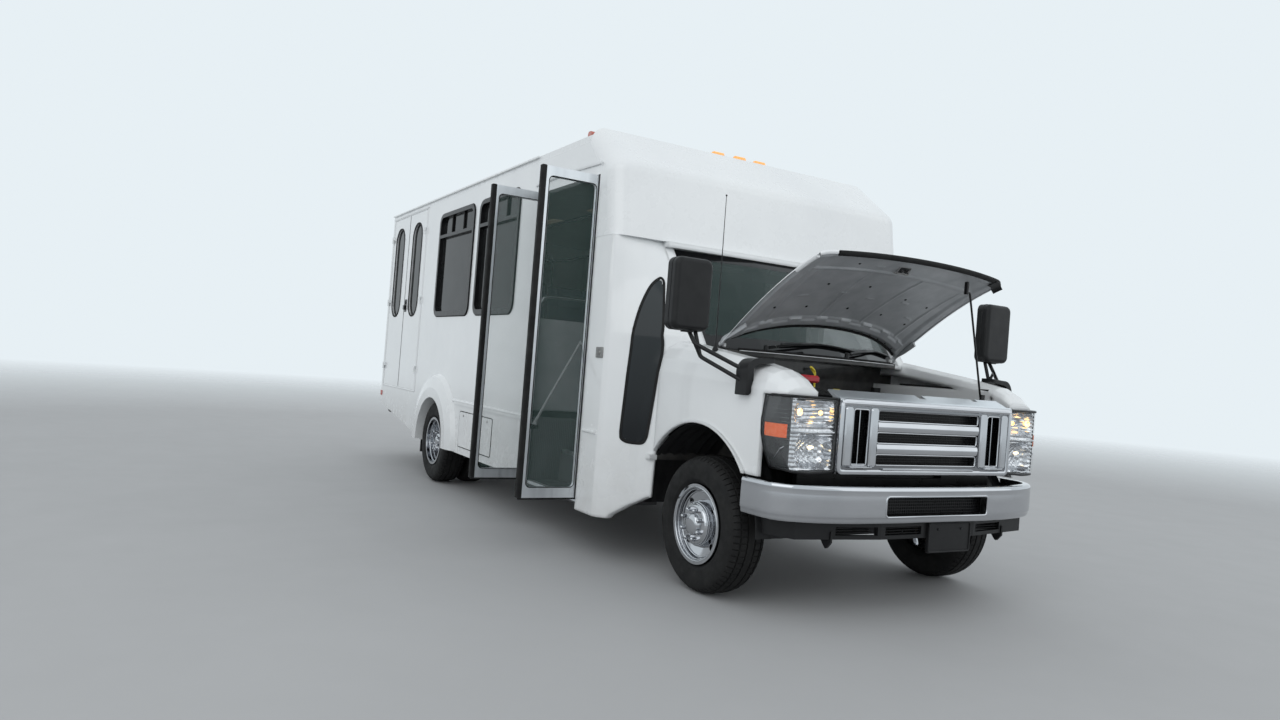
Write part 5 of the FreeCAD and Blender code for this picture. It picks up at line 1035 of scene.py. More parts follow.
class MINIBUS_OT_headlamps(bpy.types.Operator):
    """Lens, reflector bowls, bulbs, wing, bright strips, side reflector and black surround"""

    bl_idname = "minibus.headlamps"
    bl_label = "Headlamps"

    def execute(self, context):
        s, t = np.meshgrid(np.linspace(0, 1, 80), np.linspace(0, 1, 72), indexing="ij")
        face = lamp_grid(s, t, 0 * s)
        y = face[..., 1]
        z = face[..., 2]
        main, in_main = bowl(y, z, *LAMP_MAIN)
        turn, _ = bowl(y, z, *LAMP_TURN)
        flutes = 0.0034 * (np.cos(y * 2 * math.pi / 0.034)
                           * np.cos(z * 2 * math.pi / 0.030)) * in_main
        steps = 0.0026 * np.cos(z * 2 * math.pi / 0.021 + 9 * y) * ~in_main
        depth = 0.012 + main + turn + flutes + steps
        reflector = slab(lamp_grid(s, t, depth), lamp_grid(s, t, depth + 0.004))
        cover = slab(lamp_grid(s, t, 0.0005), lamp_grid(s, t, 0.0030))
        edge = np.linspace(0, 1, 60)
        up = np.linspace(0, 1, 40)
        loop_s = np.concatenate([edge, np.ones(40), edge[::-1], np.zeros(40)])
        loop_t = np.concatenate([np.zeros(60), up, np.ones(60), up[::-1]])
        keep = np.ones(len(loop_s), bool)
        keep[[60, 100, 160, 199]] = False
        loop_s = loop_s[keep]
        loop_t = loop_t[keep]
        loop = lamp_grid(loop_s, 0.006 + 0.988 * loop_t, 0.006)
        outward = lamp_grid(loop_s, loop_t, -0.01) - lamp_grid(loop_s, loop_t, 0.0)
        surround = sweep(circle(0.0075, 8), loop, outward, closed=True)
        shelf_s = np.linspace(0.01, 0.60, 40)
        shelf = lamp_grid(shelf_s, 0 * shelf_s + 0.535, 0.008)
        bright = [sweep(rounded(0.010, 0.011, 0.003, 3), shelf, (0, 0, 1)),
                  ball((0.640, 0.785, 0.850), (0.020, 0.017, 0.017))]
        s3, t3 = np.meshgrid(np.linspace(0.600, 0.985, 30), np.linspace(0.03, 0.97, 30),
                             indexing="ij")
        wing = slab(lamp_grid(s3, t3, 0.0095), lamp_grid(s3, t3, 0.0120))
        blade_s = np.linspace(0.66, 0.95, 16)
        blade = lamp_grid(blade_s, 0.33 - 0.26 * (blade_s - 0.66) / 0.29, 0.007)
        bright.append(sweep(rounded(0.010, 0.004, 0.0015, 3), blade, (0, 0, 1)))
        s2, t2 = np.meshgrid(np.linspace(0.64, 0.95, 24), np.linspace(0.44, 0.62, 12),
                             indexing="ij")
        # Side reflector: its amber finish has a faint painted glow.
        reflex = slab(lamp_grid(s2, t2, 0.0045), lamp_grid(s2, t2, 0.0090))
        bulbs = [ball((0.650, 0.868, 1.043), (0.014, 0.014, 0.018)),
                 ball((0.650, 0.735, 1.043), (0.010, 0.012, 0.012))]
        main_bulb = ball((0.650, 0.785, 0.872), (0.012, 0.020, 0.008))
        lamp = (("lens", [cover], "clear_lens", "lamp_lens"),
                ("reflector", [reflector], "reflector", "bumper_chrome"),
                ("wing", [wing], "lamp_grey", "dark_plastic"),
                ("surround", [surround], "satin_black", "black_trim"),
                ("bright", bright, "chrome", "bumper_chrome"),
                ("reflex", [reflex], "amber", "marker_lens"),
                ("turn_bulbs", bulbs, "amber_lit", "marker_lens"),
                ("main_bulb", [main_bulb], "lamp_lit", "lamp_lens"))
        for side, sign in SIDES:
            for name, parts, finish, slot in lamp:
                piece("lamp_%s_%s" % (name, side), on_side(parts, sign), "vehicle", finish,
                      replaces=("headlamps",) if name == "lens" else ())
        return {"FINISHED"}


# Grille, bumper and valance

def wires(left, right, low, high, x, pitch, wide):
    """Crossed square wires over a rectangle in y and z."""
    parts = []
    outline = np.array(((-1, -1), (1, -1), (1, 1), (-1, 1))) * wide / 2
    for y in np.arange(left + pitch / 2, right, pitch):
        parts.append(sweep(outline, [(x, y, low), (x, y, high)], (1, 0, 0)))
    ahead = x + wide * 0.6
    for z in np.arange(low + pitch / 2, high, pitch):
        parts.append(sweep(outline, [(ahead, left, z), (ahead, right, z)], (1, 0, 0)))
    return parts


class MINIBUS_OT_grille(bpy.types.Operator):
    """Mesh behind the grille's openings, its bright beads, frame ring, posts and two bars"""

    bl_idname = "minibus.grille"
    bl_label = "Grille"

    def execute(self, context):
        mesh = wires(-0.386, 0.386, 0.789, 1.078, 0.6445, 0.0135, 0.0032)
        bright = []
        bead = circle(0.0040, 8)
        bands = ((0.790, 0.851), (0.903, 0.964), (1.016, 1.077))
        for low, high in bands:
            bright.append(hoop((0.690, 0, (low + high) / 2), (0.764, high - low - 0.006), 0.014,
                               "X", bead))
        for sign in (-1, 1):
            low, high = between(sign, 0.450, 0.560)
            mesh += wires(low, high, 0.789, 1.078, 0.6445, 0.0135, 0.0032)
            middle = (low + high) / 2
            bright.append(hoop((0.698, middle, 0.9335), (0.106, 0.283), 0.016, "X", bead))
            bright.append(block((0.650, middle - 0.004, 0.792), (0.690, middle + 0.004, 1.075)))
            bright.append(block((0.648, low + 0.002, 0.790), (0.702, high - 0.002, 0.800)))
        frame_ring = hoop((0.700, 0, 0.9340), (1.276, 0.352), 0.022, "X",
                          rounded(0.026, 0.014, 0.005, 3))
        bright += [frame_ring, bar((0.688, -0.646, 1.104), (0.688, 0.646, 1.104), 0.0195, 20),
                   block((0.688, -0.345, 0.767), (0.716, 0.345, 0.779), 0.003, 0.004)]
        for sign in (-1, 1):
            for near, far in ((0.392, 0.444), (0.566, 0.618)):
                low, high = between(sign, near, far)
                bright.append(block((0.690, low, 0.786), (0.711, high, 1.084), 0.007, 0.012, "X"))
            low, high = between(sign, 0.430, 0.580)
            bright.append(block((0.690, low, 0.779), (0.724, high, 0.788), 0.003, 0.004))
        piece("grille_mesh", mesh, "vehicle", "satin_black", sharp=30)
        piece("grille_beads", bright, "vehicle", "chrome")
        for name, z in (("low", 0.877), ("high", 0.990)):
            y = np.linspace(-0.384, 0.384, 60)
            t = np.linspace(-1, 1, 17)
            x = 0.6975 + 0.0045 * np.cos(t * math.pi / 2)
            front = np.stack(np.broadcast_arrays(x[None], y[:, None], z + 0.0235 * t[None]), -1)
            piece("grille_bar_" + name, [slab(front, front - np.array((0.003, 0, 0)))], "vehicle",
                  "chrome")
        return {"FINISHED"}


BUMPER_PLAN = ((0.400, 1.000), (0.480, 0.997), (0.560, 0.988), (0.625, 0.958), (0.690, 0.887),
               (0.740, 0.762), (0.775, 0.602), (0.793, 0.400), (0.799, 0.200), (0.800, 0.0))
BUMPER_SECTION = np.array((
    # height, depth in from the plan
    (0.5060, 0.062), (0.5055, 0.034), (0.5060, 0.026), (0.5090, 0.016), (0.5150, 0.010),
    (0.5250, 0.007), (0.5360, 0.006), (0.5400, 0.002), (0.5450, 0.0008), (0.5600, 0.0002),
    (0.6000, 0.0), (0.6450, 0.0), (0.6620, 0.0015), (0.6680, 0.0005), (0.6750, 0.0),
    (0.6820, 0.0015), (0.6880, 0.005), (0.6925, 0.011), (0.6945, 0.019), (0.6940, 0.045),
    (0.6910, 0.045), (0.6915, 0.020), (0.6860, 0.010), (0.6450, 0.0040), (0.6000, 0.0040),
    (0.5450, 0.0048), (0.5200, 0.012), (0.5120, 0.020), (0.5090, 0.030), (0.5090, 0.062)))


def bumper_half():
    """The plan's smooth line, from its left end to the middle."""
    return smooth_path([(x, y, 0) for x, y in BUMPER_PLAN], 14)[:, :2]


def bumper_part():
    """The section carried along the smoothed plan, square to it, with the middle slot left out."""
    half = bumper_half()
    plan = np.concatenate([half, half[-2::-1] * (1, -1)])
    inside = np.array((0.380, -0.380))
    extra = np.stack([np.interp(inside, plan[::-1, 1], plan[::-1, 0]), inside], -1)
    plan = np.concatenate([plan, extra])
    plan = plan[np.argsort(-plan[:, 1], kind="stable")]
    ahead = np.gradient(plan, axis=0)
    ahead /= np.linalg.norm(ahead, axis=1)[:, None]
    inward = np.stack([ahead[:, 1], -ahead[:, 0]], -1)
    z = BUMPER_SECTION[:, 0]
    depth = BUMPER_SECTION[:, 1]
    flat = plan[:, None] + inward[:, None] * depth[None, :, None]
    points = np.concatenate([flat, np.broadcast_to(z[None, :, None], (*flat.shape[:2], 1))], -1)
    rows, columns = points.shape[:2]
    faces = np.array(grid_faces(rows, columns, wrap_columns=True))
    middle = points.reshape(-1, 3)[faces].mean(1)
    slot = (np.abs(middle[:, 1]) < 0.380) & (middle[:, 2] > 0.545) & (middle[:, 2] < 0.645)
    return points.reshape(-1, 3), faces[~slot].tolist() + end_faces(rows, columns)


class MINIBUS_OT_bumper(bpy.types.Operator):
    """Chrome bumper with its slot lip and brackets, its mesh, plate frame and valance slats"""

    bl_idname = "minibus.bumper"
    bl_label = "Front bumper"

    def execute(self, context):
        half = bumper_half()
        ring = rounded(0.764, 0.104, 0.020, 5)
        y = ring[:, 0]
        x = np.interp(np.abs(y), half[::-1, 1], half[::-1, 0]) - 0.002
        lip = sweep(circle(0.0058, 10), np.stack([x, y, ring[:, 1] + 0.595], -1), (1, 0, 0),
                    closed=True)
        parts = [bumper_part(), lip]
        for sign in (-1, 1):
            low, high = between(sign, 0.36, 0.43)
            parts.append(block((0.700, low, 0.520), (0.780, high, 0.535)))
            parts.append(block((0.700, low, 0.520), (0.712, high, 0.660)))
        piece("bumper_chrome", parts, "vehicle", "chrome",
              replaces=("front_bumper",), sharp=40)
        dark = wires(-0.376, 0.376, 0.548, 0.642, 0.742, 0.016, 0.004)
        dark.append(block((0.726, -0.392, 0.538), (0.732, 0.392, 0.652)))
        plate = [hoop((0.7535, 0.145, 0.4225), (0.318, 0.152), 0.010, "X", circle(0.0045, 8)),
                 block((0.748, 0.030, 0.492), (0.756, 0.260, 0.500))]
        for k in (-1, 1):
            plate.append(ball((0.754, 0.145 + 0.089 * k, 0.465), (0.004, 0.007, 0.007), 8))
        piece("bumper_mesh", dark, "vehicle", "satin_black", sharp=30)
        piece("plate_frame", plate, "vehicle", "plastic")
        slats = []
        for low, high in ((-0.620, -0.370), (-0.320, -0.060), (0.370, 0.620)):
            back, front = (0.668, 0.688) if abs(low + high) > 0.5 else (0.712, 0.732)
            for z in (0.449, 0.463, 0.477):
                slats.append(block((back, low, z - 0.002), (front, high, z + 0.002), 0.001, 0.002))
        slats.append(block((0.640, -0.660, 0.430), (0.648, -0.300, 0.500)))
        slats.append(block((0.640, 0.300, 0.430), (0.648, 0.660, 0.500)))
        piece("valance_slats", slats, "vehicle", "plastic")
        return {"FINISHED"}


# Cowl, engine bay, wipers and mirrors

def screen_base(y):
    """x of the windshield's lower edge: flat in the middle, then two slopes, as in the frame."""
    return np.interp(np.abs(y), (0.157, 0.432, 0.786), (-0.165, -0.215, -0.345))


def cowl_front(y):
    """x of the cowl's front edge."""
    return np.interp(np.abs(y), (0.0, 0.400, 0.700, 0.735), (-0.130, -0.160, -0.250, -0.290))


def screen_point(y, z):
    """x of the windshield at a place across and a height, straight from its foot to its head."""
    foot = 1.345
    head = 1.965
    low = screen_base(y)
    high = np.interp(np.abs(y), (0.157, 0.432, 0.786), (-0.740, -0.760, -0.805))
    return low + (high - low) * (z - foot) / (head - foot)


BAY_HOSES = (
    # radius, points of the line
    (0.021, ((0.44, 0.20, 1.085), (0.40, 0.20, 1.120), (0.34, 0.19, 1.125), (0.26, 0.17, 1.110),
             (0.20, 0.14, 1.105))),
    (0.036, ((-0.06, -0.560, 1.150), (0.02, -0.47, 1.155), (0.06, -0.37, 1.140),
             (0.06, -0.25, 1.120), (0.05, -0.18, 1.110))),
    (0.011, ((-0.30, 0.56, 1.090), (-0.22, 0.46, 1.095), (-0.10, 0.36, 1.100),
             (0.0, 0.22, 1.120))),
    (0.014, ((0.30, 0.662, 1.10), (0.26, 0.52, 1.10), (0.18, 0.36, 1.09), (0.10, 0.2, 1.11))),
    (0.008, ((0.24, -0.60, 1.186), (0.18, -0.54, 1.200), (0.14, -0.42, 1.150),
             (0.10, -0.22, 1.120))))


class MINIBUS_OT_engine_bay(bpy.types.Operator):
    """Cowl trim and ledge, engine cover, hoses, battery cover, caps, hood lock and seals"""

    bl_idname = "minibus.engine_bay"
    bl_label = "Engine bay"

    def execute(self, context):
        y, share = np.meshgrid(np.linspace(-0.733, 0.733, 220), np.linspace(0, 1, 14),
                               indexing="ij")
        x = screen_base(y) + 0.004 + (cowl_front(y) - 0.004 - screen_base(y)) * share
        vents = 0.0025 * (np.sin(y * 2 * math.pi / 0.022) > 0) * soft_step(share, 0.2, 0.3)
        vents = vents * (1 - soft_step(share, 0.75, 0.85))
        z = 1.3515 + 0.006 * np.sin(share * math.pi) - vents
        top = np.stack([x, y, z], -1)
        cowl = [slab(top, np.stack([x, y, 0 * z + 1.3455], -1))]
        edge = np.linspace(-0.620, 0.620, 90)
        ledge = [sweep(rounded(0.030, 0.005, 0.002, 3),
                       np.stack([cowl_front(edge) + 0.022, edge, 0 * edge + 1.343], -1))]
        piece("cowl_ledge", ledge, "vehicle", "hem_paint")
        seal = [sweep(circle(0.0085, 10), np.stack([cowl_front(edge) + 0.001, edge,
                                                    0 * edge + 1.352], -1))]
        for sign in (-1, 1):
            x = np.linspace(-0.24, 0.46, 30)
            side = np.stack([x, 0 * x + 0.748 * sign, 0 * x + 1.222], -1)
            seal.append(sweep(circle(0.0065, 10), side))
        piece("cowl_trim", cowl, "vehicle", "plastic")
        piece("bay_seals", seal, "vehicle", "rubber")

        u, v = np.meshgrid(np.linspace(-1, 1, 60), np.linspace(-1, 1, 60), indexing="ij")
        swell = (1 - np.abs(u) ** 6) * (1 - np.abs(v) ** 6)
        ribs = 0.004 * (np.sin(v * 22) > 0.2) * (np.abs(u) < 0.8) * (np.abs(v) < 0.86)
        z = 1.062 + 0.075 * np.clip(swell, 0, 1) ** 0.35 + ribs
        top = np.stack([0.02 + 0.25 * u, 0.24 * v, z], -1)
        cover = [slab(top, np.stack([top[..., 0], top[..., 1], 0 * z + 1.0605], -1))]
        cover.append(block((0.395, -0.33, 1.081), (0.470, 0.33, 1.094), 0.002, 0.02))
        piece("engine_cover", cover, "vehicle", "plastic")
        hoses = []
        for radius, points in BAY_HOSES:
            line = smooth_path(points, 9)
            rings = np.sin(np.arange(len(line)) * 2.1) if radius > 0.03 else np.zeros(len(line))
            hoses.append(sweep(circle(radius, 14), line, (0.1, 0.1, 1), 1 + 0.09 * rings))
        piece("bay_hoses", hoses, "vehicle", "rubber")
        red = [block((0.205, -0.715, 1.1655), (0.335, -0.572, 1.190), 0.004, 0.014),
               block((0.215, -0.700, 1.188), (0.395, -0.520, 1.228), 0.010, 0.020)]
        piece("battery_cover", red, "vehicle", "red_paint")
        loop = [(0.165, -0.360, 1.12), (0.165, -0.360, 1.235), (0.172, -0.378, 1.262),
                (0.165, -0.396, 1.276), (0.158, -0.378, 1.262), (0.165, -0.364, 1.240)]
        yellow = [sweep(circle(0.0060, 8), smooth_path(loop, 5), (1, 0, 0)),
                  turned([(1.196, 0), (1.196, 0.027), (1.212, 0.027), (1.216, 0.023), (1.216, 0)],
                         24, (0.120, -0.630, 0), "Z", closed=False),
                  turned([(1.137, 0), (1.137, 0.022), (1.158, 0.022), (1.162, 0.018), (1.162, 0)],
                         24, (0.10, -0.130, 0), "Z", closed=False)]
        piece("bay_caps", yellow, "vehicle", "yellow")
        latch = [block((0.600, -0.024, 1.118), (0.612, 0.024, 1.150)),
                 bar((0.606, -0.020, 1.146), (0.606, 0.020, 1.146), 0.004)]
        piece("hood_lock", latch, "vehicle", "steel")
        return {"FINISHED"}


class MINIBUS_OT_wipers(bpy.types.Operator):
    """Aerial, and two wipers whose blades lie along the foot of the windshield"""

    bl_idname = "minibus.wipers"
    bl_label = "Wipers and aerial"

    def execute(self, context):
        arms = []
        rubbers = []
        lean = (1, 0, 0.6)
        for foot_y, tip_y, blade in ((-0.44, 0.03, (-0.30, 0.30)), (0.16, 0.60, (0.30, 0.74))):
            y = np.linspace(foot_y, tip_y, 24)
            z = 1.374 + 0.052 * np.sin(np.linspace(0, 1, 24) * 1.5)
            x = screen_point(y, z) + 0.034 * np.cos(np.linspace(0, 1, 24) * 1.1)
            x[:4] = np.maximum(x[:4], screen_base(y[:4]) + 0.022)
            arms.append(sweep(rounded(0.016, 0.008, 0.003, 3), np.stack([x, y, z], -1), lean,
                              np.linspace(1.25, 0.7, 24)))
            arms.append(turned([(1.353, 0), (1.353, 0.015), (1.386, 0.014), (1.390, 0.010),
                                (1.391, 0)], 20, (screen_base(foot_y) + 0.024, foot_y, 0), "Z",
                               closed=False))
            y = np.linspace(blade[0], blade[1], 30)
            z = 1.405 + 0.022 * np.sin((y - blade[0]) / (blade[1] - blade[0]) * math.pi)
            x = screen_point(y, z)
            arms.append(sweep(rounded(0.011, 0.009, 0.002, 2), np.stack([x + 0.020, y, z], -1),
                              lean))
            rubbers.append(sweep(rounded(0.005, 0.018, 0.001, 2), np.stack([x + 0.012, y, z], -1),
                                 lean))
        mast = [sweep(circle(0.0032, 8), [(-0.060, -0.900, 1.345), (-0.062, -0.900, 1.7),
                                          (-0.066, -0.900, 2.190)], (1, 0, 0), (1.2, 0.9, 0.55)),
                ball((-0.066, -0.900, 2.193), (0.0055, 0.0055, 0.0055), 8)]
        base = [turned([(1.318, 0), (1.318, 0.019), (1.332, 0.017), (1.350, 0.009), (1.362, 0.006),
                        (1.362, 0)], 20, (-0.060, -0.900, 0), "Z", closed=False)]
        piece("wiper_arms", arms, "vehicle", "satin_black",
              replaces=("aerial_and_wipers",))
        piece("wiper_rubbers", rubbers, "vehicle", "rubber")
        piece("aerial_mast", mast, "vehicle", "satin_black")
        piece("aerial_base", base, "vehicle", "plastic")
        return {"FINISHED"}


# The housing that clasps a fender: y and z of its two edges at shares of their length,
# and its section's growth at places along x
CLASP_SHARES = (0, 0.42, 0.62, 1)
CLASP_OUTER = ((1.028, 1.026, 0.985, 0.850), (1.100, 1.245, 1.288, 1.297))
CLASP_INNER = ((1.004, 1.000, 0.965, 0.850), (1.100, 1.215, 1.262, 1.277))
CLASP_LEVELS = ((0.318, 0.90), (0.322, 0.985), (0.332, 1.0), (0.400, 1.0), (0.410, 0.985),
                (0.414, 0.90))


def clasp_part(sign):
    """The housing's section, smoothed from its two edges and carried along x."""
    t = np.linspace(0, 1, 26)
    outer, inner = (np.stack([np.interp(t, CLASP_SHARES, row) for row in rows], -1)
                    for rows in (CLASP_OUTER, CLASP_INNER))
    section = np.concatenate([smooth_path(np.column_stack([edge, edge[:, 0] * 0]), 6)[:, :2]
                              for edge in (outer[::5], inner[::-5])])
    heart = section.mean(0)
    rows = []
    for x, grow in CLASP_LEVELS:
        flat = heart + (section - heart) * grow
        rows.append(np.stack([np.full(len(flat), x), flat[:, 0] * sign, flat[:, 1]], -1))
    faces = grid_faces(len(rows), len(section), wrap_columns=True)
    return np.concatenate(rows), faces + end_faces(len(rows), len(section))


class MINIBUS_OT_mirrors(bpy.types.Operator):
    """Mirror glass, head seams and the housings that clasp the fenders"""

    bl_idname = "minibus.mirrors"
    bl_label = "Mirrors"

    def execute(self, context):
        for side, sign in SIDES:
            middle = 1.206 * sign
            glass = [block((0.0565, middle - 0.100, low), (0.0615, middle + 0.100, high), 0.001,
                           corner, "X")
                     for low, high, corner in ((1.520, 1.768, 0.030), (1.432, 1.508, 0.022))]
            piece("mirror_glass_" + side, glass, "vehicle", "mirror")
            rims = [hoop((0.060, middle, 1.644), (0.206, 0.254), 0.032, "X", circle(0.004, 8)),
                    hoop((0.060, middle, 1.470), (0.206, 0.082), 0.024, "X", circle(0.004, 8)),
                    hoop((0.098, middle, 1.600), (0.232, 0.380), 0.042, "X", circle(0.0022, 6))]
            rims.append(block((0.085, middle - 0.030, 1.402), (0.125, middle + 0.030, 1.414)))
            rims.append(clasp_part(sign))
            piece("mirror_trim_" + side, rims, "vehicle", "plastic")
        return {"FINISHED"}


# Doors and body sides

ENTRY_LOW, ENTRY_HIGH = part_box("entry_glass_front")
LIFT_PANES = [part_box("lift_glass_" + name) for name in ("front", "rear")]


class MINIBUS_OT_entry_door(bpy.types.Operator):
    """Nose seals, glazing beads, front leaf's rail, drip rail, jamb seals and keypad"""

    bl_idname = "minibus.entry_door"
    bl_label = "Entry door"

    def execute(self, context):
        middle_y = (ENTRY_LOW[1] + ENTRY_HIGH[1]) / 2
        middle_z = (ENTRY_LOW[2] + ENTRY_HIGH[2]) / 2
        wide = ENTRY_HIGH[1] - ENTRY_LOW[1]
        tall = ENTRY_HIGH[2] - ENTRY_LOW[2]
        for name, x, inward in (("front", -1.035, -1), ("rear", -1.885, 1)):
            body = "entry_%s_leaf" % name
            nose = [block((x - 0.0205, -1.6145, 0.3445), (x + 0.0205, -1.5800, 2.3945), 0.004,
                          0.009),
                    block((x - 0.0125, -1.600, 0.334), (x + 0.0125, -1.185, 0.3465), 0.001, 0.003)]
            piece("entry_nose_" + name, nose, body, "rubber")
            beads = [hoop((x + k, middle_y, middle_z), (wide + 0.002, tall + 0.002), 0.030, "X",
                          rounded(0.005, 0.003, 0.001, 2)) for k in (-0.0150, 0.0150)]
            piece("entry_beads_" + name, beads, body, "rubber")
            face = x + inward * 0.015
            out = x + inward * 0.050
            if name == "front":
                rail = [sweep(circle(0.0085, 12), smooth_path([
                    (face, -1.222, 1.325), (out, -1.230, 1.314), (out, -1.245, 1.295),
                    (out, -1.490, 0.830), (out, -1.500, 0.812), (face, -1.512, 0.790)], 6),
                    (1, 0.2, 0))]
                piece("entry_rail_front", rail, body, "grey_plastic")
                bracket = [block((face - 0.024, -1.568, 0.768), (face + 0.003, -1.490, 0.796))]
                piece("entry_rail_bracket", bracket, body, "satin_black")
        trim = [sweep(np.array(((-0.002, -0.010), (0.010, -0.010), (0.014, -0.004), (0.014, 0.010),
                                (0.009, 0.010), (0.009, -0.002), (-0.002, 0.0))),
                      [(x, -WALL_FACE, z) for x, z in (
                          (-2.020, 2.462), (-2.0, 2.470), (-1.5, 2.482), (-1.0, 2.470),
                          (-0.980, 2.462))], (0, 0, 1))]
        piece("entry_drip_rail", trim, "vehicle", "white_paint")
        seals = [block((x0, -1.223, 0.345), (x1, -1.205, 2.398), 0.001, 0.003)
                 for x0, x1 in ((-1.018, -1.011), (-1.909, -1.902))]
        piece("entry_jamb_seals", seals, "vehicle", "rubber")
        keypad = [block((-0.872, -1.2255, 1.238), (-0.783, -WALL_FACE, 1.304), 0.0012, 0.006, "Y"),
                  turned([(-0.0050, 0), (-0.0050, 0.016), (-0.0085, 0.0145), (-0.0090, 0.010),
                          (-0.0075, 0.009), (-0.0075, 0)], 24, (-0.828, -1.2205, 1.271), "Y",
                         closed=False),
                  block((-0.8305, -1.2302, 1.263), (-0.8255, -1.2275, 1.279), 0.0005, 0.001, "Y")]
        piece("entry_keypad", keypad, "vehicle", "steel")
        return {"FINISHED"}


class MINIBUS_OT_side_trim(bpy.types.Operator):
    """Beads, seals and mouldings of the sides, lift paddle, access door and reflector"""

    bl_idname = "minibus.side_trim"
    bl_label = "Side trim"

    def execute(self, context):
        for name, (low, high) in zip(("front", "rear"), LIFT_PANES):
            body = "lift_%s_leaf" % name
            middle = ((low[0] + high[0]) / 2, -1.2205, (low[2] + high[2]) / 2)
            size = (high[0] - low[0] + 0.006, high[2] - low[2] + 0.006)
            bead = [hoop(middle, size, 0.150, "Y", rounded(0.020, 0.007, 0.003, 3), 10)]
            piece("lift_window_bead_" + name, bead, body, "rubber")
        handle = [block((-5.382, -1.2240, 1.590), (-5.302, -WALL_FACE, 1.720), 0.0015, 0.012, "Y"),
                  block((-5.368, -1.2420, 1.612), (-5.316, -1.2245, 1.660), 0.004, 0.008, "Y"),
                  block((-5.362, -1.2300, 1.668), (-5.322, -1.2230, 1.705), 0.002, 0.006, "Y")]
        piece("lift_paddle", handle, "lift_front_leaf", "satin_black")
        seam = [block((-5.3975, -1.2215, 0.797), (-5.3935, -1.195, 2.613), 0.0008, 0.001)]
        piece("lift_split_seal", seam, "lift_rear_leaf", "rubber")
        gutter = [sweep(np.array(((-0.002, -0.008), (0.010, -0.008), (0.013, -0.003),
                                  (0.013, 0.008), (0.009, 0.008), (0.009, -0.001), (-0.002, 0.0))),
                        [(x, -WALL_FACE, z) for x, z in ((-6.04, 2.632), (-5.4, 2.634),
                                                         (-4.75, 2.632))], (0, 0, 1))]
        piece("lift_drip_rail", gutter, "vehicle", "white_paint")
        rear, front, low, high = -3.320, -2.550, 0.405, 0.700
        doors = [block((rear, -1.2235, low), (front, -WALL_FACE, high), 0.0015, 0.018, "Y")]
        # A dark rubber ring round the access door: painted shade of the door's gap.
        grooves = [hoop(((rear + front) / 2, -1.2195, (low + high) / 2),
                        (front - rear + 0.008, high - low + 0.008), 0.020, "Y",
                        circle(0.0032, 8), 8)]
        locks = [turned([(-0.004, 0), (-0.004, 0.011), (-0.007, 0.010), (-0.007, 0)], 20,
                        (x, -1.2190, 0.672), "Y", closed=False) for x in (-3.22, -2.65)]
        piece("access_doors", doors, "vehicle", "white_paint")
        piece("access_door_gap_shade", grooves, "vehicle", "rubber")
        borders = [hoop((-5.3955, -1.2195, 1.705), (1.262, 1.842), 0.012, "Y",
                        rounded(0.020, 0.009, 0.003, 3), 6)]
        half_round = np.array(((-0.004, -0.0135), (0.004, -0.0125), (0.010, -0.0085),
                               (0.0125, 0.0), (0.010, 0.0085), (0.004, 0.0125),
                               (-0.004, 0.0135)))
        for sign, runs in ((RIGHT, ((-3.690, -1.935), (-0.975, -0.795))),
                           (LEFT, ((-3.690, -0.80),))):
            y = WALL_FACE * sign
            for x0, x1 in runs:
                borders.append(sweep(half_round * (-sign, 1), [(x0, y, 0.782), (x1, y, 0.782)],
                                     (0, 0, 1)))
        piece("side_mouldings", borders, "vehicle", "white_paint")
        piece("access_locks", locks, "vehicle", "steel")
        # Corner reflector: the red finish's faint glow is painted light.
        corner = [block((-6.076, -1.2260, 0.662), (-6.020, -WALL_FACE, 0.716), 0.002, 0.010, "Y")]
        piece("corner_reflector", corner, "vehicle", "red")
        beads = []
        for sign, windows in ((-1, ((-4.300, -3.330), (-3.200, -2.310))),
                              (1, ((-5.760, -4.790), (-4.300, -3.330), (-3.200, -2.310)))):
            for x0, x1 in windows:
                y = 1.2195 * sign
                beads.append(hoop(((x0 + x1) / 2, y, WINDOW_MIDDLE),
                                  (x1 - x0 + 0.004, WINDOW_TALL), WINDOW_CORNER, "Y",
                                  rounded(0.012, 0.006, 0.0025, 3), 8))
                low, high = between(y, 0.984, 0.996)
                for share in (1 / 3, 2 / 3):
                    x = x0 + (x1 - x0) * share
                    beads.append(block((x - 0.008, low, 2.270), (x + 0.008, high, 2.480), 0.002,
                                       0.002))
                for x in (x0 + 0.11, x1 - 0.11):
                    beads.append(block((x - 0.030, y - 0.006, 1.560),
                                       (x + 0.030, y + 0.006, 1.574), 0.001, 0.004))
        piece("window_beads", beads, "vehicle", "rubber")
        piece("quarter_window_bead", [quarter_bead()], "vehicle", "rubber")
        piece("quarter_pane", [quarter_sheet()], "vehicle", "quarter_glass")
        return {"FINISHED"}


QUARTER_ROWS = (
    # height, five corners in plan from the post to the cab
    (0.275, ((-0.780, -1.219), (-0.748, -1.206), (-0.690, -1.160),
             (-0.570, -1.050), (-0.480, -0.990))),
    (0.700, ((-0.780, -1.219), (-0.748, -1.206), (-0.690, -1.160),
             (-0.570, -1.050), (-0.470, -0.985))),
    (1.180, ((-0.780, -1.219), (-0.748, -1.206), (-0.690, -1.155),
             (-0.560, -1.040), (-0.440, -0.965))),
    (1.400, ((-0.780, -1.219), (-0.750, -1.206), (-0.690, -1.145),
             (-0.520, -1.000), (-0.345, -0.845))),
    (2.000, ((-0.780, -1.219), (-0.775, -1.206), (-0.778, -1.140),
             (-0.785, -1.000), (-0.800, -0.840))))


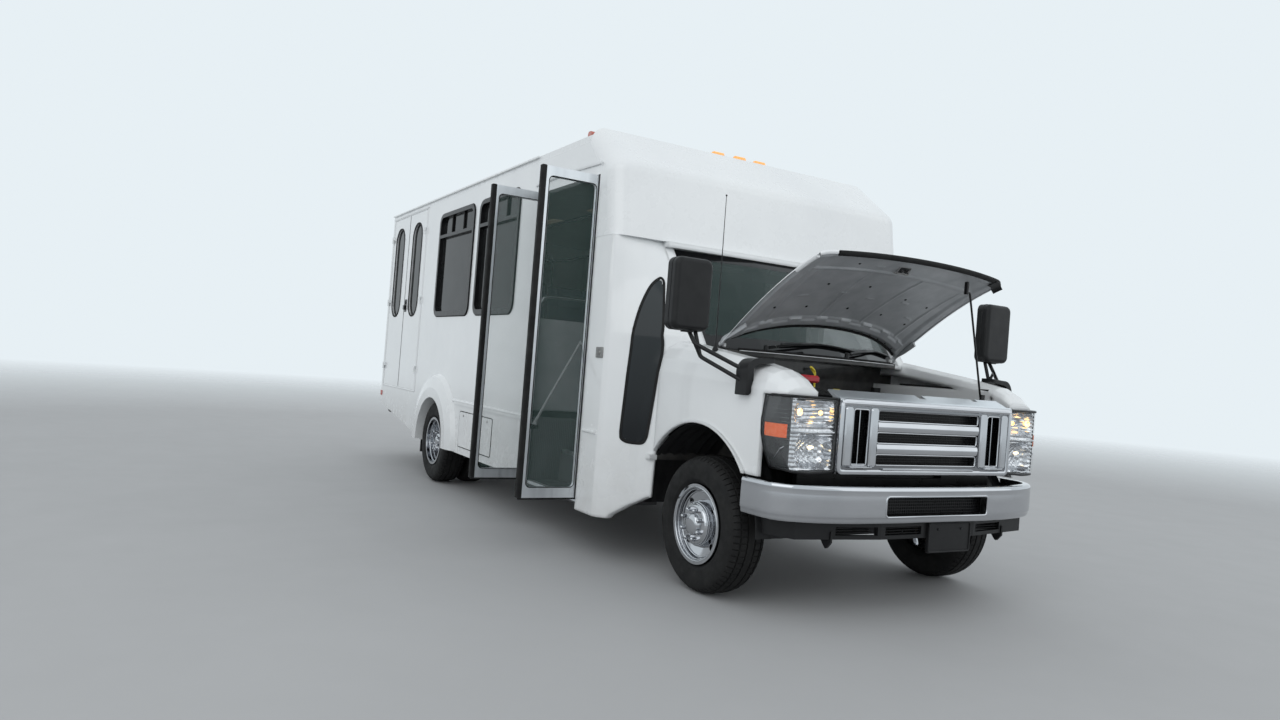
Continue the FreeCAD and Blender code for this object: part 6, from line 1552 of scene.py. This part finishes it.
def quarter_side(x, z):
    """y of the moulding's skin at a point of the side view, straight in plan and in height."""
    levels = np.array([row[0] for row in QUARTER_ROWS])
    corners = np.array([row[1] for row in QUARTER_ROWS])
    plan_x, plan_y = (np.stack([np.interp(z, levels, corners[:, k, axis]) for k in range(5)])
                      for axis in (0, 1))
    k = np.clip((x[None] > plan_x).sum(0) - 1, 0, 3)
    at = np.arange(len(x))
    share = (x - plan_x[k, at]) / (plan_x[k + 1, at] - plan_x[k, at])
    return plan_y[k, at] + share * (plan_y[k + 1, at] - plan_y[k, at])


def quarter_sheet():
    """Dark pane on the moulding's skin, between the two edges of the bead at each height."""
    t, share = np.meshgrid(np.linspace(0, 1, 60), np.linspace(0, 1, 16), indexing="ij")
    z = 0.7500 + 0.990 * t
    near = np.interp(z, (0.750, 0.757, 0.775, 0.810, 1.050, 1.330, 1.600, 1.740),
                     (-0.610, -0.632, -0.648, -0.654, -0.647, -0.640, -0.645, -0.648))
    far = np.interp(z, (0.750, 0.757, 0.775, 0.840, 1.080, 1.270, 1.400, 1.540, 1.690, 1.740),
                    (-0.570, -0.545, -0.532, -0.522, -0.501, -0.490, -0.501, -0.546, -0.611,
                     -0.640))
    x = near + (far - near) * share
    y = quarter_side(x.ravel(), z.ravel()).reshape(x.shape) - 0.003
    face = np.stack([x, y, z], -1)
    return slab(face, face + np.array((-0.0014, 0.0021, 0)))


def quarter_bead():
    """Rubber bead on the moulding's skin round its lens window."""
    outline = np.array(((-0.655, 0.805), (-0.652, 0.770), (-0.630, 0.750), (-0.590, 0.745),
                        (-0.550, 0.750), (-0.531, 0.775), (-0.521, 0.840), (-0.500, 1.080),
                        (-0.489, 1.270), (-0.500, 1.400), (-0.545, 1.540), (-0.610, 1.690),
                        (-0.643, 1.748), (-0.652, 1.735), (-0.646, 1.600), (-0.641, 1.330),
                        (-0.648, 1.050)))
    looped = np.concatenate([outline, outline[:3]])
    line = smooth_path(np.column_stack([looped, looped[:, 0] * 0]), 6)[6:-12, :2]
    y = quarter_side(line[:, 0], line[:, 1])
    path = np.stack([line[:, 0], y - 0.001, line[:, 1]], -1)
    return sweep(rounded(0.018, 0.008, 0.003, 3), path, (0.55, -0.84, 0), closed=True)


class MINIBUS_OT_rear_trim(bpy.types.Operator):
    """Tail lamp bezels, rear markers, window bead, blank plate, bumper tread and mud flaps"""

    bl_idname = "minibus.rear_trim"
    bl_label = "Rear trim"

    def execute(self, context):
        bezels = []
        for sign in (-1, 1):
            for z in (0.9125, 1.0325, 1.1525):
                bezels.append(hoop((-6.083, 1.005 * sign, z), (0.118, 0.113), 0.017, "X",
                                   circle(0.005, 8)))
        piece("tail_bezels", bezels, "vehicle", "chrome")
        bead = [hoop((REAR_FACE, 0, WINDOW_MIDDLE), (1.524, WINDOW_TALL), WINDOW_CORNER, "X",
                     rounded(0.022, 0.010, 0.004, 3), 8)]
        piece("rear_window_bead", bead, "vehicle", "rubber")
        plate = [block((-6.086, -0.160, 0.830), (REAR_FACE, 0.160, 0.990), 0.001, 0.010, "X"),
                 block((-6.096, -0.060, 0.996), (REAR_FACE, 0.060, 1.016), 0.002, 0.004, "X")]
        piece("rear_plate_holder", plate, "vehicle", "plastic")
        red = [ball((-6.083, y, 2.600), (0.010, 0.040, 0.014), 12)
               for y in (-1.05, -0.16, 0, 0.16, 1.05)]
        red.append(block((-6.090, -0.150, 2.545), (REAR_FACE, 0.150, 2.572), 0.002, 0.006, "X"))
        piece("rear_markers", red, "vehicle", "red")
        tread = [block((-6.150, y, 0.6002), (-6.100, y + 0.030, 0.6030), 0.0008, 0.004)
                 for y in np.arange(-1.05, 1.03, 0.055)]
        piece("bumper_tread", tread, "vehicle", "rubber", sharp=30)
        flaps = []
        for sign in (-1, 1):
            y0, y1 = between(sign, 0.78, 1.20)
            flaps.append(block((-4.482, y0, 0.215), (-4.476, y1, 0.600), 0.001, 0.004))
        piece("mud_flaps", flaps, "vehicle", "rubber")
        return {"FINISHED"}


class MINIBUS_OT_arch_liners(bpy.types.Operator):
    """Dark liners over the front wheels, each part of a drum turned about the axle"""

    bl_idname = "minibus.arch_liners"
    bl_label = "Arch liners"

    def execute(self, context):
        for side, sign in SIDES:
            t, y = np.meshgrid(np.radians(np.linspace(2, 178, 70)), np.linspace(0.545, 0.966, 24),
                               indexing="ij")
            radius = 0.543 - 0.006 * (np.sin(y * 2 * math.pi / 0.075) > 0.3) * (y < 0.93)
            face, back = (np.stack([ARCH_X + r * np.cos(t), y * sign, ARCH_Z + r * np.sin(t)], -1)
                          for r in (radius, radius + 0.003))
            piece("arch_liner_" + side, [slab(face, back)], "vehicle", "plastic",
                  sharp=30)
        return {"FINISHED"}


# Soft pieces

class Pad:
    """A stuffed pad: its plan size, thickness, sewn lines and crown."""

    def __init__(self, long, wide, thick, lines, crown):
        self.long = long
        self.wide = wide
        self.thick = thick
        self.lines = lines
        self.crown = crown

    def plain(self, steps=44):
        """Two crowned sheets that meet round the edge, sides drawn in between the corners."""
        w = np.linspace(-1, 1, steps)
        share = np.sign(w) * (1 - (1 - np.abs(w)) ** 1.7)
        u, v = np.meshgrid(share, share, indexing="ij")
        wall = np.clip((1 - np.abs(u) ** 10) * (1 - np.abs(v) ** 10), 0, 1) ** 0.36
        dome = (1 - u ** 2) * (1 - v ** 2)
        x = self.long / 2 * u * (1 - 0.030 * (1 - v ** 2))
        y = self.wide / 2 * v * (1 - 0.030 * (1 - u ** 2))
        round_off = 0.020 * np.abs(u * v) ** 6
        x = x * (1 - round_off)
        y = y * (1 - round_off)
        top = np.stack([x, y, (self.thick * 0.42 - self.crown) * wall + self.crown * dome], -1)
        base = np.stack([x, y, -self.thick * 0.42 * wall], -1)
        return slab(top, base)

    def sewn(self, part):
        """Lines pressed into the upper side: a bell curve's depth about each line."""
        points = np.array(part[0])
        upper = soft_step(points[:, 2], -0.002, 0.010)
        for kind, at in self.lines:
            near = points[:, 0 if kind == "across" else 1] - at
            points[:, 2] -= 0.0075 * upper * np.exp(-(near / 0.008) ** 2)
        return points, part[1]

    def welt(self, level):
        """Piping round the pad: a thin circle carried round its drawn-in outline."""
        ring = rounded(self.long * 0.965, self.wide * 0.965, 0.035, 8)
        u = ring[:, 0] * 2 / self.long
        v = ring[:, 1] * 2 / self.wide
        x = ring[:, 0] * (1 - 0.030 * (1 - v ** 2))
        y = ring[:, 1] * (1 - 0.030 * (1 - u ** 2))
        return sweep(circle(0.0042, 8), np.stack([x, y, np.full(len(x), level)], -1), closed=True)


def puffed(part, cap, voxel):
    """The part remeshed and swollen as cloth under pressure, each point moved at most the cap."""
    mesh = bpy.data.meshes.new("pad_shape")
    mesh.from_pydata(np.asarray(part[0]).tolist(), [], part[1])
    thing = bpy.data.objects.new("pad_shape", mesh)
    scene = bpy.context.scene
    scene.collection.objects.link(thing)
    remesh = thing.modifiers.new("remesh", "REMESH")
    remesh.mode = "VOXEL"
    remesh.voxel_size = voxel
    shaped = bpy.data.meshes.new_from_object(
        thing.evaluated_get(bpy.context.evaluated_depsgraph_get()))
    thing.modifiers.clear()
    thing.data = shaped
    count = len(shaped.vertices)
    start = np.empty(count * 3)
    shaped.vertices.foreach_get("co", start)
    start = start.reshape(-1, 3)
    cloth = thing.modifiers.new("cloth", "CLOTH")
    cloth.settings.use_pressure = True
    cloth.settings.uniform_pressure_force = 4
    cloth.settings.effector_weights.gravity = 0
    for step in range(1, 21):
        scene.frame_set(step)
    grown = thing.evaluated_get(bpy.context.evaluated_depsgraph_get()).to_mesh()
    end = np.empty(count * 3)
    grown.vertices.foreach_get("co", end)
    shift = end.reshape(-1, 3) - start
    length = np.linalg.norm(shift, axis=1)[:, None]
    faces = [list(f.vertices) for f in shaped.polygons]
    points = start + shift * np.minimum(1, cap / np.maximum(length, 1e-9))
    thing.modifiers.clear()
    scene.frame_set(1)
    bpy.data.objects.remove(thing)
    return points, faces


def laid(part, origin, along, across):
    """A pad's part carried to its place: its long side, wide side and upper side as three axes."""
    along = np.asarray(along, float) / np.linalg.norm(along)
    across = np.asarray(across, float)
    up = np.cross(along, across)
    points = np.asarray(part[0])
    return (np.asarray(origin, float) + points[:, :1] * along + points[:, 1:2] * across
            + points[:, 2:] * up), part[1]


SEAT_ROWS = {"left": (-2.600, -3.350, -4.100, -4.850, -5.550), "right": (-2.600, -3.350, -4.100)}


class MINIBUS_OT_seats(bpy.types.Operator):
    """Stuffed cushions and backs with sewn lines and piping"""

    bl_idname = "minibus.seats"
    bl_label = "Seats"

    def execute(self, context):
        pads = {
            "cushion": Pad(0.405, 0.425, 0.092, (("across", -0.075), ("across", 0.060),
                                                 ("along", -0.110), ("along", 0.110)), 0.010),
            "back": Pad(0.655, 0.425, 0.080, (("across", -0.150), ("across", 0.020),
                                              ("across", 0.190), ("along", -0.125),
                                              ("along", 0.125)), 0.008),
            "driver_cushion": Pad(0.370, 0.470, 0.112, (("across", 0.050), ("along", -0.140),
                                                        ("along", 0.140)), 0.012),
            "driver_back": Pad(0.770, 0.470, 0.084, (("across", 0.200), ("across", -0.120),
                                                     ("along", -0.140), ("along", 0.140)), 0.010)}
        shapes = {}
        for name, pad in pads.items():
            part = pad.plain()
            part = puffed(part, 0.004, 0.013)
            points = part[0]
            limit = np.array((pad.long / 2, pad.wide / 2, pad.thick / 2))
            part = np.clip(points, -limit, limit), part[1]
            shapes[name] = pad.sewn(part)
        across = (0, 1, 0)
        down = (0.0745, 0, -0.671)
        for side, sign in SIDES:
            for row, x in enumerate(SEAT_ROWS[side]):
                seat = []
                rest = []
                seat_welt = []
                for k in (-0.2175, 0.2175):
                    y = (0.685 + k) * sign
                    low = (x + 0.006, y, 1.2235)
                    high = (x - 0.2935, y, 1.5125)
                    seat.append(laid(shapes["cushion"], low, (1, 0, 0), across))
                    rest.append(laid(shapes["back"], high, down, across))
                    seat_welt.append(laid(pads["cushion"].welt(0.012), low, (1, 0, 0), across))
                    seat_welt.append(laid(pads["back"].welt(0.010), high, down, across))
                name = "%s_%d" % (side, row)
                made = piece("seat_cushion_" + name, seat, "vehicle", "weave",
                             replaces=("seat_cushions",))
                made = piece("seat_back_" + name, rest, "vehicle", "weave")
                piece("seat_welt_" + name, seat_welt, "vehicle", "piping")
        low = (-1.177, 0.450, 0.974)
        high = (-1.4475, 0.450, 1.307)
        down = (0.055, 0, -0.785)
        made = piece("driver_cushion", [laid(shapes["driver_cushion"], low, (1, 0, 0), across)],
                     "vehicle", "weave")
        made = piece("driver_back", [laid(shapes["driver_back"], high, down, across)],
                     "vehicle", "weave")
        welts = [laid(pads["driver_cushion"].welt(0.014), low, (1, 0, 0), across),
                 laid(pads["driver_back"].welt(0.010), high, down, across)]
        piece("driver_welt", welts, "vehicle", "piping")
        return {"FINISHED"}


STEP_EDGES = ((0.326, -1.169), (0.550, -0.915), (0.780, -0.645))


class MINIBUS_OT_cabin(bpy.types.Operator):
    """Ceiling, grab rails, lamps, step edges, dash details, inner mirror and sun visors"""

    bl_idname = "minibus.cabin"
    bl_label = "Cabin"

    def execute(self, context):
        x, y = np.meshgrid(np.linspace(-6.02, -1.22, 60), np.linspace(-1.12, 1.12, 30),
                           indexing="ij")
        bow = 2.612 + 0.030 * (1 - (y / 1.12) ** 2)
        bow = bow + 0.0015 * (np.sin(x * 2 * math.pi / 0.6) > 0.96)
        ceiling = slab(np.stack([x, y, bow], -1), np.stack([x, y, bow - 0.006], -1))
        piece("ceiling", [ceiling], "vehicle", "grey_panel")
        rails = []
        for sign in (-1, 1):
            path = [(x, 0.60 * sign, z) for x, z in (
                (-2.05, 2.63), (-2.10, 2.44), (-2.25, 2.38), (-4.0, 2.38), (-5.75, 2.38),
                (-5.90, 2.44), (-5.95, 2.63))]
            rails.append(sweep(circle(0.015, 12), smooth_path(path, 6), (0, 1, 0)))
        rails.append(sweep(circle(0.014, 12), smooth_path([
            (-1.965, -1.140, 1.62), (-1.965, -1.08, 1.66), (-1.965, -0.76, 1.66),
            (-1.965, -0.66, 1.62), (-1.965, -0.640, 1.50)], 6), (1, 0, 0)))
        piece("grab_rails", rails, "vehicle", "chrome")
        lamps = [block((x, -0.09, 2.624), (x + 0.36, 0.09, 2.634), 0.003, 0.02)
                 for x in (-2.4, -3.5, -4.6, -5.6)]
        lamps.append(ball((-1.300, -0.700, 0.640), (0.012, 0.022, 0.022), 10))
        piece("cabin_lamps", lamps, "vehicle", "cabin_lamp")
        edges = []
        for z, y in STEP_EDGES:
            edges.append(block((-1.885, y - 0.004, z - 0.020), (-1.035, y + 0.034, z + 0.0035),
                               0.0015, 0.003))
        piece("step_edges", edges, "vehicle", "aluminium")
        dash = [ball((-0.800, 0.450, 1.205), (0.014, 0.150, 0.045), 14),
                block((-0.722, -0.62, 1.262), (-0.700, -0.30, 1.300), 0.004, 0.01)]
        for y in (-0.75, 0.12, -0.12, 0.78):
            dash.append(block((-0.806, y - 0.055, 1.165), (-0.797, y + 0.055, 1.215), 0.002, 0.012,
                              "X"))
        dash.append(ball((-0.986, 0.450, 1.262), (0.030, 0.055, 0.055), 12))
        piece("dash_details", dash, "vehicle", "satin_black")
        mirror = [block((-0.800, -0.13, 1.835), (-0.785, 0.13, 1.900), 0.004, 0.02, "X"),
                  bar((-0.785, 0, 1.885), (-0.745, 0, 1.955), 0.006)]
        for sign in (-1, 1):
            y = 0.42 * sign
            mirror.append(block((-0.905, y - 0.20, 1.885), (-0.750, y + 0.20, 1.903), 0.004, 0.03))
        piece("cab_mirror_and_visors", mirror, "vehicle", "grey_plastic")
        return {"FINISHED"}


# Stage

CAMERA_AT = (3.949, -3.713, 1.200)
CAMERA_AZIMUTH = math.radians(59.784)
CAMERA_ELEVATION = math.radians(-0.464)
CAMERA_ROLL = math.radians(4.475)
CAMERA_LENS = 24.66


def camera_matrix():
    """Camera axes from azimuth, elevation and roll: back, right and up, as matrix columns."""
    a, e, r = CAMERA_AZIMUTH, CAMERA_ELEVATION, CAMERA_ROLL
    back = Vector((math.sin(a) * math.cos(e), -math.cos(a) * math.cos(e), math.sin(e)))
    right = Vector((math.cos(a), math.sin(a), 0))
    up = back.cross(right)
    turned_right = math.cos(r) * right + math.sin(r) * up
    turned_up = math.cos(r) * up - math.sin(r) * right
    matrix = Matrix((turned_right, turned_up, back)).transposed().to_4x4()
    matrix.translation = CAMERA_AT
    return matrix


def floor_finish(colour, rough):
    """Floor paint with a faint mottle; far from the bus it fades out, so the sky shows there."""
    m = Maker("floor_paint")
    m.set("Base_Color", m.mix(m.noise(0.7, 4), [c * 0.96 for c in colour], colour))
    m.set("Roughness", m.noise(3, 4, rough * 0.9, rough * 1.1))
    x = m.axis("X") - STAGE_X
    y = m.axis("Y")
    far = m.spread((x * x + y * y) ** 0.5, 9.0, 26.0, 0.0, 1.0)
    clear = m.node("ShaderNodeBsdfTransparent")
    out = m.tree.nodes["Material Output"].inputs["Surface"]
    blend = m.node("ShaderNodeMixShader", inputs={0: far, 2: clear})
    m.tree.links.new(m.shader.outputs[0], blend.socket.node.inputs[1])
    m.tree.links.new(blend.socket, out)
    return m.material


class MINIBUS_OT_stage(bpy.types.Operator):
    """Floor, sky, soft lamps and the photograph's camera"""

    bl_idname = "minibus.stage"
    bl_label = "Stage"

    def execute(self, context):
        sizes = context.scene.stage_sizes
        reach = 40.0
        t = np.linspace(0, 2 * math.pi, 64, endpoint=False)
        ring = np.stack([reach * np.cos(t) + STAGE_X, reach * np.sin(t), 0 * t], -1)
        mesh = bpy.data.meshes.new("floor")
        mesh.from_pydata(ring.tolist(), [], [list(range(64))])
        mesh.materials.append(floor_finish(tuple(sizes.floor_colour), 0.7))
        floor = bpy.data.objects.new("floor", mesh)
        context.scene.collection.objects.link(floor)
        world = bpy.data.worlds.new("sky")
        world.use_nodes = True
        tree = world.node_tree
        light = tree.nodes["Background"]
        light.inputs["Color"].default_value = (0.93, 0.97, 1.0, 1)
        light.inputs["Strength"].default_value = sizes.light
        shown = tree.nodes.new("ShaderNodeBackground")
        shown.inputs["Color"].default_value = (*sizes.sky_colour, 1)
        rays = tree.nodes.new("ShaderNodeLightPath")
        seen = rays.outputs["Is Camera Ray"]
        for name in ("Is Glossy Ray", "Is Transmission Ray"):
            either = tree.nodes.new("ShaderNodeMath")
            either.operation = "MAXIMUM"
            tree.links.new(seen, either.inputs[0])
            tree.links.new(rays.outputs[name], either.inputs[1])
            seen = either.outputs[0]
        choose = tree.nodes.new("ShaderNodeMixShader")
        tree.links.new(seen, choose.inputs[0])
        tree.links.new(light.outputs[0], choose.inputs[1])
        tree.links.new(shown.outputs[0], choose.inputs[2])
        tree.links.new(choose.outputs[0], tree.nodes["World Output"].inputs[0])
        context.scene.world = world
        for name, at, power in (("key", (5.0, -9.0, 8.0), 310), ("fill", (7.0, 7.0, 6.0), 155),
                                ("back", (-12.0, 3.0, 7.0), 80)):
            lamp = bpy.data.lights.new(name, "AREA")
            lamp.energy = power
            lamp.size = 11.0
            thing = bpy.data.objects.new(name, lamp)
            thing.location = at
            aim = Vector((STAGE_X, 0, 1.2)) - Vector(at)
            thing.rotation_mode = "QUATERNION"
            thing.rotation_quaternion = aim.to_track_quat("-Z", "Y")
            context.scene.collection.objects.link(thing)
        data = bpy.data.cameras.new("camera")
        data.lens = CAMERA_LENS
        data.sensor_width = 36
        data.clip_end = 300
        camera = bpy.data.objects.new("camera", data)
        camera.matrix_world = camera_matrix()
        context.scene.collection.objects.link(camera)
        context.scene.camera = camera
        context.scene.view_settings.view_transform = "Standard"
        return {"FINISHED"}


OPERATORS = (MINIBUS_OT_node_finishes, MINIBUS_OT_tyres, MINIBUS_OT_wheel_nuts, MINIBUS_OT_hood,
             MINIBUS_OT_headlamps, MINIBUS_OT_grille, MINIBUS_OT_bumper, MINIBUS_OT_engine_bay,
             MINIBUS_OT_wipers, MINIBUS_OT_mirrors, MINIBUS_OT_entry_door, MINIBUS_OT_side_trim,
             MINIBUS_OT_rear_trim, MINIBUS_OT_arch_liners, MINIBUS_OT_seats, MINIBUS_OT_cabin,
             MINIBUS_OT_stage)


class MINIBUS_PT_panel(bpy.types.Panel):
    """Lists the pieces in the sidebar"""

    bl_label = "Minibus"
    bl_idname = "MINIBUS_PT_panel"
    bl_space_type = "VIEW_3D"
    bl_region_type = "UI"
    bl_category = "Minibus"

    def draw(self, context):
        for group in (context.scene.bus_sizes, context.scene.stage_sizes):
            for key in group.__annotations__:
                self.layout.prop(group, key)
        for operator in OPERATORS:
            self.layout.operator(operator.bl_idname)


CLASSES = (BusSizes, StageSizes, *OPERATORS, MINIBUS_PT_panel)


def register():
    """Registers the classes and hangs the values on the scene."""
    for item in CLASSES:
        bpy.utils.register_class(item)
    bpy.types.Scene.bus_sizes = bpy.props.PointerProperty(type=BusSizes)
    bpy.types.Scene.stage_sizes = bpy.props.PointerProperty(type=StageSizes)


def unregister():
    """Takes them away again."""
    del bpy.types.Scene.stage_sizes
    del bpy.types.Scene.bus_sizes
    for item in reversed(CLASSES):
        bpy.utils.unregister_class(item)


def main():
    """Makes every piece."""
    register()
    FINISHES.update(make_finishes())
    for operator in OPERATORS:
        group, name = operator.bl_idname.split(".")
        getattr(getattr(bpy.ops, group), name)()
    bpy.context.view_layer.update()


if __name__ == "__main__":
    main()
